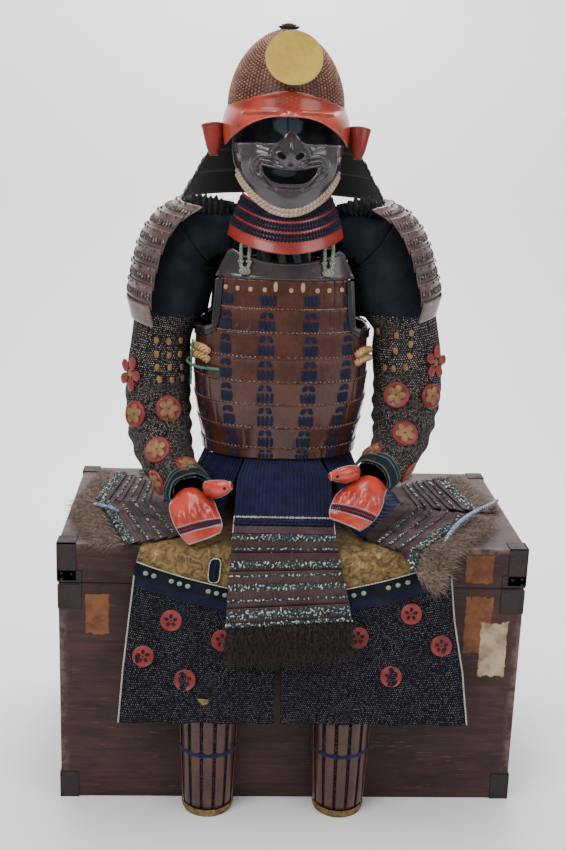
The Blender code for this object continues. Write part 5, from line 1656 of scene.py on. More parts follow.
            def place(u: Array, v: float, mid=mid, s=s, path=path) -> Array:
                y, z, _ = path.at(v)[0]
                w = (u * 2 - 1) * 0.018
                return np.stack([mid + w - s * 0.006 * abs(y) / 0.12, np.full_like(u, y),
                                 np.full_like(u, z - 0.00331)], axis=1)
            surface(f"strap_iron_{side.mark}", place, 14, 44, (mid, 0, 1.0), PLATE_IRON, "mask_iron",
                    [f"shoulder_strap_{side.mark}"], wall=0.004,
                    lift=lambda u, v: 0.0011 * np.exp(-((np.abs(u * 2 - 1) - 0.86) / 0.10) ** 2))
            self.strap_cord(side)
            self.side_cord(side)

    def strap_cord(self, side: Side) -> None:
        """A doubled cord hanging from the strap to a knob on the chest plate."""
        s = side.value
        cx = AX + s * 0.081 + (-0.001 if s > 0 else 0.003)
        y = -0.155 + {-1: 0.03914, 1: 0.03952}[s]
        r = 0.0038
        half = [(0.0040, 0.004, 1.1085), (0.0066, -0.001, 1.1040), (0.0080, -0.0005, 1.090), (0.0074, 0.0, 1.075),
                (0.0082, -0.0005, 1.063), (0.0056, -0.0025, 1.0545)]
        line = [(cx - a, y + b, z) for a, b, z in half] + [(cx, y - 0.0035, 1.0522)]
        line += [(cx + a, y + b, z) for a, b, z in half[::-1]]
        path = Path(line)
        fine = path.at(np.linspace(0, 1, 60))
        mesh = cord_mesh(fine, r, 110, 10, strands=2, twist=13, deep=0.22, ends=0.9)
        obj = piece_of(f"strap_loop_{side.mark}", mesh, GREY_GREEN, "green_cord",
                       [f"strap_cord_{side.mark}"], sharp=0)
        path.length
        c = np.array([[cx - 0.0076, y - 0.0015, 1.0655], [cx + 0.0076, y - 0.0015, 1.0655], [cx, y - 0.0022, 1.0470]])
        size = np.array([[0.0062, 0.0046, 0.0034], [0.0062, 0.0046, 0.0034], [0.0118, 0.0048, 0.0072]])
        piece_of(f"strap_knob_{side.mark}", FULL_CUSHION.many(
            c, size[:, :1] * (1, 0, 0), size[:, 1:2] * (0, 1, 0), size[:, 2:] * (0, 0, 1)), GREY_GREEN,
            "green_cord", sharp=0)

    def side_cord(self, side: Side) -> None:
        """Two turns of thick gold cord at the side, and the green tie that crosses the left one."""
        s = side.value
        move = np.array([-s, 0.4, 0.0]) / math.hypot(1, 0.4) * 0.0054
        ropes = []
        for rise in (0.0, -0.0162):
            pts = [torso_row(s * math.radians(w), z + rise, 0.0115) + move
                   for w, z in ((50, 0.884), (58, 0.890), (68, 0.889), (78, 0.885))]
            ropes.append(cord_mesh(pts, 0.0080, 60, 14, strands=3, twist=2.6, deep=0.30, ends=0.75))
        piece_of(f"side_rope_{side.mark}", joined(ropes), GOLD_CORD, "gold_cord", [f"side_cord_{side.mark}"], sharp=0)
        if side is Side.RIGHT:
            return
        tie = [torso_row(math.radians(w), z, out) for w, z, out in (
            (-80, 0.8600, 0.012), (-74, 0.8570, 0.0200), (-64, 0.8545, 0.0190), (-54, 0.8530, 0.0150),
            (-46, 0.8535, 0.0075), (-39, 0.8540, 0.0060))]
        end = [(-0.2035, -0.062, 0.903), (-0.2050, -0.066, 0.885), (-0.2060, -0.066, 0.858), (-0.2065, -0.060, 0.833),
               (-0.2070, -0.056, 0.809)]
        for name, pts, r, far in (("green_tie", tie, 0.0030, "knot"), ("green_end", end, 0.0024, "bare")):
            path = Path(pts)
            line = path.at(np.linspace(0, 1, 40))
            obj = piece_of(name, cord_mesh(line, r, 90, 8, strands=2, twist=14, deep=0.25), GREEN,
                           "green_cord", sharp=0)
            path.length

    def build(self) -> None:
        """Makes the whole cuirass."""
        self.panel("scales_front", 1.0, "cuirass_front")
        self.panel("scales_back", -1.0, "cuirass_back")
        self.lacing()
        self.ties()
        self.plates()
        self.straps()


EDGE_STITCH = Braid("edge_stitch", (0.20, 0.12, 0.10), (0.50, 0.40, 0.36))


ARM = {-1: [(-0.131, 0.005, 1.109, 0.050, 0.068), (-0.165, 0.003, 1.110, 0.054, 0.073),
            (-0.205, 0.000, 1.096, 0.060, 0.075), (-0.236, 0.000, 1.062, 0.072, 0.074),
            (-0.246, 0.000, 1.000, 0.080, 0.072), (-0.266, 0.000, 0.915, 0.061, 0.062),
            (-0.272, 0.000, 0.850, 0.064, 0.066), (-0.274, -0.002, 0.785, 0.067, 0.068),
            (-0.268, -0.026, 0.722, 0.066, 0.066), (-0.254, -0.070, 0.676, 0.058, 0.060),
            (-0.232, -0.118, 0.648, 0.047, 0.050), (-0.205, -0.165, 0.632, 0.038, 0.042),
            (-0.197, -0.190, 0.629, 0.035, 0.040)],
       1: [(0.077, 0.005, 1.109, 0.050, 0.068), (0.108, 0.003, 1.110, 0.054, 0.073),
           (0.146, 0.000, 1.098, 0.060, 0.075), (0.176, 0.000, 1.066, 0.071, 0.074),
           (0.188, 0.000, 1.005, 0.078, 0.072), (0.216, 0.000, 0.938, 0.066, 0.064),
           (0.223, 0.000, 0.880, 0.071, 0.067), (0.230, -0.002, 0.820, 0.071, 0.068),
           (0.226, -0.020, 0.758, 0.068, 0.066), (0.214, -0.058, 0.708, 0.058, 0.060),
           (0.190, -0.105, 0.680, 0.047, 0.050), (0.160, -0.150, 0.664, 0.038, 0.042),
           (0.145, -0.174, 0.659, 0.034, 0.037)]}

#        the share of the arm's tube that the shoulder cloth covers, and how far it is raised
YOKE = 2 / 16
SHOULDER_RISE = 0.00561


def cloth_size(p: Array) -> tuple[tuple[float, float], float]:
    """The flat width and length of a grid of cloth, and its area."""
    wide = np.linalg.norm(np.diff(p, axis=1), axis=2).sum(axis=1).max()
    long = np.linalg.norm(np.diff(p, axis=0), axis=2).sum(axis=0).max()
    a = np.linalg.norm(np.cross(p[1:, :-1] - p[:-1, :-1], p[:-1, 1:] - p[:-1, :-1]), axis=2).sum() / 2
    b = np.linalg.norm(np.cross(p[:-1, 1:] - p[1:, 1:], p[1:, :-1] - p[1:, 1:]), axis=2).sum() / 2
    return (float(wide), float(long)), float(a + b)


def as_cloth(p: Array) -> None:
    """Works out the flat size and area of a grid of cloth; nothing is done with them."""
    flat, area = cloth_size(p)


def cloth_piece(name: str, place: Place, cols: int, rows: int, behind, finish, slot: str,
                nodes: Sequence[str], rests_on: Sequence[str], wrap: bool = False,
                lift: Optional[Lift] = None, shift=(0, 0, 0), wall: float = 0.0016) -> bpy.types.Object:
    """A sheet of cloth, its flat size worked out but not kept; see surface for the rest."""
    p, n = lay_out(place, cols, np.linspace(0, 1, rows + 1), behind, wrap, lift)
    p = p + np.asarray(shift)
    obj = piece_of(name, mesh_of_grid(p, n, wrap), finish, slot, nodes, wall, sharp=0)
    as_cloth(p)
    return obj


@dataclass
class Arm:
    """One arm: shoulder cloth, mail sleeve with its roundels, laced shoulder guard and hand guard."""

    side: Side
    #  place round and down the sleeve, radius and kind: a roundel, or a large loose flower
    roundels: tuple = ()
    squares: tuple = ()
    guard: tuple = ()
    hand: tuple = ()
    thumb: tuple = ()
    hand_back: float = 0.0
    thumb_move: float = 0.0
    sleeve_move: float = 0.00067
    guard_move: float = 0.0

    def surface_of_arm(self) -> tuple[Place, Path]:
        """The arm's tube from the neck end to the cuff."""
        return tube_surface(ARM[self.side.value])

    def sleeve_row(self, u: Array, v: float) -> Array:
        """The sleeve's plain surface, its first rows raised with the shoulder cloth."""
        tube, path = self.surface_of_arm()
        step = (path.at(YOKE + 1 / 16) - path.at(YOKE - 1 / 16))[0][:3]
        p = tube(u, YOKE + (1 - YOKE) * v) + step / np.linalg.norm(step) * self.sleeve_move
        return p + (0, 0, SHOULDER_RISE * max(0.0, 1 - v * 7))

    def folds(self, u: Array, v: float) -> Array:
        """Depth of the folds: rings at the elbow and long pleats down the arm."""
        a = u * TAU
        elbow = math.exp(-((v - 0.66) / 0.14) ** 2)
        ring = np.sin(v * 95 + 1.6 * np.sin(a) + 0.6 * np.cos(2 * a)) * 0.0024 * elbow
        cuff = np.sin(a * 6 + v * 9) * 0.0016 * math.exp(-((v - 0.93) / 0.09) ** 2)
        long = np.sin(a * 3 + v * 5) * 0.0016 + np.sin(a * 7 - v * 11) * 0.0006
        return ring + cuff + long * min(1.0, v * 8) - 0.0016

    def on_sleeve(self, u: float, v: float) -> tuple[Array, Array, Array, Array]:
        """A place on the sleeve: point, across, up and out."""
        behind = self.surface_of_arm()[1].at(YOKE + (1 - YOKE) * v)[0][:3]
        return axes_at(self.sleeve_row, u, v, behind)

    def cloth(self) -> None:
        """The shoulder cloth and the mail sleeve."""
        tube, path = self.surface_of_arm()
        mark = self.side.mark
        levels = np.linspace(0, 1, 9)

        def top(u: Array, v: float) -> Array:
            return tube(u, v * YOKE)
        middle = np.array([[path.at(v * YOKE)[0][:3]] * 57 for v in levels])
        p, n = lay_out(top, 56, levels, middle, True,
                       lambda u, v: np.sin(u * TAU * 5 + v * 3) * 0.0012 - 0.0012)
        p = p + (0, 0, SHOULDER_RISE)
        obj = piece_of(f"shoulder_drape_{mark}", mesh_of_grid(p, n, True), INDIGO, "indigo_cloth",
                       [f"shoulder_cloth_{mark}"], wall=0.0018, sharp=0)
        as_cloth(p)
        levels = np.linspace(0, 1, 131)
        middle = np.array([[path.at(YOKE + (1 - YOKE) * v)[0][:3]] * 93 for v in levels])
        p, n = lay_out(self.sleeve_row, 92, levels, middle, True, self.folds)
        mesh = mesh_of_grid(p, n, True)
        obj = piece_of(f"mail_sleeve_{mark}", mesh, [MAIL, INDIGO, GOLD_CLOTH], "mail_cloth", [f"sleeve_{mark}"],
                       wall=0.0018, sharp=0)
        mail_top = 0.947 if self.side is Side.LEFT else 0.957
        for poly in mesh.polygons:
            x, y, z = poly.center
            if z > mail_top:
                poly.material_index = 1
            elif self.side is Side.LEFT and z > 0.835 and y > -0.012 and x < -0.30:
                poly.material_index = 2
        as_cloth(p)

    def web(self) -> None:
        """The jacket's dark cloth that fills the armhole between the cuirass and the sleeve."""
        s = self.side.value

        def place(u: Array, v: float) -> Array:
            inner, outer = AX + s * mix(0.116, 0.150, v), AX + s * mix(0.170, 0.182, v)
            y = 0.016 + 0.006 * np.sin(u * 9 + v * 5)
            return np.stack([mix(inner, outer, u), y, np.full_like(u, mix(1.122, 0.940, v))], axis=1)
        cloth_piece(f"jacket_web_{self.side.mark}", place, 24, 30, (AX, 0.3, 1.03), INDIGO, "indigo_cloth", [],
                    [f"shoulder_drape_{self.side.mark}"], wall=0.0014)

    def flowers(self) -> None:
        """Roundels with five petals, a large loose flower and gilt squares on the sleeve."""
        reds, golds = [], []
        for u, v, r, loose in self.roundels:
            spot = self.on_sleeve(u, v)
            far, wide, tall = (0.62, 0.30, 0.36) if loose else (0.42, 0.29, 0.37)
            ring = petals(spot, 0.3, r * far, r * wide, 0.0026, r * tall, 0.0026)
            if loose:
                reds.append(ring)
                golds.append(petals(spot, 0.3, r * 0.12, r * 0.10, 0.0018, r * 0.14, 0.0015))
            else:
                disc = [(0.0, 0.0016), (r * 0.78, 0.0020), (r * 0.88, 0.0034), (r, 0.0022), (r, -0.0016)]
                reds.append(Template(turned(disc)).many(*spot))
                golds.append(ring)
        for u, v, half in self.squares:
            c, across, up, out = self.on_sleeve(u, v)
            lean = 0.35 * math.sin(u * 90 + v * 70)
            golds.append(FULL_CUSHION.many(c + out * 0.0012, (across + up * lean) * half * 0.8, out * 0.0028,
                                           (up - across * lean) * half * 1.1))
        for name, meshes, finish, slot in (("sleeve_red", reds, ROSE_RED, "red_lacquer"),
                                           ("sleeve_gold", golds, PETAL_GOLD, "gilt")):
            piece_of(f"{name}_{self.side.mark}", joined(meshes), finish, slot, sharp=0)

    def cuff(self) -> None:
        """The dark band at the end of the sleeve, piped in green."""
        path = self.surface_of_arm()[1]

        def place(u: Array, v: float) -> Array:
            return self.sleeve_row(u, 0.94 + 0.06 * v)
        middle = path.at(0.97)[0][:3]
        surface(f"cuff_band_{self.side.mark}", place, 60, 6, middle, INDIGO, "indigo_cloth", wall=0.0014, wrap=True,
                lift=lambda u, v: 0.0036 + 0.0010 * np.sin(u * TAU * 6 + 2))
        pipes = []
        for v in (0.03, 0.30, 0.97):
            u = np.linspace(0, 1, 49)
            p, out = place(u, v), place(u, v) - middle
            out = unit(out)
            pipes.append(cord_mesh(p + out * (0.0052 + 0.0010 * np.sin(u * TAU * 6 + 2))[:, None], 0.0015, 140, 6))
        piece_of(f"cuff_piping_{self.side.mark}", joined(pipes), CUFF_PIPE, "green_cord", sharp=0)

    def shoulder_guard(self) -> None:
        """Seven lacquered lames, laced, the last one longer and plain."""
        levels = [0.0, 0.15, 0.29, 0.43, 0.57, 0.70, 0.84, 1.0]
        path = Path([(a, b, 0.0) for a, b in self.guard])
        behind = (AX, 0.0, 1.0)
        plates, lacing = [], []
        for k in range(7):
            t0, t1 = levels[k], levels[k + 1]
            last = k == 6

            def strip(u: Array, v: float, t0=t0, t1=t1, last=last) -> Array:
                x, z, _ = path.at(min(1.0, t0 + (t1 - t0 + (0 if last else 0.03)) * v))[0]
                w = u * 2 - 1
                curl = np.where(w < 0, 0.050, 0.034) * np.abs(w) ** 2.2
                return np.stack([x - self.side.value * (curl + self.guard_move),
                                 0.108 * w, z - 0.006 * w ** 2], axis=1)

            def lift(u: Array, v: float, k=k, last=last) -> Array:
                wave = 0.0010 * np.abs(np.sin(u * math.pi * 9 + k * 0.5)) * max(0.0, 1 - v * 3)
                edge = 0.0014 * math.exp(-((v - 0.05) / 0.05) ** 2)
                lump = 0.0009 * np.sin(u * 21 + k * 2.3) * (1 - v)
                return 0.0040 * (1 - v) + wave + edge + lump
            p, n = lay_out(strip, 72, np.linspace(0, 1, 13), behind, lift=lift)
            plates.append(mesh_of_grid(p, n))
            if not last:
                lacing += [sewn(strip, spaced(30), 0.50, behind, 0.0038, 0.0032, 0.0016, 0.0070, 0.0012),
                           sewn(strip, spaced(9), 0.10, behind, 0.0062, 0.0022, 0.0012, 0.0030)]
        mark = self.side.mark
        piece_of(f"guard_lames_{mark}", joined(plates), GUARD, "russet_iron", [f"shoulder_guard_{mark}"],
                 wall=0.0018, sharp=50)
        piece_of(f"guard_laces_{mark}", joined(lacing), GUARD_LACE, "dark_laced_iron", sharp=0)

    def roll(self) -> None:
        """The ruffled black roll along the top of the shoulder."""
        s = self.side.value
        line = {-1: [(-0.226, -0.040, 1.160), (-0.205, -0.048, 1.166), (-0.180, -0.050, 1.163),
                     (-0.155, -0.048, 1.159), (-0.136, -0.040, 1.152)],
                1: [(0.162, -0.040, 1.150), (0.143, -0.048, 1.162), (0.120, -0.050, 1.167),
                    (0.098, -0.048, 1.163), (0.082, -0.040, 1.153)]}[s]
        path = Path([(*p, 0.013, 0.013) for p in line])

        def place(u: Array, v: float) -> Array:
            c, t = path.at(v)[0], path.heading(v)[0]
            a = u * TAU
            side = np.cross(t, (0, 0, 1.0))
            side /= np.linalg.norm(side)
            up = np.cross(side, t)
            r = 0.0165 * max(0.15, math.sin(math.pi * min(max(v, 0.02), 0.98))) ** 0.3
            r = r * (1 + 0.24 * np.sin(v * 58 + 0.8 * np.sin(a)) + 0.16 * np.sin(a * 4 + v * 31))
            return c[:3] + np.outer(np.cos(a) * r, side) + np.outer(np.sin(a) * r * 0.95, up)
        levels = np.linspace(0, 1, 91)
        middle = np.array([[path.at(v)[0][:3]] * 25 for v in levels])
        p, n = lay_out(place, 24, levels, middle, True)
        p[0], p[-1] = p[0].mean(axis=0), p[-1].mean(axis=0)
        obj = piece_of(f"ruffled_roll_{self.side.mark}", mesh_of_grid(p, n, True, True), BLACK_ROLL,
                       "indigo_cloth", sharp=0)

    def hand_place(self, u: Array, v: float) -> Array:
        """The plain shell over the back of the hand, its finger end slanting inwards."""
        path = Path(self.hand)
        c, t = path.at(v)[0], path.heading(v)[0]
        out = np.cross(t, (1.0, 0.0, 0.0))
        out /= np.linalg.norm(out)
        if out[1] > 0:
            out = -out
        w = u * 2 - 1
        arch = c[3] * 0.55 * (np.sqrt(np.maximum(0.0, 1 - 0.86 * w * w)) - 0.37)
        slant = -self.side.value * mix(0.06, 0.36, v) * c[3] * w - 0.015 * w * w * (1 - v) ** 2
        wide = c[3] * (1 - 0.16 * max(0.0, (v - 0.82) / 0.18) ** 2)
        row = np.stack([c[0] + wide * w, np.full_like(w, c[1] + self.hand_back), c[2] + slant], axis=1)
        return row + np.outer(arch, out)

    def hand_guard(self) -> None:
        """The red hand guard with four knuckles, its laced band, thumb plate and navy cuff."""
        mark = self.side.mark
        p = np.array([self.hand_place(np.linspace(0, 1, 13), v) for v in np.linspace(0, 1, 9)])
        behind = p.mean(axis=(0, 1)) + (0, 0.10, -0.02)

        def lift(u: Array, v: float) -> Array:
            w = u * 2 - 1
            knuckle = 0
            for k in (-0.66, -0.22, 0.22, 0.66):
                knuckle = knuckle + 0.0066 * np.exp(-((w - k) / 0.155) ** 2) * math.exp(-((v - 0.53) / 0.125) ** 2)
            band = -0.0022 * math.exp(-((v - 0.75) / 0.055) ** 4)
            rim = 0.0010 * np.exp(-((np.abs(w) - 0.96) / 0.03) ** 2)
            return knuckle + band + rim
        surface(f"hand_shell_{mark}", self.hand_place, 90, 70, behind, HAND_RED, "red_lacquer",
                [f"hand_guard_{mark}"], wall=0.0022, lift=lift)
        stitches = [sewn(self.hand_place, spaced(count), v, behind, 0.0004, 0.0013, size, 0.0016)
                    for v, count, size in ((0.685, 24, 0.0011), (0.815, 24, 0.0011), (0.985, 26, 0.0013))]
        stitches += [sewn(self.hand_place, edge, float(v), behind, 0.0004, 0.0012, 0.0012, 0.0013)
                     for edge in (0.008, 0.992) for v in np.linspace(0.02, 0.99, 40)]
        braid = [sewn(self.hand_place, spaced(20), v, behind, -0.0002, 0.0021, 0.0016, 0.0026, lean)
                 for v, lean in ((0.725, 0.0012), (0.775, -0.0012))]
        tube, line = tube_surface(self.thumb)
        move = (self.side.value * (self.thumb_move - 0.03), 0, 0)
        surface(f"thumb_shell_{mark}", tube, 36, 26, line.at(0.5)[0][:3], HAND_RED, "red_lacquer",
                [f"thumb_guard_{mark}"], wall=0.0015, wrap=True, shift=move)
        tip = line.at(0.985)[0][:3] - line.heading(0.97)[0] * 0.001
        stitches.append(sewn(tube, spaced(16), 0.97, tip, 0.0003, 0.0017, 0.0011, 0.0013, shift=move))
        stitches += [sewn(tube, a, float(v), line.at(v)[0][:3], 0.0004, 0.0014, 0.0012, 0.0016, shift=move)
                     for a in (0.0, 0.5) for v in np.linspace(0.03, 0.93, 14)]
        braid.append(sewn(tube, 0.75, 0.80, line.at(0.80)[0][:3], 0.0, 0.0030, 0.0010, 0.0030, shift=move))
        for name, meshes, finish, slot in (("hand_stitch", stitches, PALE_STITCH, "beige_cord"),
                                           ("hand_lacing", braid, DARK_NAVY, "navy_lacing")):
            piece_of(f"{name}_{mark}", joined(meshes), finish, slot, sharp=0)

    def build(self) -> None:
        """Makes the whole arm."""
        self.cloth()
        self.web()
        self.flowers()
        self.cuff()
        self.shoulder_guard()
        self.roll()
        self.hand_guard()


CUFF_PIPE = Braid("cuff_piping", (0.050, 0.085, 0.075), (0.12, 0.17, 0.15))

LEFT_ARM = dict(
    roundels=((0.639, 0.629, 0.0265, False), (0.812, 0.629, 0.0265, False), (0.764, 0.816, 0.0265, False),
              (0.938, 0.925, 0.0220, False), (0.639, 0.885, 0.0255, False), (0.604, 0.469, 0.036, True)),
    squares=tuple((u, v, 0.0062) for u, v in (
        (0.736, 0.344), (0.799, 0.344), (0.868, 0.338), (0.743, 0.390), (0.806, 0.393), (0.868, 0.390),
        (0.750, 0.433), (0.812, 0.433), (0.882, 0.433), (0.764, 0.472), (0.826, 0.475), (0.889, 0.472))),
    guard=((-0.232, 1.166), (-0.268, 1.146), (-0.296, 1.112), (-0.313, 1.070), (-0.324, 1.022),
           (-0.330, 0.980), (-0.326, 0.938)),
    hand=((-0.2015, -0.205, 0.6345, 0.034), (-0.198, -0.225, 0.6250, 0.042), (-0.193, -0.243, 0.6100, 0.043),
          (-0.185, -0.256, 0.5925, 0.042), (-0.177, -0.263, 0.5760, 0.038), (-0.172, -0.266, 0.5620, 0.033)),
    thumb=((-0.170, -0.222, 0.645, 0.017, 0.010), (-0.155, -0.236, 0.652, 0.018, 0.012),
           (-0.137, -0.246, 0.660, 0.013, 0.010), (-0.124, -0.250, 0.664, 0.006, 0.005)),
    hand_back=0.00283, thumb_move=0.0287, sleeve_move=0.00122, guard_move=-0.00298)
RIGHT_ARM = dict(
    roundels=((0.681, 0.587, 0.0265, False), (0.854, 0.574, 0.0250, False), (0.688, 0.800, 0.0265, False),
              (0.493, 0.920, 0.0230, False), (0.903, 0.865, 0.0240, False), (0.882, 0.449, 0.034, True)),
    squares=tuple((u, v, 0.0062) for u, v in (
        (0.764, 0.325), (0.757, 0.364), (0.750, 0.407), (0.729, 0.443), (0.694, 0.328), (0.688, 0.387),
        (0.674, 0.446), (0.632, 0.443), (0.590, 0.305))),
    guard=((0.176, 1.170), (0.210, 1.154), (0.238, 1.124), (0.258, 1.084), (0.272, 1.040), (0.283, 1.000),
           (0.280, 0.958)),
    hand=((0.1400, -0.190, 0.6585, 0.038), (0.129, -0.212, 0.6500, 0.041), (0.120, -0.232, 0.6360, 0.045),
          (0.110, -0.247, 0.6200, 0.044), (0.100, -0.256, 0.6050, 0.039), (0.092, -0.261, 0.5930, 0.033)),
    thumb=((0.116, -0.205, 0.677, 0.015, 0.010), (0.100, -0.220, 0.681, 0.017, 0.012),
           (0.080, -0.230, 0.682, 0.013, 0.010), (0.062, -0.236, 0.680, 0.006, 0.005)),
    hand_back=0.00078, thumb_move=0.02859, sleeve_move=0.00127, guard_move=-0.00179)


# Skirt corners: waist, where the lames start, where they end, where the fur ends
TASSETS = {
    "centre": [(-0.110, -0.128, 0.677), (0.071, -0.130, 0.677), (-0.120, -0.252, 0.570), (0.075, -0.252, 0.570),
               (-0.130, -0.298, 0.400), (0.110, -0.298, 0.418), (-0.122, -0.312, 0.335), (0.106, -0.312, 0.340)],
    "front_left": [(-0.176, -0.075, 0.676), (-0.118, -0.118, 0.676), (-0.255, -0.030, 0.556), (-0.190, -0.200, 0.556),
                   (-0.392, -0.015, 0.556), (-0.318, -0.262, 0.556), (-0.440, -0.040, 0.556), (-0.380, -0.235, 0.556)],
    "front_right": [(0.078, -0.118, 0.676), (0.124, -0.075, 0.676), (0.135, -0.215, 0.556), (0.225, -0.030, 0.556),
                    (0.222, -0.292, 0.512), (0.366, -0.077, 0.556), (0.270, -0.312, 0.485), (0.420, -0.110, 0.556)],
    "side_left": [(-0.180, 0.045, 0.676), (-0.180, -0.060, 0.676), (-0.262, 0.110, 0.556), (-0.262, -0.020, 0.556),
                  (-0.372, 0.190, 0.556), (-0.402, 0.000, 0.556), (-0.405, 0.205, 0.556), (-0.436, 0.000, 0.556)],
    "side_right": [(0.124, -0.060, 0.676), (0.124, 0.045, 0.676), (0.236, -0.020, 0.556), (0.226, 0.110, 0.556),
                   (0.392, -0.030, 0.556), (0.352, 0.190, 0.556), (0.436, -0.035, 0.556), (0.390, 0.205, 0.556)],
    "back_left": [(-0.040, 0.122, 0.676), (-0.150, 0.095, 0.676), (-0.050, 0.176, 0.556), (-0.210, 0.140, 0.556),
                  (-0.050, 0.215, 0.556), (-0.330, 0.208, 0.556), (-0.050, 0.236, 0.556), (-0.345, 0.232, 0.556)],
    "back_right": [(0.092, 0.095, 0.676), (-0.018, 0.122, 0.676), (0.160, 0.140, 0.556), (-0.006, 0.176, 0.556),
                   (0.290, 0.208, 0.556), (-0.006, 0.215, 0.556), (0.305, 0.232, 0.556), (-0.006, 0.236, 0.556)],
}
#        how far the solid was slid to its seat
SLID = {"centre": (0, -0.00205, 0), "front_left": (0, 0, -0.0089), "front_right": (0, 0, -0.0049),
        "side_left": (0, 0, -0.0127), "side_right": (0, 0, -0.0127), "back_left": (0, 0, -0.0127),
        "back_right": (0, 0, -0.0127)}


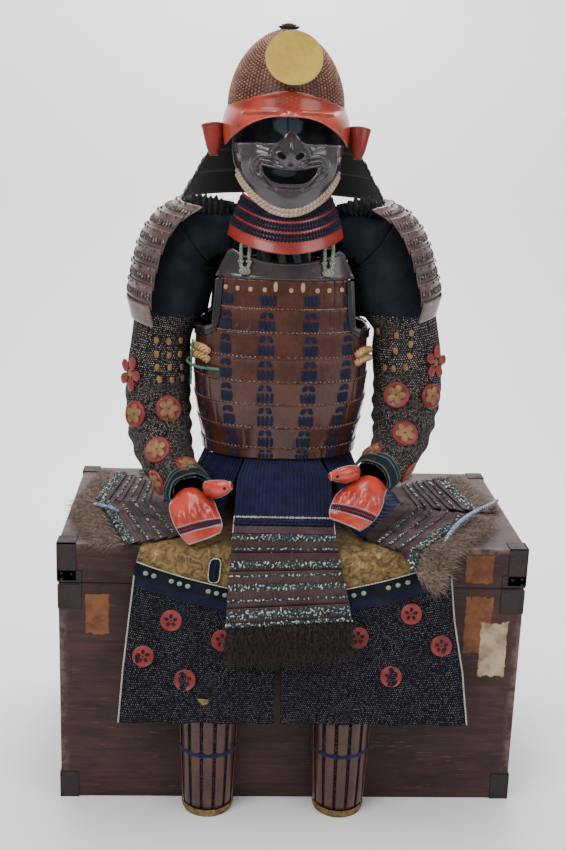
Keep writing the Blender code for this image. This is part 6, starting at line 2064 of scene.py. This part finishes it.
@dataclass
class Tasset:
    """One hanging section of the skirt: a curtain of lacing, ribbed lames, braids and fur."""

    mark: str
    cords: int = 25
    lames: tuple = (0.0, 0.21, 0.41, 0.61, 0.81, 1.0)
    rib: float = 0.0030
    crowd: float = 1.0
    hairs: int = 0
    seed: int = 1

    @property
    def front(self) -> bool:
        """Whether this is the one in the middle of the front."""
        return self.mark == "centre"

    def level(self, a: int, b: int, t: float, u: Array) -> Array:
        """A row of points between two levels of the corners, kept above the lid."""
        c = [np.array(p, float) for p in TASSETS[self.mark]]
        p, q = (mix(c[2 * a + e], c[2 * b + e], t) for e in (0, 1))
        w = (np.sign(u) * np.abs(u) ** self.crowd)[:, None]
        row = p * (1 - w) + q * w
        if abs(c[2][0] - AX) > 0.1 or row[:, 1].max() > 0:
            if not self.front:
                row[:, 2] = np.maximum(row[:, 2], 0.5520 - np.maximum(0.0, -0.272 - row[:, 1]) * 1.6)
        return row

    def lace_place(self, u: Array, v: float) -> Array:
        """The curtain from just inside the cuirass to the lames."""
        drop = 0.012 if self.front else 0.040
        row = self.level(0, 1, max(0.0, v), u)
        row[:, 2] -= drop * math.sin(math.pi * v)
        if v < 0.18:
            p = self.level(0, 1, 0.0, u)
            a, b = float(table_at(TORSO, WAIST_Z, 1)) - 0.006, float(table_at(TORSO, WAIST_Z, 2)) - 0.006
            size = (np.abs((p[:, 0] - AX) / a) ** SQUARE + np.abs(p[:, 1] / b) ** SQUARE) ** (1 / SQUARE)
            top = np.stack([AX + (p[:, 0] - AX) / size, p[:, 1] / size, np.full_like(u, WAIST_Z + 0.004)], axis=1)
            low = top - (0, 0, 0.010)
            row = mix(top, low, v / 0.06) if v < 0.06 else mix(low, self.lace_place(u, 0.18), (v - 0.06) / 0.12)
        return row + SLID[self.mark]

    def plate_place(self, u: Array, v: float) -> Array:
        """The lames' plain surface."""
        return self.level(1, 2, v, u) + SLID[self.mark]

    def fur_place(self, u: Array, v: float) -> Array:
        """The hide under the fur."""
        return self.level(2, 3, v, u) + SLID[self.mark]

    @property
    def under(self):
        """A point below and behind the section."""
        if self.front:
            return (AX, 0.05, 0.42)
        return tuple(np.mean(np.array(TASSETS[self.mark][:6]), axis=0) - np.array([0, 0, 0.3]))

    @property
    def width(self) -> float:
        """The width of the section at its lowest lame."""
        p = self.plate_place(np.array([0.0, 1.0]), 1.0)
        return float(np.linalg.norm(p[1] - p[0]))

    def curtain(self) -> None:
        """Side by side navy cords, pressed together at the lames."""
        count = self.cords
        rng = np.random.default_rng(self.seed + 7)
        deep = rng.uniform(0.65, 1.25, count + 3)
        sway = rng.uniform(-0.25, 0.25, count + 3)

        def lift(u: Array, v: float) -> Array:
            along = u * count
            cord = np.clip(along.astype(int), 0, count)
            along = along + sway[cord] * math.sin(math.pi * min(1.0, max(0.0, v))) * np.sin(along * math.pi) ** 2
            ridge = np.abs(np.sin(along * math.pi)) ** 0.55
            return ridge * 0.0034 * deep[cord] + 0.0010 * np.sin(u * 13 - v * 6) * math.sin(
                math.pi * min(1.0, max(0.0, v))) - 0.0016
        nodes = ["tasset_centre_lacing"] if self.front else []
        spare = 0.0 if self.front else 0.09

        def place(u: Array, v: float) -> Array:
            return self.lace_place(u * (1 + 2 * spare) - spare, v)
        surface(f"lacing_{self.mark}", place, count * 8, np.linspace(0, 1.0, 40), self.under, NAVY,
                "navy_lacing", nodes, wall=0.0016, lift=lift)

    def plates(self) -> None:
        """Ribbed lames, each over the one above it."""
        meshes = []
        ribs = int(self.width / self.rib)
        step = 0.0032 if self.front else 0.0052
        for k in range(5):
            t0, t1 = self.lames[k], self.lames[k + 1]
            last = k == 4

            def strip(u: Array, v: float, t0=t0, t1=t1, last=last) -> Array:
                return self.plate_place(u, min(1.0, t0 + (t1 - t0 + (0 if last else 0.02)) * v))

            def lift(u: Array, v: float) -> Array:
                rib = np.abs(np.sin(u * math.pi * ribs)) ** 0.8
                return step * (1 - v) + rib * 0.0011 - 0.0004
            p, n = lay_out(strip, ribs * (4 if self.front else 3), np.array([0, 0.05, 0.2, 0.6, 1.0]),
                           self.under, lift=lift)
            meshes.append(mesh_of_grid(p, n))
        piece_of(f"lames_{self.mark}", joined(meshes), RIB if self.front else LAME, "brown_lacquer",
                 [f"tasset_{self.mark}"], wall=0.0020, sharp=60)

    def row_of(self, place: Place, t: float, wide: float, tall: float, high: float, rise: float,
               rng: np.random.Generator, skip: float = 0.0) -> bpy.types.Mesh:
        """A row of uneven stitches across the section.

        Args:
            place: the surface that carries them.
            t: how far down it.
            wide: the room each takes.
            tall: half its height.
            high: how far it stands up.
            rise: how far its middle is off the surface.
            rng: the source of the unevenness.
            skip: the share of them left out.

        Returns:
            Their mesh.
        """
        row = place(np.array([0.0, 1.0]), t)
        count = max(4, int(np.linalg.norm(row[1] - row[0]) / wide))
        u = (np.arange(count) + 0.5 + rng.uniform(-0.2, 0.2, count)) / count
        u = u[rng.random(count) >= skip]
        c, across, up, out = axes_at(place, u, t, self.under)
        tilt = rng.normal(0.12, 0.28, (len(u), 1))
        size = rng.uniform(0.75, 1.2, (len(u), 1))
        return CUSHION.many(c + out * rise, (across - up * tilt * 0.4) * wide * 0.55, out * high * size,
                            (up + across * tilt) * tall * size)

    def braids(self) -> None:
        """Mottled braids across the lames, and the stitched bands over the foot of the curtain."""
        rng = np.random.default_rng(self.seed)
        if self.front:
            thick = [self.row_of(self.plate_place, t, 0.0040, tall, 0.0021, rise, rng) for t, tall, rise in (
                (0.035, 0.0064, 0.0040), (0.335, 0.0078, 0.0034), (0.585, 0.0074, 0.0034), (0.880, 0.0105, 0.0036),
                (0.992, 0.0048, 0.0026))]
            thick += [self.row_of(self.plate_place, t, 0.0042, 0.0026, 0.0015, 0.0032, rng, 0.12)
                      for t in (0.163, 0.457, 0.725)]
            pale = [self.row_of(self.lace_place, 0.742, 0.0036, 0.0026, 0.0012, 0.0056, rng)]
            pale += [sewn(self.lace_place, u, float(v), self.under, 0.0040, 0.0013, 0.0014, 0.0016)
                     for u in (0.004, 0.996) for v in np.linspace(0.742, 1.0, 18)]
            navy = [self.row_of(self.lace_place, v, 0.0045, 0.0036, 0.0016, 0.0046, rng) for v in (0.795, 0.845)]

            def band(u: Array, v: float) -> Array:
                return self.lace_place(u, mix(0.888, 1.0, v)) if v < 1 else self.plate_place(u, 0.004)
            surface("pink_band", band, 62 * 6, 5, self.under, PINK_RIB, "brown_lacquer", wall=0.0012,
                    lift=lambda u, v: 0.0034 + 0.0012 * np.abs(np.sin(u * math.pi * 62)) ** 0.8)
        else:
            thick = [self.row_of(self.plate_place, t, 0.0044, tall, 0.0019, rise, rng, 0.16) for t, tall, rise in (
                (0.30, 0.0036, 0.0062), (0.50, 0.0030, 0.0058), (0.70, 0.0036, 0.0058), (0.905, 0.0062, 0.0040),
                (0.985, 0.0050, 0.0034))]
            pale, navy = [], []
        for name, group, finish, slot in (("braids", thick, MOTTLED, "navy_lacing"),
                                          ("pale_stitches", pale, PALE_STITCH, "beige_cord"),
                                          ("navy_band", navy, DARK_NAVY, "navy_lacing")):
            if group:
                piece_of(f"{name}_{self.mark}", joined(group), finish, slot, sharp=0)

    def fur(self) -> None:
        """The hide and the hairs that grow from its upper edge down."""
        start = 0.03 if self.mark == "front_right" else 0.014

        def hide(u: Array, v: float) -> Array:
            return self.fur_place(u, start + (0.80 - start) * v)
        surface(f"hide_{self.mark}", hide, 30, 6, self.under, DARK_FUR, "brown_fur", [f"fur_{self.mark}"],
                wall=0.0014, lift=lambda u, v: 0.0012 * np.sin(u * 50 + v * 9) - 0.0014)
        rng = np.random.default_rng(self.seed + 50)
        u, v = rng.uniform(0.005, 0.995, self.hairs), rng.uniform(0.0, 0.70, self.hairs) ** 1.1
        c, across, up, out = [], [], [], []
        for a, b in zip(u, v):
            one = axes_at(self.fur_place, np.array([a]), float(max(b, 0.02)), self.under)
            for store, value in zip((c, across, up, out), one):
                store.append(value[0])
        c, across, up, out = (np.array(x) for x in (c, across, up, out))
        long = float(np.linalg.norm(self.fur_place(np.array([0.5]), 1.0) - self.fur_place(np.array([0.5]), 0.0)))
        mesh = fur_mesh(c, -up, out, long * (0.72 if self.front else 0.98), self.seed, lie=0.36,
                        spread=0.24 if self.front else 0.42)
        obj = piece_of(f"fur_hairs_{self.mark}", mesh, DARK_FUR if self.front else FUR, "brown_fur", sharp=0)
        lo, hi = np.array(CAD_BOX[0]), np.array(CAD_BOX[1])
        co = np.empty(len(mesh.vertices) * 3)
        mesh.vertices.foreach_get("co", co)
        co = co.reshape(-1, 3)
        co[:, 0] = np.clip(co[:, 0], lo[0] - 0.012, hi[0] + 0.012)
        rest = 0.5408    # the lid's top, where the lowest hairs lie
        on_lid = (np.abs(co[:, 0]) < 0.449) & (co[:, 1] > -0.2395) & (co[:, 2] < rest)
        co[on_lid, 2] = rest + 0.0006 * rng.random(int(on_lid.sum()))
        mesh.vertices.foreach_set("co", co.reshape(-1))
        mesh.update()
        LOG.info("%s has %d hairs", obj.name, self.hairs)

    def build(self) -> None:
        """Makes the section."""
        self.curtain()
        self.plates()
        self.braids()
        if self.hairs:
            self.fur()


CAD_BOX = tuple(tuple(float(c) for c in corner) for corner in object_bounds())

THIGH_PATH = Path([(-0.100, 0.5428, 0), (-0.200, 0.5428, 0), (-0.236, 0.5438, 0), (-0.250, 0.5425, 0),
                   (-0.2595, 0.5355, 0), (-0.263, 0.524, 0), (-0.264, 0.500, 0), (-0.266, 0.460, 0),
                   (-0.271, 0.415, 0), (-0.284, 0.350, 0), (-0.304, 0.280, 0), (-0.332, 0.215, 0)])
THIGH_OUT = [(0.00, -0.235, 0.235), (0.25, -0.285, 0.282), (0.40, -0.303, 0.300), (0.60, -0.314, 0.312),
             (0.80, -0.324, 0.330), (1.00, -0.330, 0.338)]
#        half the width of the apron, and a point inside the chest that every cloth of it faces away from
PANEL_WIDTH = 0.29
IN_CHEST = (0, 0.0, 0.40)


@dataclass
class ThighGuard:
    """The apron over the thighs: gilt cloth above, mail with roundels below, one pair of panels."""

    side: Side
    #  x and z of the roundels' middles
    roundels: tuple = ()

    def sides(self, s):
        """x of the slit's edge and of the outer edge, s along the drop."""
        rows, *edges = zip(*THIGH_OUT)
        return (AX + self.side.value * (0.004 + 0.006 * np.maximum(0.0, s - 0.5)),
                np.interp(s, rows, edges[0 if self.side is Side.LEFT else 1]))

    def point(self, s, k) -> Array:
        """Points of the cloth: s along its drop, k from the slit (0) to the outer edge (1)."""
        s, k = np.broadcast_arrays(np.asarray(s, float), np.asarray(k, float))
        yz = THIGH_PATH.at(s.ravel())
        x = mix(*self.sides(s.ravel()), k.ravel())
        fold = 0.004 * np.maximum(0.0, s.ravel() - 0.35) * np.sin(7 * math.pi * k.ravel() + 0.6)
        fold = np.where((k.ravel() > 0) & (k.ravel() < 1), fold, 0.0)
        return np.stack([x, yz[:, 0] - fold, yz[:, 1]], axis=1)

    def s_at(self, z):
        """How far along the drop a level is, in front of the lid."""
        t = np.linspace(80 / 239, 1, 160)
        return np.interp(-np.asarray(z, float), -THIGH_PATH.at(t)[:, 1], t)

    def hem(self, k):
        """Level of the gilt cloth's lower edge."""
        k = np.asarray(k, float)
        return 0.452 + 0.063 * k ** 1.5 if self.side is Side.LEFT else 0.450 + 0.075 * k ** 1.6

    def upper(self, u: Array, v: float) -> Array:
        """The gilt cloth from the lid over its front edge to the hem."""
        return self.point(self.s_at(self.hem(u)) * v, u)

    def lower(self, u: Array, v: float) -> Array:
        """The mail cloth from the hem down."""
        start = self.s_at(self.hem(u)) + 0.0030
        return self.point(start + (1 - start) * v, u)

    def cloths(self) -> None:
        """The two cloths of this side."""
        mark = self.side.mark
        behind = IN_CHEST

        def crinkle(u: Array, v: float) -> Array:
            wave = np.sin(u * 23 + 7 * v) * np.sin(v * 17 - u * 9) + 0.6 * np.sin(u * 51 - v * 33)
            hang = max(0.0, min(1.0, (v - 0.35) * 3))
            return wave * (0.0007 + 0.0010 * hang) + 0.0006
        cloth_piece(f"gilt_cloth_{mark}", self.upper, 84, 84, behind, GOLD_CLOTH, "gold_brown_cloth",
                    [f"thigh_panel_{mark}"], ["chest_lid"], lift=crinkle)

        def drape(u: Array, v: float) -> Array:
            soft = np.sin(u * 21 + 1.5 * v) * 0.0038 + np.sin(u * 37 - 2 * v) * 0.0014
            return soft * min(1.0, v * 1.5) + 0.0010 * np.sin(u * 70 + v * 50) * np.sin(v * 61)
        cloth_piece(f"mail_apron_{mark}", self.lower, 100, 74, behind, THIGH_MAIL, "mail_cloth",
                    [f"thigh_mail_{mark}"], [f"gilt_cloth_{mark}"], lift=drape)

    def band(self, name: str, line: Callable[[Array], Array], wide: float, finish, slot: str, out: float,
             steps: int = 120, thick: float = 0.0012, down: bool = True) -> None:
        """A flat band sewn on along a line of the cloth.

        Args:
            name: the piece's name.
            line: gives s and k of the band's upper or inner edge from its length parts.
            wide: its width, down the drop, or across it.
            finish: its finish.
            slot: its material slot.
            out: how far it stands off the cloth.
            steps: faces along it.
            thick: its thickness.
            down: whether the width runs down the drop.
        """
        def place(u: Array, v: float) -> Array:
            s, k = line(u).T
            if down:
                return self.point(np.clip(s + wide / THIGH_PATH.length * v, 0, 1), k)
            return self.point(s, np.clip(k + wide / PANEL_WIDTH * v, 0, 1))
        surface(name, place, steps, 5, IN_CHEST, finish, slot, wall=thick,
                lift=lambda u, v: np.full_like(u, out))

    def trims(self) -> None:
        """The navy border with its row of pale marks, the white piping, the edge bands and the roundels."""
        mark = self.side.mark
        behind = IN_CHEST
        self.band(f"hem_band_{mark}", lambda u: np.stack([self.s_at(self.hem(u)) - 0.001, u], 1), 0.027,
                  BORDER, "indigo_cloth", 0.0036)
        self.band(f"slit_band_{mark}", lambda u: np.stack([0.30 + (self.s_at(self.hem(0.0)) - 0.30) * u,
                                                           np.zeros_like(u) + 0.004], 1), 0.013, BORDER,
                  "indigo_cloth", 0.0032, down=False)
        self.band(f"navy_band_{mark}", lambda u: np.stack([self.s_at(self.hem(u)) + 0.033, u], 1), 0.030,
                  FADED_NAVY, "indigo_cloth", 0.0022)

        def line_of(s_of: Callable[[Array], Array], k_of: Callable[[Array], Array], steps: int, off: float):
            t = np.linspace(0, 1, steps)
            return self.point(s_of(t), k_of(t)) - np.array([0.0, off, -off * 0.2])
        pipes = [cord_mesh(line_of(lambda t: self.s_at(self.hem(t)) - 0.0012, lambda t: t, 60, 0.0050), 0.0013,
                           150, 6),
                 cord_mesh(line_of(lambda t: 0.42 + 0.58 * t, lambda t: 0.996 + 0 * t, 40, 0.0022), 0.0016,
                           150, 6),
                 cord_mesh(line_of(lambda t: 0.30 + (self.s_at(self.hem(0.0)) - 0.30) * t,
                                   lambda t: 0.052 + 0 * t, 30, 0.0042), 0.0011, 60, 6)]
        if self.side is Side.LEFT:
            tab_k, tab_s = 0.445, 0.40
            turn = np.linspace(0, TAU, 34)
            half_k, half_s = 0.0105 / 0.26, 0.024 / THIGH_PATH.length
            s = tab_s + half_s * power(np.cos(turn), 0.55)
            k = tab_k + half_k * power(np.sin(turn), 0.55)
            pipes.append(cord_mesh(self.point(s, k) - np.array([0, 0.0062, 0]), 0.0012, 90, 6))
            surface("navy_tab", lambda u, v: self.point(tab_s + half_s * (v * 2 - 1) + 0 * u,
                                                        tab_k + half_k * (u * 2 - 1)), 10, 24, behind, BORDER,
                    "indigo_cloth", wall=0.0012, lift=lambda u, v: np.full_like(u, 0.0044))
            surface("tab_slot", lambda u, v: self.point(tab_s + half_s * 0.7 * (v * 2 - 1) + 0 * u,
                                                        tab_k + half_k * 0.22 * (u * 2 - 1)), 4, 20, behind,
                    FADED_NAVY, "indigo_cloth", wall=0.0010, lift=lambda u, v: np.full_like(u, 0.0058))
        piece_of(f"piping_{mark}", joined(pipes), PIPING, "beige_cord", sharp=0)
        k = np.concatenate([np.arange(3) * 0.058 + start for start in (0.10, 0.36, 0.62, 0.86)])[:11]
        s = self.s_at(self.hem(k)) + 0.0135 / THIGH_PATH.length
        c = self.point(s, k) - np.array([0, 0.0052, 0])
        one = np.ones((len(k), 1))
        piece_of(f"hem_marks_{mark}", CUSHION.many(c, one * (0.0052, 0, 0), one * (0, 0.0014, 0),
                                                   one * (0, 0, 0.0048)), MARK, "beige_cord", sharp=0)
        reds, darks = [], []
        for x, z in self.roundels:
            s = float(self.s_at(z))
            inner, edge = self.sides(s)
            k0 = (x - inner) / (edge - inner)
            spot = axes_at(lambda u, v: self.point(np.full_like(u, v), u), np.array([k0]), s, behind)
            c, across, up, out = spot
            r = 0.0205
            bm = turned([(0.0, 0.0022), (r * 0.82, 0.0026), (r * 0.92, 0.0038), (r, 0.0026), (r, -0.0040)], 44)
            reds.append(Template(bm).many(c + out * 0.0012, across, up, out))
            darks.append(petals(spot, 0.0, r * 0.42, r * 0.17, 0.0011, r * 0.21, 0.0036))
            darks.append(FULL_CUSHION.many(c + out * 0.0036, across * r * 0.08, out * 0.0010, up * r * 0.08))
        for name, meshes, finish in (("apron_roundels", reds, ROSE_RED), ("apron_petals", darks, DARK_PETAL)):
            piece_of(f"{name}_{mark}", joined(meshes), finish, "red_lacquer", sharp=30)

    def build(self) -> None:
        """Makes this side of the apron."""
        self.cloths()
        self.trims()


BORDER = Weave("border_cloth", (0.004, 0.006, 0.009), (0.009, 0.014, 0.017), crumple=0.0010)
FADED_NAVY = Weave("faded_navy", (0.006, 0.008, 0.022), (0.014, 0.018, 0.046), crumple=0.0014)
PINK_RIB = Weave("pink_ribs", (0.070, 0.036, 0.046), (0.130, 0.072, 0.085), crumple=0.0)
LAME = Weave("laced_lame", (0.055, 0.032, 0.034), (0.140, 0.090, 0.092), crumple=0.0006)
MARK = Braid("pale_mark", (0.26, 0.28, 0.22), (0.40, 0.42, 0.34))
DARK_PETAL = Weave("dark_petal", (0.020, 0.012, 0.018), (0.045, 0.020, 0.030), crumple=0.0)


@dataclass
class Greave:
    """A shin guard on the floor before the chest: iron splints on dark cloth, laced bands."""

    side: Side
    drop: float = 0.0

    def place(self, u: Array, v: float) -> Array:
        """The guard's plain surface from its top to the floor."""
        w = 1 - v
        z = 0.0005 + 0.262 * w
        a, b = mix(0.046, 0.060, w ** 0.7), mix(0.052, 0.062, math.sin(math.pi * w) * 0.6)
        t = np.radians(mix(-90, 90, u))
        return np.stack([AX + self.side.value * 0.130 + a * np.sin(t), -0.252 - self.drop - b * np.cos(t),
                         np.full_like(u, z)], axis=1)

    def build(self) -> None:
        """Makes the guard, its splints and its bands."""
        mark = self.side.mark
        behind = (AX + self.side.value * 0.130, -0.240, 0.13)
        surface(f"greave_cloth_{mark}", self.place, 60, 40, behind, THIGH_MAIL, "mail_cloth",
                [f"greave_{mark}"], wall=0.0025)
        splints = []
        for k in range(7):
            mid = (k + 0.5) / 7

            def strip(u: Array, v: float, mid=mid) -> Array:
                return self.place(mid + (u - 0.5) * 0.108, 0.13 + 0.80 * v)
            p, n = lay_out(strip, 10, np.linspace(0, 1, 25), behind, lift=lambda u, v: 0.0022 + 0.0014 * np.sin(
                math.pi * u) ** 0.7 * min(1.0, math.sin(math.pi * np.clip(v, 0.01, 0.99)) * 5))
            splints.append(mesh_of_grid(p, n))
        piece_of(f"greave_splints_{mark}", joined(splints), RUSSET, "russet_iron", wall=0.0016, sharp=50)
        for name, low, high, finish, slot in (("top", 0.03, 0.12, GOLD_CLOTH, "gold_brown_cloth"),
                                              ("foot", 0.945, 1.0, GOLD_CLOTH, "gold_brown_cloth"),
                                              ("tie", 0.46, 0.50, NAVY, "navy_lacing")):
            surface(f"greave_{name}_{mark}", lambda u, v, low=low, high=high: self.place(u, low + (high - low) * v),
                    60, 6, behind, finish, slot, wall=0.0012, lift=lambda u, v: 0.0030 + 0.0012 * np.sin(
                        math.pi * v) + 0 * u)


@dataclass
class Collar:
    """The dark cloth at the throat, striped blue-grey."""

    def build(self) -> None:
        """Makes the collar."""
        bib_y = AY - 0.014 - GAP - 0.0001

        def place(u: Array, v: float) -> Array:
            w = np.radians(mix(-90, 90, u))
            return np.stack([AX + mix(0.055, 0.050, v) * np.sin(w), bib_y - mix(0.104, 0.092, v) * np.cos(w),
                             np.full_like(u, mix(1.050, 1.150, v))], axis=1)

        def fold(u: Array, v: float) -> Array:
            return -0.0010 + 0.0010 * np.sin(u * 60 + v * 4) * math.sin(math.pi * v)
        cloth_piece("collar_cloth", place, 70, 24, (AX, 0.0, 1.1), STRIPED, "indigo_cloth", ["collar"],
                    ["chest_plate"], lift=fold, wall=0.0020)


@dataclass(frozen=True)
class Striped:
    """Dark cloth with slanting blue-grey stripes."""

    name: str = "striped_cloth"

    def build(self) -> bpy.types.Material:
        """Makes the material."""
        s = Shader(self.name)
        x, _, z = s.axes()
        band = ((x - AX + z * 0.28) / 0.030).fract()
        stripe = band.ramp(0.44, 0.50) * band.ramp(0.94, 1.0, 1.0, 0.0)
        weave = ((x * 1400.0).sin() * (z * 1400.0).sin()) * 0.5 + 0.5
        tone = s.blend(stripe, (0.010, 0.012, 0.015), (0.125, 0.165, 0.185))
        tone = s.blend(s.noise(80, 4).ramp(0.4, 0.7) * 0.5, tone, (0.02, 0.025, 0.03))
        return s.done(tone, weave * 0.1 + 0.8, 0.0, 0.0,
                      s.bump(weave, 0.0002, 0.6, s.bump(s.noise(45, 4), 0.002, 0.7)), sheen=0.05)


STRIPED = Striped()


@dataclass
class Braids:
    """The slim blue and white braids that lie on the skirt."""

    def build(self) -> None:
        """Makes the braids."""
        for name, line, r in (
                ("braid_right_outer", ((0.232, -0.300, 0.500), (0.268, -0.262, 0.535), (0.310, -0.200, 0.5665),
                                       (0.352, -0.130, 0.5675), (0.385, -0.078, 0.5655)), 0.0045),
                ("braid_right_long", ((0.330, -0.155, 0.5660), (0.372, -0.095, 0.5660), (0.418, -0.030, 0.5600),
                                      (0.440, 0.002, 0.5580)), 0.0042),
                ("braid_left", ((-0.400, -0.060, 0.5560), (-0.386, -0.075, 0.5600), (-0.362, -0.098, 0.5620),
                                (-0.345, -0.118, 0.5610)), 0.0040)):
            path = Path(line)
            fine = path.at(np.linspace(0, 1, 40))
            mesh = cord_mesh(fine, r, 90, 12, strands=3, twist=14, deep=0.25, ends=0.85)
            obj = piece_of(name, mesh, BLUE_WHITE, "navy_lacing", sharp=0)
            path.length


BLUE_WHITE = Braid("blue_white_braid", (0.10, 0.14, 0.26), (0.20, 0.25, 0.38), fleck=(0.50, 0.52, 0.55))


class Studio:
    """The plain floor, soft lights and the camera."""

    @staticmethod
    def floor() -> None:
        """A pale floor that curves up behind."""
        bm = bmesh.new()
        bmesh.ops.create_grid(bm, x_segments=4, y_segments=60, size=0.5)
        for vert in bm.verts:
            u, v = vert.co.x, vert.co.y + 0.5
            run = -2.5 + v * 8.0
            bend, r = 1.9, 0.9
            if run < bend:
                y, z = run, 0.0
            elif run < bend + r * math.pi / 2:
                a = (run - bend) / r
                y, z = bend + r * math.sin(a), r * (1 - math.cos(a))
            else:
                y, z = bend + r, r + run - bend - r * math.pi / 2
            vert.co = (u * 9.0, y, z - 0.0003)
        for face in bm.faces:
            face.smooth = True
        mesh = bpy.data.meshes.new("studio_floor")
        bm.to_mesh(mesh)
        bm.free()
        s = Shader("floor_grey")
        mesh.materials.append(s.done((0.87, 0.87, 0.87), 0.85))
        rear = s.node("ShaderNodeNewGeometry", {}).outputs["Backfacing"]
        clear = s.node("ShaderNodeBsdfTransparent", {}).outputs[0]
        both = s.node("ShaderNodeMixShader", {0: rear, 1: s.surface.outputs[0], 2: clear})
        s.tree.links.new(both.outputs[0], s.tree.nodes["Material Output"].inputs["Surface"])
        obj = bpy.data.objects.new("studio_floor", mesh)
        bpy.context.scene.collection.objects.link(obj)
        obj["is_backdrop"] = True

    @staticmethod
    def lamp(name: str, place: Colour, aim: Colour, size: float, power_w: float, tint: Colour) -> None:
        """One soft area light."""
        data = bpy.data.lights.new(name, "AREA")
        data.shape, data.size, data.energy, data.color = "DISK", size, power_w, tint
        obj = bpy.data.objects.new(name, data)
        bpy.context.scene.collection.objects.link(obj)
        obj.location = place
        obj.rotation_euler = (Vector(aim) - Vector(place)).to_track_quat("-Z", "Y").to_euler()

    @staticmethod
    def camera() -> None:
        """The camera where the photograph was taken from."""
        pitch, yaw, roll = (math.radians(a) for a in (15.493, 2.865, 1.8906))
        forward = Vector((math.sin(yaw) * math.cos(pitch), math.cos(yaw) * math.cos(pitch), -math.sin(pitch)))
        right = Vector((math.cos(yaw), -math.sin(yaw), 0.0))
        up = right.cross(forward)
        r, u = right * math.cos(roll) + up * math.sin(roll), up * math.cos(roll) - right * math.sin(roll)
        data = bpy.data.cameras.new("camera")
        data.sensor_fit, data.sensor_width = "AUTO", 36.0
        data.lens = 1245.56 / 850 * 36.0
        obj = bpy.data.objects.new("camera", data)
        bpy.context.scene.collection.objects.link(obj)
        turn = Matrix((r, u, -forward)).transposed().to_4x4()
        obj.matrix_world = Matrix.Translation((-0.1416, -2.4633, 1.3977)) @ turn
        bpy.context.scene.camera = obj

    def build(self) -> None:
        """Sets up the studio."""
        self.camera()
        self.floor()
        self.lamp("key", (-1.8, -2.2, 3.0), (0, 0, 0.8), 2.2, 90, (1.0, 0.99, 0.97))
        self.lamp("fill", (2.3, -2.0, 2.1), (0, 0, 0.8), 2.4, 48, (0.96, 0.98, 1.0))
        self.lamp("top", (0.0, 0.2, 3.6), (0, 0, 0.5), 2.6, 60, (1.0, 1.0, 1.0))
        self.lamp("back", (0.3, 2.2, 2.6), (0, 0, 0.9), 2.0, 30, (1.0, 1.0, 1.0))
        self.lamp("backdrop", (0.0, 1.1, 3.3), (0, 3.0, 0.9), 2.6, 120, (1.0, 1.0, 1.0))
        world = bpy.data.worlds.new("studio")
        bpy.context.scene.world = world
        world.use_nodes = True
        world.node_tree.nodes["Background"].inputs["Color"].default_value = (0.92, 0.94, 1.0, 1.0)
        world.node_tree.nodes["Background"].inputs["Strength"].default_value = 0.42


def main() -> None:
    """Builds every sub-assembly in order."""
    Studio().build()
    Face().build()
    Cuirass().build()
    arms = (Arm(Side.LEFT, **LEFT_ARM), Arm(Side.RIGHT, **RIGHT_ARM))
    for arm in arms:
        arm.build()
    Chest().build()
    dress("stand", STAND_WOOD)
    HeadForm().build()
    Helmet().build()
    Collar().build()
    for section in (Tasset("centre", 25, hairs=2600, seed=11), Tasset("front_left", 14, hairs=1700, seed=12),
                    Tasset("front_right", 14, crowd=1.7, hairs=1900, seed=13),
                    Tasset("side_left", 12, hairs=1300, seed=14), Tasset("side_right", 12, hairs=1300, seed=15),
                    Tasset("back_left", 12, seed=16), Tasset("back_right", 12, seed=17)):
        section.build()
    ThighGuard(Side.LEFT, ((-0.233, 0.400), (-0.285, 0.333), (-0.135, 0.364), (-0.205, 0.290))).build()
    ThighGuard(Side.RIGHT, ((0.226, 0.418), (0.286, 0.358), (0.125, 0.371), (0.190, 0.300))).build()
    Greave(Side.LEFT, 0.00491).build()
    Greave(Side.RIGHT, 0.00565).build()
    Braids().build()


if __name__ == "__main__":
    main()
